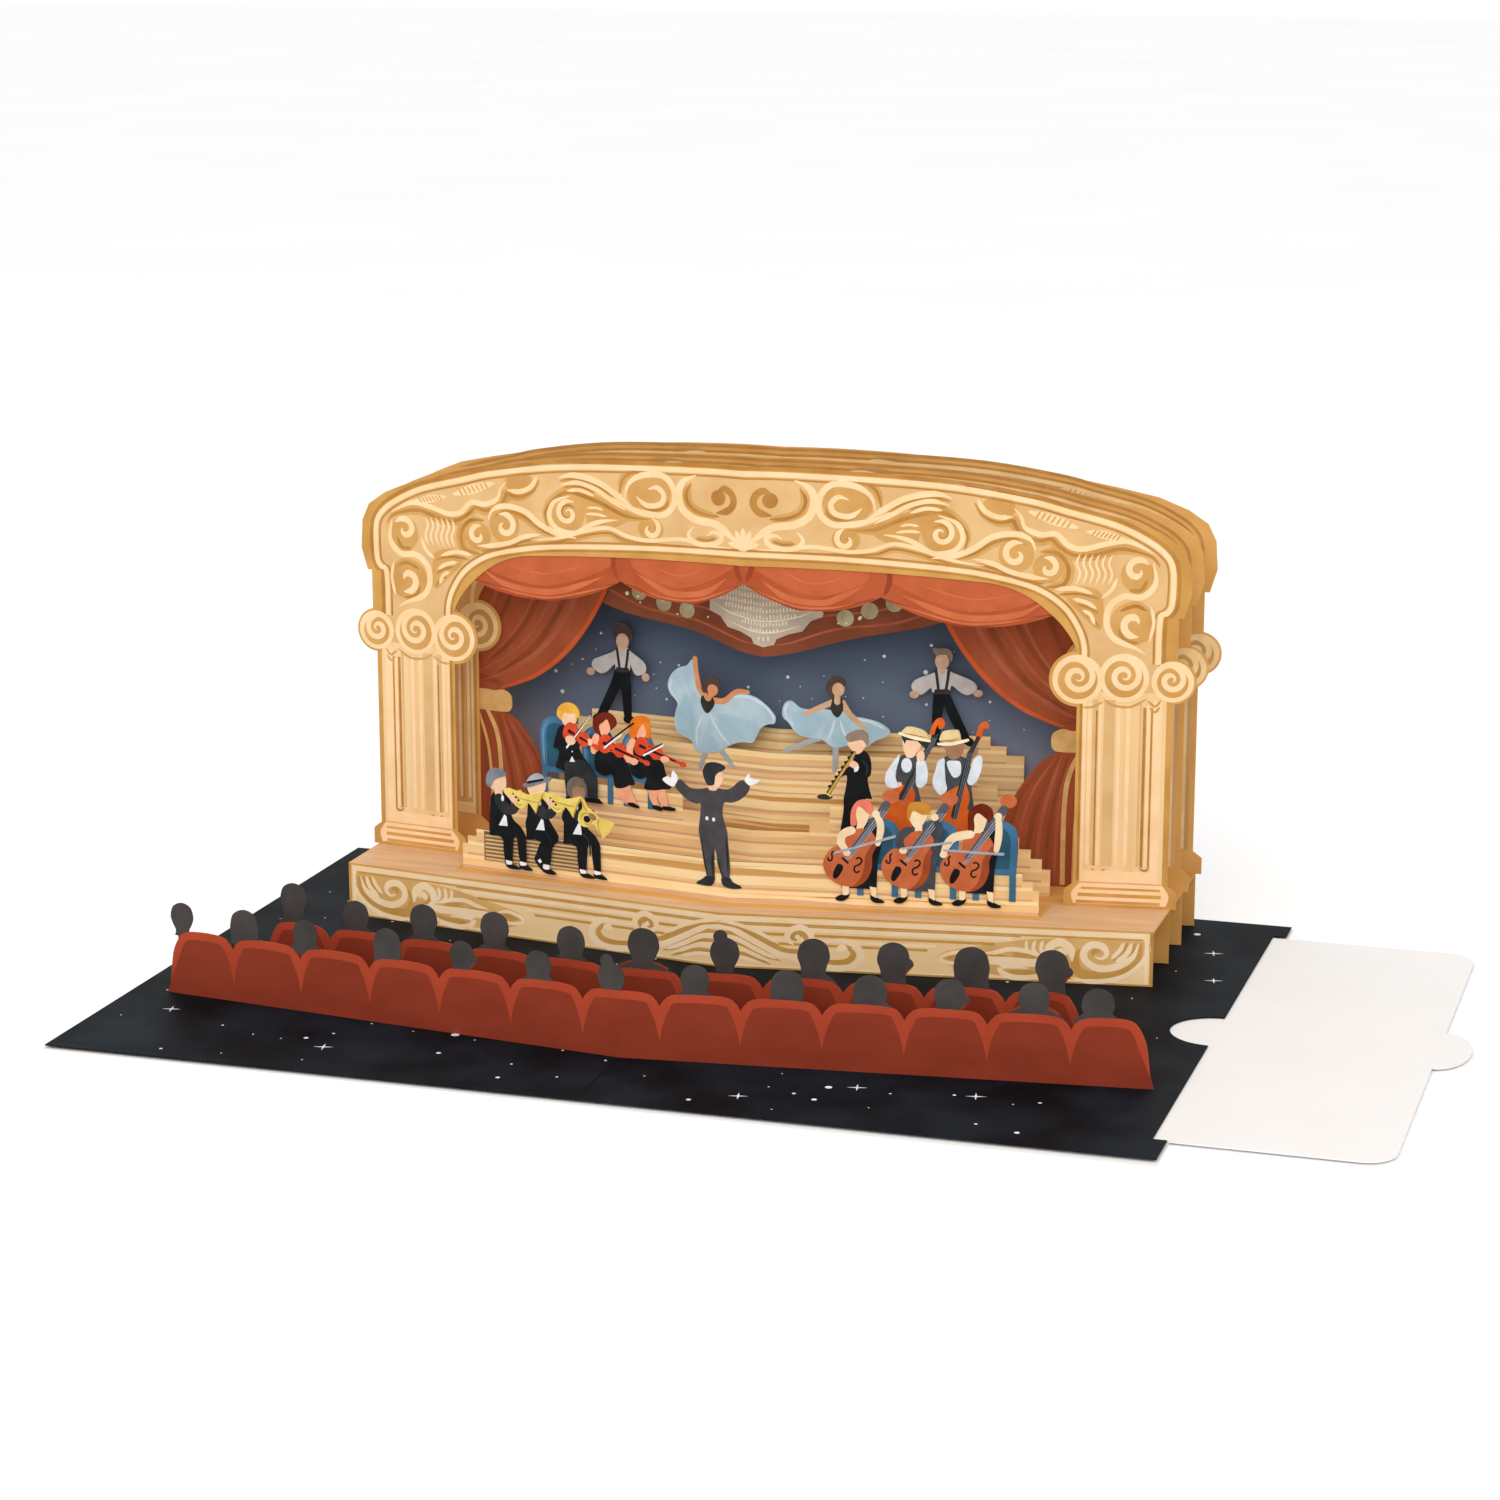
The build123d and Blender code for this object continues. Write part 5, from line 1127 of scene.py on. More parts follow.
_, coat, sleeve, linen, _ = seated_suit(-49.7)
body, shade, hand, keys = trumpet(-49.7)
figure("trumpeter_two", STAIR_FRONT - 3 * FIGURE_SHEET, [
    (black_ink, coat + [
        rounded([(-55.3, 30), (-55.3, 24.7), (-55.3, 24.7), (-53.6, 24.7), (-51.2, 23.8), (-49.6, 23.2),
                 (-48.2, 23.3), (-46.5, 25.6), (-48, 28.2), (-49.6, 30.6), (-49.6, 30.6)], 3),
        rounded([(-51.2, 24.2), (-52.7, 21), (-53.3, 19.4), (-52.2, 18.2), (-50.8, 18.2), (-49, 18.2),
                 (-49, 18.2), (-48.4, 22.4), (-47.7, 24.8)], 3)]),
    (skin_ink, [
        rounded([(-54.9, 38.3), (-50.2, 39.5), (-50, 38), (-50.6, 36.4), (-51.4, 35), (-53.2, 35),
                 (-54.5, 36.2), (-55, 37.3)], 4)]),
    (charcoal_ink, sleeve + stroke([(-50.4, 27), (-48.9, 25.3), (-48.7, 23.2)], 0.25)),
    (white_ink, linen[:2] + [
        [(-52.7, 18.9), (-51.7, 19.7), (-51.2, 18.9), (-52.2, 18.2)],
        [(-51, 17.2), (-49.2, 17), (-49.1, 18.3), (-50.8, 18.4)]]),
    (black_ink, [
        rounded([(-53.3, 19.3), (-52.6, 19.3), (-51.4, 18), (-50.4, 17), (-49, 17.2), (-47.5, 16.4),
                 (-47.7, 16), (-50.2, 16.1), (-52.2, 17.6)], 3),
        rounded([(-51.5, 35.9), (-50.1, 36.2), (-50.1, 34.8), (-51.2, 34.4)], 3)]),
    (brass_ink, body), (brass_dark_ink, shade), (skin_ink, hand), (black_ink, keys),
    (grey_ink, [
        rounded([(-56.3, 38.1), (-55.2, 38.7), (-49.8, 40.7), (-48.4, 40.8), (-48.7, 39.8), (-50.3, 39.3),
                 (-54.9, 37.6)], 3)]),
    (paper("felt_ink", "#b4b8be", "#a4a8ae"), [
        rounded([(-54.9, 39), (-54.4, 40.3), (-52.8, 41.3), (-51.2, 41.2), (-50.3, 40.4), (-50.3, 40.4)], 3)]),
    (black_ink, [[(-55, 38.5), (-50.4, 39.8), (-50.4, 40.4), (-54.9, 39.2)]])])

trousers, coat, sleeve, linen, shoes = seated_suit(-39.5)
figure("horn_player", STAIR_FRONT - 2 * FIGURE_SHEET, [
    (black_ink, trousers + coat + [limb([(-43.4, 33), (-44.6, 31), (-43.6, 29.4)], [2.4, 2.2, 1.6])]),
    (charcoal_ink, sleeve + stroke([(-40.6, 27.6), (-38.4, 26), (-37.8, 22)], 0.3)), (white_ink, linen),
    (black_ink, shoes), (paper("curl_ink", "#75695d", "#665a4f", patch=2), [oval(-41.4, 38.6, 2.75, 3.05, 26)]),
    (brown_skin_ink, [
        rounded([(-42.3, 38.9), (-40.3, 39.3), (-39.2, 38.6), (-39.3, 36.6), (-40.4, 35.4), (-42, 35.4),
                 (-42.6, 37)], 4)]),
    (brass_ink, [
        rounded([(-40.4, 36.6), (-39.6, 36.4), (-38.4, 34.2), (-36.6, 33.3), (-35.2, 31.8), (-33.4, 31.6),
                 (-31.1, 31.1), (-31.1, 31.1), (-32.4, 28.6), (-34.4, 26.7), (-34.4, 26.7), (-35.5, 28.4),
                 (-36.8, 30.2), (-38.5, 29.3), (-40.1, 29.4), (-41.1, 30.6), (-40.8, 32.6),
                 (-39.8, 34.2)], 3)]),
    (brass_dark_ink, stroke([(-35.3, 31.6), (-35.6, 30), (-34.6, 27.1)], 0.35, thin=(1, 1))
     + stroke([(-40.2, 36.2), (-39.3, 34.2), (-38.2, 33)], 0.35)),
    (black_ink, [oval(-38.6, 31.3, 0.95, 0.9, 14)]),
    (brass_dark_ink, stroke(scroll(-38.6, 31.3, 1.7, 200, -1, 0.95, 0.75), 0.4)),
    (brown_skin_ink, [rounded([(-37.9, 32.9), (-36.6, 32.6), (-36, 31.6), (-37, 31.2), (-38, 31.8)], 3)])])

# The conductor, one cut-out of thin card with both arms raised, glued to the front of the
# steps by the feet. The grey suit, white gloves and hair are flat printed inks.

suit_grey_ink = paper("suit_grey_ink", "#545153", "#474446", patch=5)
figure("conductor", STAIR_FRONT - FIGURE_SHEET, [
    (suit_grey_ink, [
        rounded([(-14.6, 42.3), (-13.4, 44.1), (-10.8, 42.3), (-8.4, 42.2), (-6.2, 42.7), (-3.6, 43),
                 (-1.4, 42.9), (0.3, 43.4), (2.1, 45.1), (3.4, 45.4), (4.7, 44.2), (4.3, 42.4), (2.5, 40.6),
                 (0.5, 39.8), (-1.5, 39.6), (-2, 37.4), (-1.8, 35.6), (-0.8, 32.4), (-0.4, 28.1), (0, 23.6),
                 (-0.2, 20.6), (-0.2, 20.6), (-2.1, 20.6), (-2.1, 20.6), (-3.2, 24.6), (-4.05, 27.9),
                 (-4.2, 24), (-4.05, 20.4), (-4.05, 20.4), (-6.2, 20.4), (-6.2, 20.4), (-7.2, 26), (-8.3, 31.6),
                 (-8, 35), (-7.8, 38.6), (-9, 38.5), (-11.3, 39.2), (-13.2, 40.7)], 4)]),
    (charcoal_ink, stroke([(-1.1, 31.4), (-0.7, 27), (-0.5, 22)], 0.5)
     + stroke([(-7.7, 30), (-6.7, 24), (-5.9, 21)], 0.5) + stroke([(-4.5, 27), (-4.6, 23.6), (-4.5, 20.8)], 0.7)
     + stroke([(-3.4, 25.6), (-2.4, 22.4), (-1.7, 20.8)], 0.6)),
    (skin_ink, [
        rounded([(-4.4, 46.4), (-2.6, 47.3), (-2, 46.8), (-1.9, 44.8), (-2.8, 43.5), (-3.8, 42.4), (-5.4, 42.4),
                 (-5.7, 43.3), (-4.9, 44.6)], 4)]),
    (charcoal_ink, [
        rounded([(-7.2, 46.8), (-6.2, 48.8), (-4.2, 49.3), (-2.2, 49), (-1.2, 48.2), (-2.2, 47.3), (-3, 46.9),
                 (-3.8, 46), (-4, 44.6), (-4.3, 43.7), (-5.8, 43.5), (-6.6, 44.6)], 4),
        rounded([(-6.3, 20.7), (-7.4, 19.8), (-8.8, 18.9), (-8.6, 18.4), (-5, 18.4), (-4.1, 20.6)], 3),
        rounded([(-2.2, 20.8), (-1.9, 18.9), (0.2, 18.3), (2.6, 18.4), (2.4, 19), (0.6, 19.9),
                 (-0.1, 20.9)], 3)]),
    (white_ink, [
        oval(-6.1, 35.2, 0.42, 0.5, 12), oval(-4.3, 35.1, 0.42, 0.5, 12),
        rounded([(-18, 43.7), (-16.8, 44.4), (-15.7, 44.3), (-15.4, 45.9), (-14.7, 45.6), (-13.9, 44.3),
                 (-14.3, 43.1), (-15.2, 42.1), (-17, 42.7)], 4),
        rounded([(3.6, 45.5), (4.3, 46.9), (4.7, 46.9), (5, 45.9), (7.1, 45.6), (6.2, 44.7), (4.8, 44.3),
                 (4.2, 44.7)], 4)])])

# Three violinists, cut from thin card and glued to the second step, each before a blue chair.
# The red violins and the white bows are printed on the same cut-out.

violin_ink = paper("violin_ink", "#e2512f", "#cf4526")
fair_hair_ink = paper("fair_hair_ink", "#f0b84a", "#e2a537")
red_hair_ink = paper("red_hair_ink", "#7a2812", "#68200e")
orange_hair_ink = paper("orange_hair_ink", "#ec8026", "#de701a")


def violin_shapes(x, z, turn, long=14.5):
    """Body with its neck, and the black parts, of a violin with its chin end at (x, z)."""
    def put(points):
        return [(x + px * math.cos(turn) - pz * math.sin(turn), z + px * math.sin(turn) + pz * math.cos(turn))
                for px, pz in points]
    wood = [
        put(rounded([(-0.4, 0), (0.3, 2.1), (2.2, 2.4), (3.5, 1.3), (4.5, 1.3), (5.8, 1.9), (7.2, 1.1),
                     (7.4, 0), (7.2, -1.1), (5.8, -1.9), (4.5, -1.3), (3.5, -1.3), (2.2, -2.4),
                     (0.3, -2.1)], 3)),
        put([(7, 0.45), (7, -0.45), (long, -0.35), (long, 0.35)]), put(oval(long, 0, 1.0, 0.65, 12))]
    black = [
        put([(0.9, 0.45), (0.9, -0.45), (2.9, -0.3), (2.9, 0.3)]),
        put([(4.4, 0.35), (4.4, -0.35), (long - 2, -0.2), (long - 2, 0.2)]),
        put([(3.3, 1), (3.6, 1), (4.3, 0.75), (3.4, 0.7)]),
        put([(3.3, -1), (3.6, -1), (4.3, -0.75), (3.4, -0.7)])]
    return wood, black


wood, black = violin_shapes(-51.2, 48.9, math.radians(-24), 9.5)
figure("violinist_one", STAIR_MIDDLE - 4 * FIGURE_SHEET, [
    (black_ink, [
        rounded([(-52.2, 49.7), (-53.5, 48.1), (-54.6, 44.4), (-54.4, 43.6), (-53.1, 43.3), (-53.3, 41.2),
                 (-54.1, 38.8), (-52.6, 38.2), (-50.3, 37.8), (-47.4, 39.6), (-44.6, 39.8), (-46.2, 42),
                 (-47.4, 44.6), (-44.6, 45.4), (-44.2, 46.6), (-46.6, 47.4), (-48.4, 49.5)], 3)]),
    (charcoal_ink, [
        rounded([(-51, 40.6), (-46.2, 41.2), (-44.2, 39.4), (-42.6, 37.4), (-42.3, 35.4), (-42.4, 31.2),
                 (-42.4, 31.2), (-44.9, 31.2), (-44.9, 31.2), (-45.3, 34), (-46.4, 36.4), (-49.6, 36.8),
                 (-51.2, 37.6)], 3),
        rounded([(-51.3, 38.5), (-51.3, 33.6), (-50.6, 31.2), (-50.6, 31.2), (-48.2, 31.2), (-48.2, 31.2),
                 (-47.6, 34.4), (-47.4, 37.4)], 3)]),
    (skin_ink, [
        rounded([(-52.4, 52.6), (-50.4, 53.4), (-48.2, 52.8), (-48.1, 51), (-49.2, 49.8), (-50.6, 49.4),
                 (-51.8, 50.2), (-52.3, 51.3)], 4)]),
    (fair_hair_ink, [
        rounded([(-53.5, 52.2), (-53.2, 54), (-51.9, 55.3), (-50.1, 55.7), (-48.3, 55.1), (-47.3, 53.8),
                 (-47.3, 52.4), (-48.2, 51.9), (-48.4, 52.9), (-50.2, 52.9), (-51.4, 52.9), (-52.1, 51.6),
                 (-52.5, 51.1)], 4)]),
    (black_ink, [
        rounded([(-47.1, 31.3), (-47, 30.7), (-43, 30.5), (-40.8, 30.6), (-41.4, 31), (-42.6, 31.8)], 3),
        rounded([(-50.8, 31.4), (-51, 30.6), (-48, 30.5), (-47.8, 31.4)], 3)]),
    (white_ink, [[(-49.4, 42), (-50.1, 40.5), (-48.5, 40.6)], dot_shape(-49.3, 43.2, 0.2, 8)]),
    (violin_ink, wood), (black_ink, black), (white_ink, [limb([(-50.8, 44.1), (-44.2, 53)], [0.5, 0.4], 2)]),
    (black_ink, [limb([(-50.1, 45.4), (-44, 53.3)], [0.2, 0.2], 2)]),
    (skin_ink, [
        rounded([(-51.1, 46.6), (-50, 47.3), (-48.6, 46.9), (-48.4, 45.6), (-49.4, 44.9), (-50.8, 45.3)], 4),
        rounded([(-44.8, 46.9), (-43.8, 46.8), (-43.6, 45.6), (-44.6, 45.3)], 3)])])

wood, black = violin_shapes(-41.6, 46.6, math.radians(-18), 13.6)
figure("violinist_two", STAIR_MIDDLE - 3 * FIGURE_SHEET, [
    (warm_skin_ink, [
        limb([(-34.8, 36.6), (-33.6, 33.6), (-31.8, 31.3)], [2.8, 2.0, 1.0]),
        limb([(-36.4, 36.2), (-35.6, 33.4), (-33.6, 31.3)], [2.6, 1.9, 1.0]),
        limb([(-38.2, 46.2), (-36.2, 43.6), (-32, 42.4)], [2.2, 1.9, 1.5])]),
    (black_ink, [
        rounded([(-42, 47.6), (-42.6, 44.6), (-43.2, 41.4), (-42.6, 38.8), (-40.4, 37.8), (-38.2, 38.4),
                 (-37.5, 35.3), (-35.4, 35.2), (-33.4, 36.1), (-32, 36.5), (-33, 38.8), (-33.8, 41.2),
                 (-35.2, 43.4), (-37.2, 45.2), (-38.8, 48.4), (-40.4, 48.2)], 3),
        rounded([(-34.2, 31.4), (-33.2, 30.7), (-30.9, 30.5), (-31.2, 31.2), (-32.6, 31.8)], 3)]),
    (red_hair_ink, [
        rounded([(-43.5, 51.8), (-42.4, 53.2), (-40.6, 54.1), (-38.6, 54), (-37.2, 52.7), (-37, 51.2),
                 (-38.2, 50), (-39, 49.4), (-41, 49), (-42.2, 48.4), (-43.4, 49.6)], 4)]),
    (warm_skin_ink, [
        rounded([(-41.7, 50.6), (-40.6, 51.6), (-39.6, 52.4), (-38.9, 51.2), (-38.7, 49.8), (-39.4, 48.6),
                 (-39.4, 47.4), (-40.6, 47.6), (-41.4, 48.8)], 4),
        limb([(-42.6, 47.6), (-43.3, 45.6), (-43.4, 43.9)], [1.8, 1.9, 1.6]),
        limb([(-43.4, 44.2), (-41.8, 45.2), (-40.4, 45.6)], [1.6, 1.5, 1.2])]),
    (violin_ink, wood), (black_ink, black),
    (warm_skin_ink, [rounded([(-33.4, 42.6), (-32.3, 43.3), (-31.1, 42.9), (-31.2, 41.9), (-32.6, 41.5)], 3)]),
    (black_ink, [limb([(-40.1, 46), (-32.4, 52.1)], [0.35, 0.45], 2)]),
    (white_ink, [limb([(-40.3, 45.1), (-35.6, 48.9)], [0.45, 0.3], 2)])])

wood, black = violin_shapes(-31.6, 46.9, math.radians(-17), 13.4)
figure("violinist_three", STAIR_MIDDLE - 2 * FIGURE_SHEET, [
    (warm_skin_ink, [
        limb([(-25.2, 36.6), (-24.4, 33.6), (-23.4, 31.4)], [2.9, 2.4, 1.3]),
        limb([(-27.2, 36.2), (-26.9, 33.4), (-25.8, 31.4)], [2.6, 2.0, 1.1]),
        limb([(-28.6, 45.8), (-26.6, 43.9), (-23.2, 43.8)], [2.2, 1.9, 1.5])]),
    (black_ink, [
        rounded([(-32, 47.4), (-32.6, 44), (-33.3, 41.2), (-32.6, 38.8), (-30.6, 38), (-28.7, 38.6),
                 (-29.5, 35.8), (-27, 35.5), (-24.4, 36), (-22, 36.6), (-23.1, 38.8), (-23.8, 41.2),
                 (-24.6, 43.2), (-27.4, 45), (-28.6, 48.2), (-30.4, 48)], 3),
        rounded([(-27.2, 31.6), (-26.8, 30.7), (-24.8, 30.4), (-24.6, 31), (-25.6, 31.7)], 3),
        rounded([(-24.5, 31.6), (-24.2, 30.8), (-21.4, 30.8), (-20.9, 31.4), (-22.8, 31.8)], 3)]),
    (orange_hair_ink, [
        rounded([(-33.5, 50.6), (-33, 52.6), (-31.6, 53.9), (-29.4, 54.2), (-28, 53.2), (-27.7, 51),
                 (-27.8, 48.8), (-29, 48.9), (-31.2, 48.9), (-32.6, 48), (-33.5, 49.2)], 4)]),
    (warm_skin_ink, [
        rounded([(-31.1, 50.2), (-30.4, 51.2), (-29.8, 52.2), (-29.1, 51.2), (-28.8, 49.6), (-29.6, 48.4),
                 (-29.8, 47.3), (-31, 47.5), (-31.4, 48.9)], 4),
        limb([(-32.6, 47.4), (-33.4, 45.6), (-33.2, 43.9)], [1.8, 1.9, 1.6])]),
    (violin_ink, wood), (black_ink, black),
    (warm_skin_ink, [rounded([(-24.7, 44.4), (-23.2, 44.6), (-22.3, 43.8), (-23.2, 43.1), (-24.5, 43.3)], 3)]),
    (black_ink, [limb([(-29, 44.9), (-24.6, 47.6)], [0.3, 0.35], 2)]),
    (white_ink, [limb([(-29.5, 44.2), (-24.2, 47.3)], [0.45, 0.4], 2)])])

# An oboe player and two bass players, standing at the right of the same step. Each is cut
# from thin card in one piece with the instrument, and glued on by the feet.

oboe_hair_ink = paper("oboe_hair_ink", "#978271", "#857160")
keys = [dot_shape(24.4 - 0.78 * hole, 48.9 - 1.24 * hole, 0.34, 8) for hole in range(8)]
figure("oboe_player", STAIR_MIDDLE - FIGURE_SHEET, [
    (black_ink, [
        rounded([(25.2, 48.4), (27.1, 49.6), (28.6, 48.1), (29.1, 45.8), (28.9, 43.4), (28.2, 42.6),
                 (28.6, 40.1), (29.3, 37.4), (29.3, 37.4), (27.4, 37.1), (27.3, 33), (27.3, 28.6), (27.3, 28.6),
                 (25.2, 28.6), (24.6, 33), (24.2, 28.6), (24.2, 28.6), (21.6, 28.6), (21.6, 28.6), (22.4, 34),
                 (22.4, 37.2), (22.4, 37.2), (23.1, 41), (23.1, 43.2), (21.6, 42.6), (22.6, 44.4),
                 (24.2, 46)], 3)]),
    (charcoal_ink, stroke([(26.6, 47.4), (28.2, 45.4), (27.8, 43.2)], 0.5)),
    (skin_ink, [
        rounded([(23.5, 51.7), (26.8, 52.4), (28, 51.3), (27.4, 50.2), (26.8, 49.2), (25.6, 48.6), (24.6, 49.4),
                 (23.7, 50.4)], 4),
        rounded([(23.5, 46.9), (24.9, 46.9), (26, 46), (25.7, 44.9), (24.6, 45.1), (23.6, 45.9)], 4),
        rounded([(20.3, 43.5), (21.4, 44.7), (22, 44), (21.1, 43.1)], 3)]),
    (white_ink, [rounded([(25, 45.1), (26.1, 45.6), (25.9, 44.5), (25.1, 44.1)], 3)]),
    (oboe_hair_ink, [
        rounded([(22.8, 52.9), (24, 54), (25.8, 54.7), (27.3, 54.4), (28.3, 53.3), (28.2, 50.9), (27.4, 51.7),
                 (26.8, 52.2), (25.2, 51.9), (23.6, 51.6)], 4)]),
    (charcoal_ink, [limb([(25, 49), (18.7, 38.5)], [0.75, 1.1], 2)]), (black_ink, keys),
    (brass_dark_ink, [limb([(25.1, 48.9), (18.9, 38.6)], [0.45, 0.7], 2)]),
    (charcoal_ink, [oval(17.8, 37.5, 1.9, 0.65, 14)]),
    (brass_ink, stroke([(15.8, 38.3), (17.6, 38.7), (19.4, 37.7)], 0.35, thin=(1, 1)))])

bass_ink = paper("bass_ink", "#e26a26", "#d25a1a", patch=4)
bass_shade_ink = paper("bass_shade_ink", "#b54f1c", "#a54616", patch=4)
sleeve_ink = paper("sleeve_ink", "#e6eef4", "#d3dfe8")
vest_ink = paper("vest_ink", "#4d4f53", "#414347")
straw_ink = paper("straw_ink", "#ecd6a1", "#dfc68c", patch=2)
straw_light_ink = paper("straw_light_ink", "#fff0cd", "#f5e3ba", patch=2)


def bass_shapes(x, tip, neck):
    """Wood, shade, black parts and strings of a double bass under the point tip."""
    wood = [rounded([tip, tip, (x + 3.4, 39.2), (x + 3.2, 37), (x + 2.9, 36), (x + 4.2, 34), (x + 4.4, 31.6),
                     (x + 2.6, 29.4), (x, 28.8), (x - 2.6, 29.4), (x - 4.4, 31.6), (x - 4.2, 34), (x - 2.9, 36),
                     (x - 3.2, 37.6), (x - 2.6, 39.6)], 3)]
    shade = stroke([(x + 3.9, 34.6), (x + 4.1, 31.8), (x + 2.4, 29.6), (x, 29.1)], 0.5)
    board = [limb(neck, [1.3, 1.6], 2)]
    (x0, z0), (x1, z1) = neck
    strings = [limb([(x0 + off, z0), (x1 + off, z1 - 1.5)], [0.12, 0.12], 2) for off in (-0.35, 0.1, 0.5)]
    return wood, shade, board, strings


wood, shade, board, strings = bass_shapes(36.4, (38.7, 42), [(44.4, 53.4), (36.6, 38.2)])
figure("bass_player_one", STAIR_MIDDLE - FIGURE_SHEET, [
    (vest_ink, [
        rounded([(35.9, 48), (37.4, 48.9), (39.8, 48.7), (40.6, 47), (40.4, 41.2), (41.2, 37), (41.2, 30.6),
                 (41.2, 30.6), (38, 30.6), (35.2, 38), (35.1, 43.2)], 3),
        [(42.2, 50.2), (43.6, 53), (45.4, 54.6), (44.2, 51)]]),
    (skin_ink, [
        rounded([(36.9, 52.6), (40.2, 52.8), (41.1, 51.2), (40.2, 49.8), (39.3, 48.4), (37.9, 48.2),
                 (37.2, 49.3), (36.8, 50.8)], 4),
        limb([(36, 41.4), (36, 39.4), (37, 37.4)], [1.3, 1.5, 1.0])]),
    (charcoal_ink, [
        [(36.3, 53.6), (37.2, 51.6), (37.6, 52.6), (40.2, 52.5), (41.1, 51.6), (42.6, 50.2), (43.3, 52.4)]]),
    (bass_ink, wood + [
        rounded([(43.2, 54.4), (43.7, 56.4), (44.8, 58.1), (46, 58.4), (46.8, 57.3), (46.4, 55.9), (45.4, 55.7),
                 (45.2, 56.6), (44.6, 55.6), (44.2, 54.2)], 3)]),
    (bass_shade_ink, shade), (charcoal_ink, board), (grey_ink, strings),
    (sleeve_ink, [
        rounded([(36, 48.9), (34.3, 46.8), (32.8, 44.2), (32.5, 42.1), (33.3, 40.7), (35.2, 40.5), (35.5, 41.6),
                 (35, 43.8), (35.7, 47)], 4),
        rounded([(40.2, 47.5), (41.9, 47.8), (42.8, 45), (42.6, 42.2), (41.2, 40.8), (40.1, 41.4),
                 (40, 44)], 4),
        oval(37.7, 46.3, 1.3, 1.85, 18)]),
    (skin_ink, [rounded([(40.3, 47.6), (40.2, 49.3), (41.2, 50.2), (42, 49.4), (41.8, 47.6)], 3)]),
    (straw_ink, [
        rounded([(36.7, 54), (37, 55.4), (38.1, 56), (40, 55.7), (41.7, 55.1), (42.6, 54.2), (42.8, 53),
                 (42.8, 53)], 3)]),
    (straw_light_ink, [limb([(35.9, 54.2), (39.4, 53.2), (43.2, 52.6)], [0.6, 0.75, 0.6])]),
    (bass_shade_ink, stroke([(36.9, 54.3), (39.6, 53.9), (42.7, 53.3)], 0.2))])

wood, shade, board, strings = bass_shapes(49.6, (52, 42.6), [(53, 50), (49.4, 34)])
figure("bass_player_two", STAIR_MIDDLE - FIGURE_SHEET, [
    (vest_ink, [
        rounded([(46.8, 48.6), (49, 49.2), (51.2, 48.8), (53, 47.4), (53.4, 41), (54, 36), (54, 30.6),
                 (54, 30.6), (50.6, 30.6), (48, 38), (47, 43.8)], 3)]),
    (brown_skin_ink, [
        rounded([(46.9, 52.2), (51.2, 52.6), (51.3, 50.4), (50.4, 48.8), (49, 48.1), (47.8, 48.7),
                 (47, 50.3)], 4),
        rounded([(52.6, 49.4), (53.6, 50.9), (54.9, 51.3), (54.6, 49.7), (53.6, 48.5)], 3)]),
    (bass_ink, wood + [
        rounded([(54.3, 53.6), (54.6, 55.6), (55.4, 57.3), (56.6, 57.9), (57.5, 57), (57.1, 56.1), (56.3, 56.3),
                 (55.9, 55.2), (55.5, 53.4)], 3)]),
    (bass_shade_ink, shade), (charcoal_ink, board + [limb([(52.9, 49.6), (54.9, 53.8)], [1.2, 0.9], 2)]),
    (grey_ink, strings),
    (sleeve_ink, [
        rounded([(45.3, 47.6), (46.8, 48.3), (46.9, 46), (47.2, 42.6), (47.5, 40.6), (46, 39.2), (44.5, 40.8),
                 (44, 42.6), (44.7, 45.4)], 4),
        rounded([(53.8, 48.3), (55.2, 49.4), (55.9, 48.6), (55.8, 46.2), (54.8, 43.2), (53.4, 41.9),
                 (52.4, 42.8), (53, 45.4)], 4),
        rounded([(47.4, 47.4), (49.2, 47.9), (50.7, 47.5), (50.8, 44.8), (49.8, 43.7), (48.6, 44.2)], 4)]),
    (straw_ink, [
        rounded([(45.8, 52.6), (46, 54.4), (46.7, 55.2), (49.4, 55.6), (50.3, 55.1), (50.7, 53.2),
                 (50.7, 53.2)], 3)]),
    (straw_light_ink, [limb([(45.3, 51.9), (48.6, 52.1), (52.4, 53.1)], [0.6, 0.9, 0.6])]),
    (bass_shade_ink, stroke([(45.9, 52.8), (48.6, 53), (50.6, 53.7)], 0.2))])

# Three cellists, cut from thin card and glued before the blue chairs at the right. All three
# have the same printed cello, one chair further on; hair, dress and arms differ.

cello_ink = paper("cello_ink", "#cf6f45", "#c16238", patch=4)
cello_shade_ink = paper("cello_shade_ink", "#a9502b", "#9b4724", patch=4)
pale_skin_ink = paper("pale_skin_ink", "#fce3bb", "#f5d6a8")
string_ink = paper("string_ink", "#b6b5c0", "#a3a2ae", patch=2)
neck_ink = paper("neck_ink", "#5f6069", "#53545c")
coral_hair_ink = paper("coral_hair_ink", "#f0836a", "#e27258")
honey_hair_ink = paper("honey_hair_ink", "#d0903a", "#c1812d")
CELLO_PITCH = 13.95  # from one cellist to the next


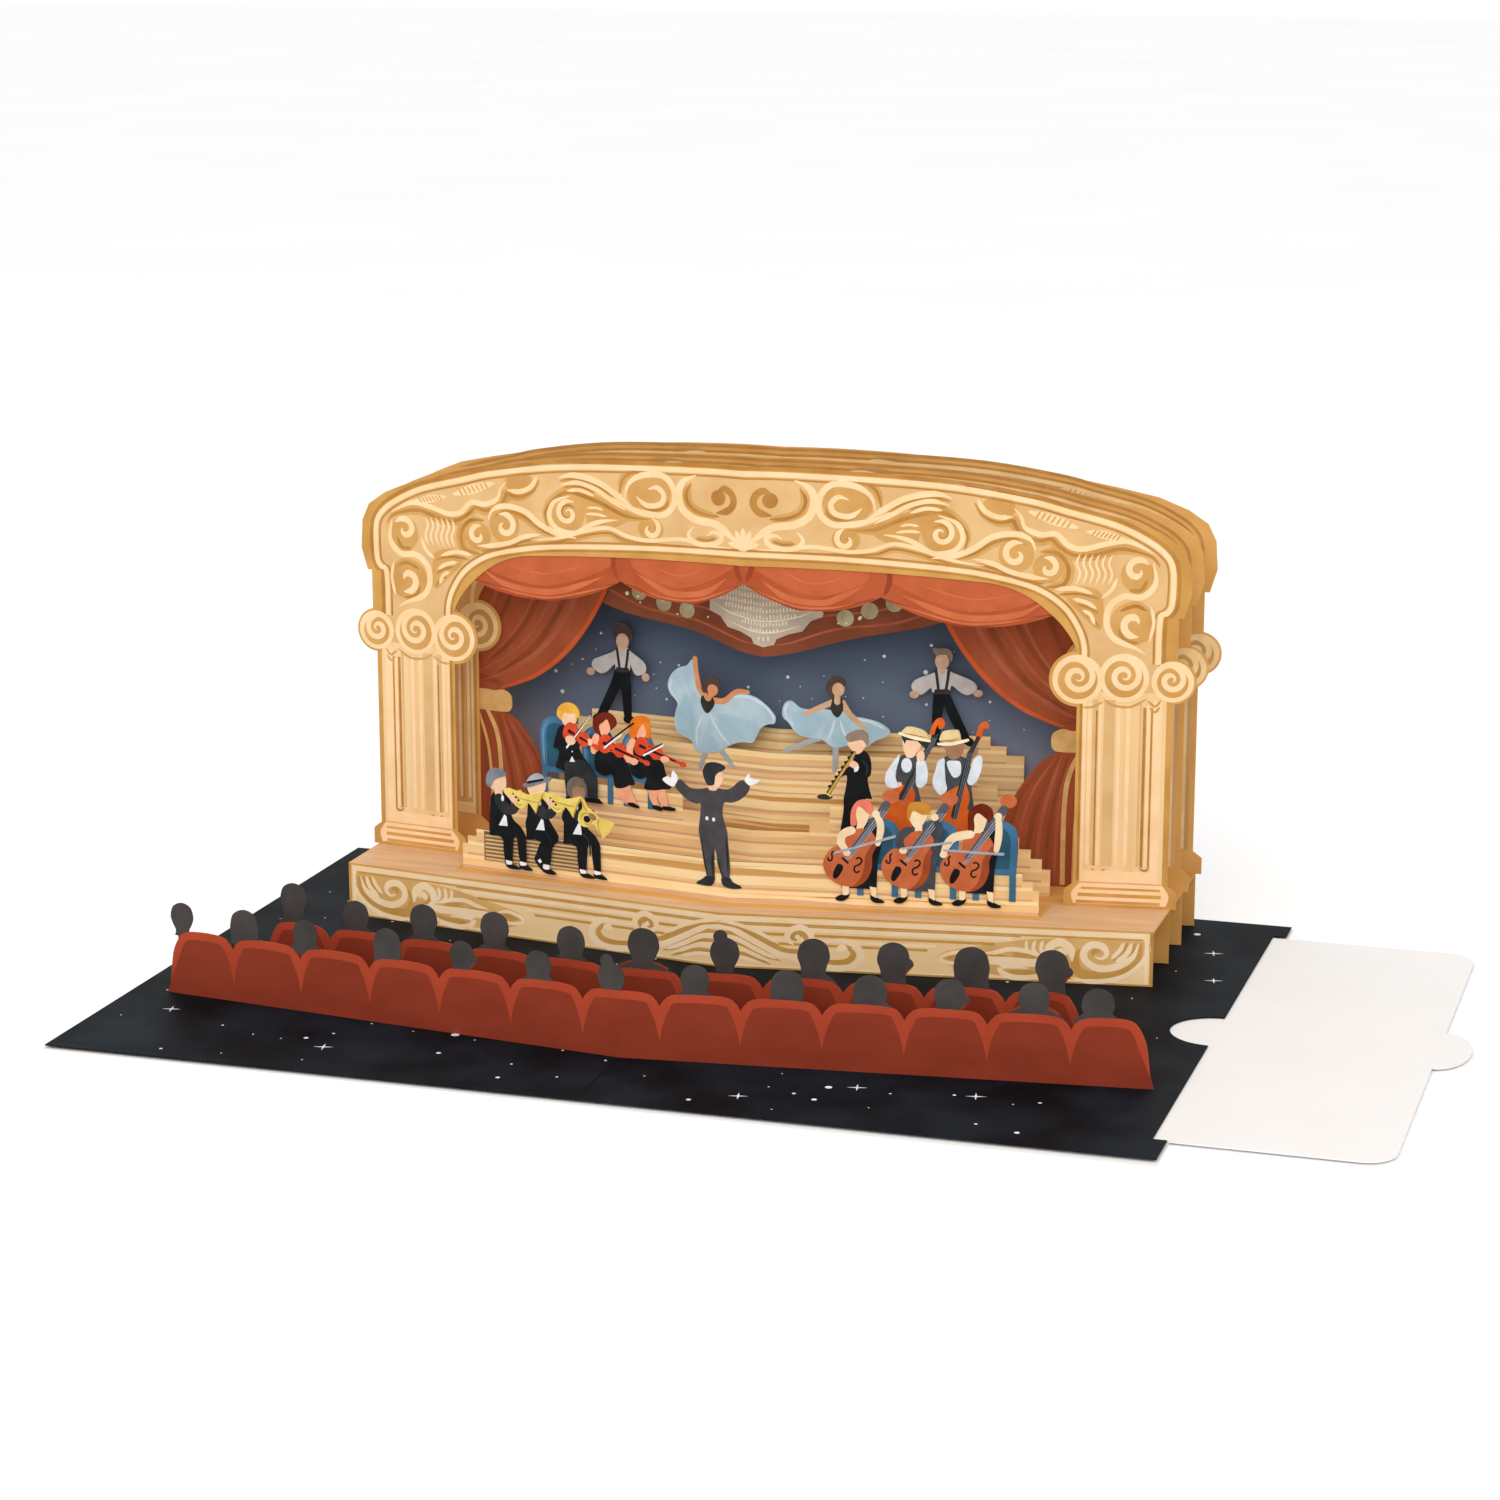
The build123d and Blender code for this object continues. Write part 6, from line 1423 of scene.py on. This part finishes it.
def cello_shapes(x):
    """Wood, side, black parts, neck, strings, scroll of a cello; x shifts the first one."""
    wood = moved([
        rounded([(22.6, 25.8), (23.4, 28.1), (25.1, 29.9), (27.6, 30.5), (28, 32.8), (29.6, 34.2), (31.6, 34.8),
                 (33.6, 34.5), (34.9, 33), (35.2, 31.2), (34, 28.4), (33.8, 25.1), (32.6, 22.2), (30.5, 20.4),
                 (27.6, 20.3), (24.9, 21.5), (23.2, 23.4)], 4)], x)
    side = moved([
        rounded([(35.3, 32.2), (35.5, 30.8), (34.4, 28.2), (34.3, 25.1), (33.2, 22.2), (31.2, 20.5),
                 (29.8, 20.3), (31.2, 21.8), (32.4, 24.6), (32.8, 28), (34.2, 30.6)], 4)], x)
    marks = moved(stroke([(30.5, 27.2), (31.3, 27.5), (31.9, 26.8), (31.3, 25.8), (30.3, 25.3), (30.1, 24.3),
                          (30.7, 23.8), (31.4, 24.2)], 0.42, thin=(0.8, 0.8))
                  + stroke([(25.2, 28.9), (24.7, 28.3), (24.8, 27.2), (24.5, 26.5), (23.9, 26.6),
                            (23.8, 27.3)], 0.42, thin=(0.8, 0.8))
                  + stroke([(27.1, 27.4), (28.7, 26)], 0.6, thin=(0.8, 0.8), steps=2) + [
                      rounded([(26.1, 25.7), (27.3, 25.4), (27.3, 24.2), (26, 22.2), (25.1, 22.2),
                               (25.1, 23.6)], 3)], x)
    neck = moved([limb([(29.2, 28.6), (33.4, 34.6), (37.6, 40.9)], [1.35, 1.6, 2.0], 2)], x)
    lines = moved([
        limb([(28.2 + off, 27), (36.6 + off * 1.6, 39.3)], [0.16, 0.16], 2) for off in (-0.1, 0.35, 0.8)], x)
    head = moved([oval(38.6, 42.9, 2.0, 1.7, 18)], x)
    return wood, side, marks, neck, lines, head


CELLISTS = (
    (
        "cellist_one", coral_hair_ink, black_ink, pale_skin_ink,
        [(29.2, 35.6), (29.2, 38.8), (30.1, 40.9), (31.4, 41.8), (33.1, 41.8), (34.3, 40.3), (34.4, 38.8),
         (33.4, 38.4), (32, 39.7), (30.9, 40.1), (30.4, 38.2), (30.7, 36.4), (30.2, 35.4)],
        [(30.5, 40), (32.1, 40), (33.4, 38.7), (33.1, 36.6), (32.1, 35), (30.9, 36.2), (30.3, 37.8)],
        [(29.4, 34.2), (27.4, 33.2), (26.9, 31.2), (28.3, 28.9)],
        [(35.2, 38.4), (36.1, 36.6), (36.3, 34.4), (35.7, 31.2)], [(25.3, 28.4), (39.7, 33.1)]),
    (
        "cellist_two", honey_hair_ink, vest_ink, vest_ink,
        [(28.6, 39), (28.8, 40.6), (29.8, 41.7), (32.4, 41.8), (34, 41), (34, 39.2), (32.4, 38.7), (30.2, 39.6),
         (29.4, 38), (28.9, 37)],
        [(29.9, 40.1), (32.4, 39), (33.4, 38.6), (32.4, 36.3), (31.3, 35), (29.9, 36.2), (29.2, 38)],
        [(28.6, 34.6), (27.2, 33.2), (27, 31.4), (27.8, 30)],
        [(35.2, 38.2), (36.3, 35.4), (36.2, 33), (35, 30.4)], [(27.6, 30.2), (39.2, 32.2)]),
    (
        "cellist_three", red_hair_ink, black_ink, pale_skin_ink,
        [(29.3, 34.9), (29.1, 38.4), (29.4, 40.2), (31, 41.6), (32.8, 42), (34.7, 40.8), (35, 38.8),
         (34.3, 37.4), (33.4, 38.4), (31.6, 39.7), (30.6, 38.6), (30.7, 36.6), (30.2, 34.7)],
        [(31.2, 39.8), (33.5, 38.6), (33.4, 37.2), (32.6, 35.1), (31.4, 35.8), (30.5, 37.3)],
        [(29.8, 34.4), (26, 33.5), (24.3, 31.6), (23.5, 29.4)],
        [(36.3, 39), (36.5, 36.4), (36.4, 33.6), (36, 30.8)], [(23.6, 30.2), (37.6, 29.8)]))
for number, cellist in enumerate(CELLISTS):
    name, hair, dress_tone, sleeve_tone, hair_line, face, left_arm, right_arm, bow = cellist
    shift = number * CELLO_PITCH
    wood, side, marks, neck, lines, head = cello_shapes(shift)
    gown = moved([
        rounded([(29.2, 34.8), (31, 36.2), (33, 36.2), (35.4, 35.6), (36.6, 33), (36.2, 29.6), (35.6, 26),
                 (35.4, 19.7), (35.4, 19.7), (27, 19.9), (27, 19.9), (28.2, 27)], 3)], shift)
    legs = moved([
        [(27.2, 20.6), (28.9, 20.6), (28.7, 18), (27.4, 18)],
        [(33.8, 20.4), (35.4, 20.2), (35.4, 17.6), (34.4, 17.6)]], shift)
    pumps = moved([
        rounded([(25.6, 17.2), (26.9, 18), (28, 17.9), (28.9, 18.3), (28.6, 17.3), (27.4, 16.5),
                 (26, 16.6)], 3),
        rounded([(34, 18.2), (35.2, 17.7), (37.2, 16.8), (36.8, 16.4), (35.2, 16.4), (34.2, 17)], 3)], shift)
    arms = moved([limb(left_arm, [2.0, 2.0, 1.9, 1.4])], shift)
    figure(name, STAIR_FRONT - 2 * FIGURE_SHEET, [
        (dress_tone, gown),
        (pale_skin_ink, legs + moved([limb([(31.6, 37), (31.4, 34.6)], [1.4, 1.8], 2)], shift)),
        (black_ink, pumps), (pale_skin_ink, moved([rounded(face, 4)], shift)),
        (hair, moved([rounded(hair_line, 4)], shift)), (cello_ink, wood + head), (cello_shade_ink, side),
        (black_ink, marks), (neck_ink, neck), (string_ink, lines),
        (sleeve_tone, arms + moved([limb(right_arm, [1.3, 1.6, 1.7, 1.3])], shift)),
        (pale_skin_ink, moved([
            oval(left_arm[-1][0], left_arm[-1][1] - 0.3, 0.95, 0.8, 12),
            oval(right_arm[0][0], right_arm[0][1] + 0.1, 0.95, 0.95, 12)], shift)),
        (string_ink, moved([limb(bow, [0.5, 0.65], 2)], shift))])

# Two ballerinas in pale blue on the third step, and two dancers with braces on the top one.
# They are glued cut-outs of thin card, and the folds of the gowns are printed in three blues.

gown_ink = paper("gown_ink", "#bcd2db", "#a9c4d0", patch=5)
gown_shade_ink = paper("gown_shade_ink", "#acc9d6", "#a1c0ce", patch=5)
gown_light_ink = paper("gown_light_ink", "#d6e4ea", "#c9dae1", patch=4)
stocking_ink = paper("stocking_ink", "#aeb4b6", "#9fa6aa")
tan_skin_ink = paper("tan_skin_ink", "#df9a6c", "#d28a5b")
dusk_hair_ink = paper("dusk_hair_ink", "#55463f", "#483a34", patch=2)
dusk_skin_ink = paper("dusk_skin_ink", "#d9b08c", "#cca27d")
bodice_ink = paper("bodice_ink", "#3a3835", "#2f2d2b", patch=2)
STAIR_REAR = STAIRS["stair_rear"][0]
STAIR_TOP = STAIRS["stair_top"][0]

figure("ballerina_one", STAIR_REAR - FIGURE_SHEET, [
    (stocking_ink, [
        limb([(-18, 43.4), (-18.9, 40.8), (-19.7, 38.3)], [1.5, 1.2, 0.9]),
        limb([(-14.6, 44), (-12.6, 41.8), (-10.6, 39.4)], [1.6, 1.3, 0.9])]),
    (gown_ink, [
        rounded([(-21.7, 65.9), (-23.4, 64.2), (-25, 63.7), (-26.8, 62.6), (-28.2, 60.7), (-28.7, 58.4),
                 (-27.9, 56.4), (-26.4, 55), (-26, 53.8), (-26.7, 51.4), (-26.8, 48.8), (-25.8, 46.6),
                 (-23.4, 45.6), (-22, 44.8), (-21.2, 42.9), (-18.8, 42.2), (-16, 42.5), (-14.1, 43.1),
                 (-11.8, 44.6), (-9.5, 45.7), (-7.2, 46.1), (-5.2, 46.2), (-4.1, 48), (-2.9, 50.2),
                 (-0.8, 51.4), (0.6, 51.6), (1, 53.1), (0.1, 54.7), (-1.9, 56.5), (-4.4, 57.9), (-7.2, 58.5),
                 (-9.8, 58.2), (-12.5, 56.4), (-15.2, 55.6), (-18.4, 56.2), (-20.2, 58.4), (-20.9, 62)], 3)]),
    (gown_shade_ink, [
        rounded([(-15.2, 52.4), (-12, 49.2), (-8.6, 47), (-5.4, 46.5), (-4.3, 48), (-3.3, 50), (-6, 51.8),
                 (-11, 52.6)], 4),
        rounded([(-16.8, 51.6), (-15.8, 46.6), (-14.6, 43.4), (-17.4, 42.8), (-19.6, 43), (-18.6, 47)], 4),
        rounded([(-23.6, 57), (-25.4, 53.4), (-26.2, 50), (-25.2, 47.2), (-22.6, 46.4), (-21.2, 51)], 4)]
     + stroke([(-23.6, 62.6), (-22.6, 58.6), (-19.8, 55.6)], 0.5)
     + stroke([(-20.2, 52.6), (-22.2, 48.4), (-22, 45.4)], 0.4)),
    (gown_light_ink, stroke([(-27.6, 60.4), (-28, 58), (-27, 56.2), (-25.4, 54)], 0.5)
     + stroke([(-12, 57), (-6.6, 57.8), (-2, 56), (0.4, 53.4), (0.2, 52)], 0.7)
     + stroke([(-17.2, 52.6), (-14.4, 48), (-11.6, 45)], 0.6)
     + stroke([(-18.6, 52.4), (-20.6, 48), (-20.6, 43.6)], 0.6)),
    (tan_skin_ink, [
        limb([(-21.1, 66.2), (-20.7, 62.4), (-19.8, 58.6), (-18, 56.6)], [1.3, 1.2, 1.5, 1.6]),
        limb([(-16.2, 56), (-13, 56.1), (-9.6, 58.8), (-6.4, 59)], [1.5, 1.5, 1.3, 0.9]),
        limb([(-16.5, 58), (-17.2, 55.4)], [1.4, 1.6], 2)]),
    (dusk_hair_ink, [
        rounded([(-19.3, 58.7), (-18.9, 60.6), (-17.6, 61.8), (-15.8, 62.1), (-14.4, 61), (-14.3, 59.6),
                 (-15.4, 59.9), (-17, 59.6), (-17.6, 58.6), (-18.6, 57.6)], 4)]),
    (tan_skin_ink, [oval(-16.2, 58.6, 1.45, 1.5, 16)]),
    (bodice_ink, [
        rounded([(-19.3, 56.6), (-18.8, 57), (-18.2, 56), (-17.4, 55.6), (-16.7, 56), (-16.3, 56.8),
                 (-15.6, 55.2), (-16.6, 53.4), (-17.6, 52.5), (-18.6, 53.1), (-19.5, 55)], 3)])])

figure("ballerina_two", STAIR_REAR - FIGURE_SHEET, [
    (stocking_ink, [
        limb([(15.9, 47), (15.9, 43.6), (15.6, 40.3)], [1.6, 1.4, 1.0]),
        limb([(12.2, 48.6), (7.4, 46.6), (3.2, 44.8)], [1.6, 1.3, 0.9])]),
    (gown_ink, [
        rounded([(4.4, 57.7), (3.2, 56.9), (2.6, 54.9), (2.9, 53.3), (4.2, 52.1), (5.4, 50.3), (6.9, 49),
                 (9.2, 48.4), (11.4, 48.3), (12.8, 47.9), (14.6, 46.5), (16.6, 46.1), (18.6, 46.6),
                 (21.3, 46.3), (23.8, 46.6), (25.8, 48.2), (28.1, 49.1), (29.3, 50.4), (29, 51.3), (27.4, 52.5),
                 (25.4, 53.3), (22.7, 53.9), (20.6, 54.2), (18.6, 55.4), (16.2, 55.2), (13.4, 55.8), (10, 55.6),
                 (7.2, 55.9), (5.6, 57.2)], 3)]),
    (gown_shade_ink, [
        rounded([(5.2, 54.8), (9, 54.6), (12.4, 54), (12, 50.6), (10.4, 48.8), (7.2, 49.4), (5.8, 51)], 4),
        rounded([(23.2, 52.8), (26.4, 51.6), (28.4, 50.4), (25.4, 49), (22.4, 49.6)], 4),
        rounded([(15.2, 50), (15.6, 47), (18.4, 47), (20.6, 47.6), (18.6, 50)], 4)]
     + stroke([(15, 53.6), (13.6, 50.6), (12.4, 48.4)], 0.4)
     + stroke([(17.6, 53.4), (19.4, 50.6), (22.2, 48.2)], 0.4)),
    (gown_light_ink, stroke([(4.4, 57.2), (3.4, 55.6), (3.8, 53.2), (5.6, 51.2)], 0.6)
     + stroke([(20.8, 53.6), (24.6, 53), (28.2, 51.2)], 0.6)
     + stroke([(15.8, 53.4), (14.8, 50), (13.8, 47.6)], 0.5)
     + stroke([(17, 53.2), (18, 50), (19.8, 47.4)], 0.5)),
    (dusk_skin_ink, [
        limb([(15, 57.6), (11.6, 56), (8.4, 54.4)], [1.5, 1.4, 1.1]),
        limb([(17.6, 57.6), (19.4, 54.6), (23.2, 51.3)], [1.4, 1.5, 1.1]),
        limb([(16.3, 60), (16.2, 56.6)], [1.3, 1.5], 2)]),
    (dusk_hair_ink, [
        rounded([(13.6, 62), (14.4, 63.7), (16, 64.3), (17.6, 63.8), (18.4, 62.2), (17.6, 61.8), (16.4, 62.8),
                 (15.2, 61.6), (15, 60), (15.4, 58.9), (14.2, 59.2), (13.4, 60.7)], 4)]),
    (dusk_skin_ink, [oval(16.5, 60.9, 1.5, 1.75, 16)]),
    (bodice_ink, [
        rounded([(15.1, 58.6), (15.4, 58.5), (15.6, 57.4), (16.3, 57), (17, 57.4), (17.2, 58.5), (17.5, 58.4),
                 (17.8, 56.4), (17.3, 54.8), (16.4, 53.8), (15.3, 54.6), (14.7, 56.2)], 3)])])

shirt_ink = paper("shirt_ink", "#d0cbc6", "#c0bab5")
pale_hand_ink = paper("pale_hand_ink", "#d9b699", "#caa487", patch=2)


def braces(x, z):
    """Two braces and a waistband on a shirt whose collar is at (x, z)."""
    return (stroke([(x - 1.6, z - 0.2), (x - 1.2, z - 3), (x - 0.9, z - 5.4)], 0.7, thin=(1, 1))
            + stroke([(x + 1.6, z - 0.2), (x + 1.3, z - 3), (x + 0.9, z - 5.4)], 0.7, thin=(1, 1))
            + [[(x - 1.8, z - 5.2), (x + 1.7, z - 5.1), (x + 1.9, z - 6.3), (x - 2.1, z - 6.5)]])


figure("dancer_left", STAIR_TOP - FIGURE_SHEET, [
    (shirt_ink, [
        rounded([(-46.2, 64.4), (-49.8, 62.8), (-52, 61.7), (-52.3, 59.8), (-50, 58.4), (-48, 59.1),
                 (-45.8, 61.2), (-45.4, 59.6), (-41.7, 59.8), (-41.5, 61.6), (-40.4, 59.3), (-39.1, 58.8),
                 (-37.1, 59.9), (-37.2, 61.9), (-39, 63.4), (-41.3, 64.8), (-42.3, 65.7), (-43.7, 65.9),
                 (-45.1, 65.5)], 3)]),
    (pale_hand_ink, [
        oval(-52.8, 58.6, 1.2, 1.0, 12), oval(-37.1, 58.5, 1.1, 1.1, 12),
        limb([(-43.6, 67), (-43.6, 65)], [1.5, 1.2], 2)]),
    (dusk_hair_ink, [oval(-43.5, 69.0, 2.7, 3.1, 22)]), (pale_hand_ink, [oval(-43.6, 67.3, 1.8, 2.1, 18)]),
    (black_ink, [
        rounded([(-45.9, 59.6), (-45.9, 59.6), (-41.7, 59.8), (-41.7, 59.8), (-41.3, 54), (-41.2, 47.4),
                 (-41.2, 47.4), (-43.2, 47.2), (-43.2, 47.2), (-43.7, 51.6), (-44.3, 55), (-46.6, 51),
                 (-48.4, 47.6), (-48.4, 47.6), (-51.2, 47.3), (-51.2, 47.3), (-49, 52), (-47, 56.2)], 3),
        rounded([(-51.4, 47.6), (-52.3, 46.3), (-51.6, 45.6), (-50, 46), (-48.4, 47.6)], 3),
        rounded([(-43.3, 47.6), (-43.2, 46.3), (-41.4, 46), (-40, 46.8), (-41.1, 47.8)], 3)]),
    (bodice_ink, braces(-43.6, 65.6))])
figure("dancer_right", STAIR_TOP - FIGURE_SHEET, [
    (shirt_ink, [
        rounded([(38.8, 64.8), (34.6, 63.1), (33.2, 61.8), (33.2, 60.3), (35.4, 58.9), (37.8, 60.8),
                 (38.4, 59.6), (42.1, 59.8), (42.9, 61.6), (45, 60), (47.1, 59.3), (49.1, 60.8), (48.4, 62.6),
                 (45.8, 63.8), (43, 64.9), (41.9, 65.6), (40.6, 65.9), (39.4, 65.8)], 3)]),
    (pale_hand_ink, [
        oval(33.7, 59.0, 1.2, 1.0, 12), oval(49.4, 59.8, 1.2, 0.9, 12),
        limb([(40.6, 67), (40.6, 65)], [1.4, 1.2], 2)]),
    (pale_hand_ink, [oval(40.5, 67.6, 1.75, 2.1, 18)]),
    (oboe_hair_ink, [
        rounded([(38.1, 70.9), (39.6, 70.8), (41.2, 71), (42.5, 70.4), (43.1, 69), (42.6, 67.6), (42.1, 69.1),
                 (40.4, 69.3), (38.9, 69.2)], 3)]),
    (black_ink, [
        rounded([(38.5, 59.6), (38.5, 59.6), (42.2, 59.8), (42.2, 59.8), (44.8, 54.2), (47.6, 48.2),
                 (47.6, 48.2), (45.4, 47.9), (45.4, 47.9), (42.6, 53), (41.1, 56.2), (40.4, 52.2), (40.1, 47.2),
                 (40.1, 47.2), (38.1, 47), (38.1, 47), (38.2, 54)], 3),
        rounded([(45.6, 48.2), (46.6, 46.6), (48.4, 46.1), (48.9, 46.6), (47.8, 48.4)], 3),
        rounded([(38.2, 47.4), (38.3, 46.2), (40.6, 46), (41.2, 46.6), (40.2, 47.6)], 3)]),
    (bodice_ink, braces(40.6, 65.7))])

# Floor, light and camera of the picture. The card lies on a white ground, and two soft lamps
# and a white world light it at a plain level.

floor_mesh = bpy.data.meshes.new("table_top")
TABLE_HALF = 6.0
floor_mesh.from_pydata(
    [(x, y, 0) for x, y in bar(-TABLE_HALF, TABLE_HALF, -TABLE_HALF, TABLE_HALF)], [], [(0, 1, 2, 3)])
table_top = bpy.data.objects.new("table_top", floor_mesh)
bpy.context.collection.objects.link(table_top)
floor_mesh.materials.append(paper("table_white", "#fdfdfd", "#fbfbfb", patch=200, rough=0.8, tooth=0.0))
table_top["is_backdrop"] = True

world = bpy.data.worlds.new("studio")
world.use_nodes = True
world.node_tree.nodes["Background"].inputs["Color"].default_value = (1, 1, 1, 1)
world.node_tree.nodes["Background"].inputs["Strength"].default_value = 1.0
bpy.context.scene.world = world


def soft_light(name, place, aim, size, power):
    """A square studio light turned towards a point."""
    lamp = bpy.data.lights.new(name, "AREA")
    lamp.size = size
    lamp.energy = power
    lamp_object = bpy.data.objects.new(name, lamp)
    lamp_object.location = place
    lamp_object.rotation_euler = (Vector(aim) - Vector(place)).to_track_quat("-Z", "Y").to_euler()
    bpy.context.collection.objects.link(lamp_object)


soft_light("key_light", (-0.5, -1.0, 1.1), (0, 0, 0.04), 0.9, 2.0)
soft_light("fill_light", (0.3, -1.25, 0.75), (0, 0, 0.04), 0.9, 6.5)

CAMERA_AZ = math.radians(17.386)
CAMERA_EL = math.radians(13.704)
camera_data = bpy.data.cameras.new("camera")
camera_data.lens = 86.11
camera_data.sensor_width = 36
camera = bpy.data.objects.new("camera", camera_data)
camera.location = (0.25474, -0.77459, 0.25695)
look = Vector((-math.sin(CAMERA_AZ) * math.cos(CAMERA_EL), math.cos(CAMERA_AZ) * math.cos(CAMERA_EL),
               -math.sin(CAMERA_EL)))
camera.rotation_euler = look.to_track_quat("-Z", "Y").to_euler()
camera_data.clip_start = 0.05
bpy.context.collection.objects.link(camera)
bpy.context.scene.camera = camera
bpy.context.scene.view_settings.view_transform = "Standard"

low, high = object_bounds()
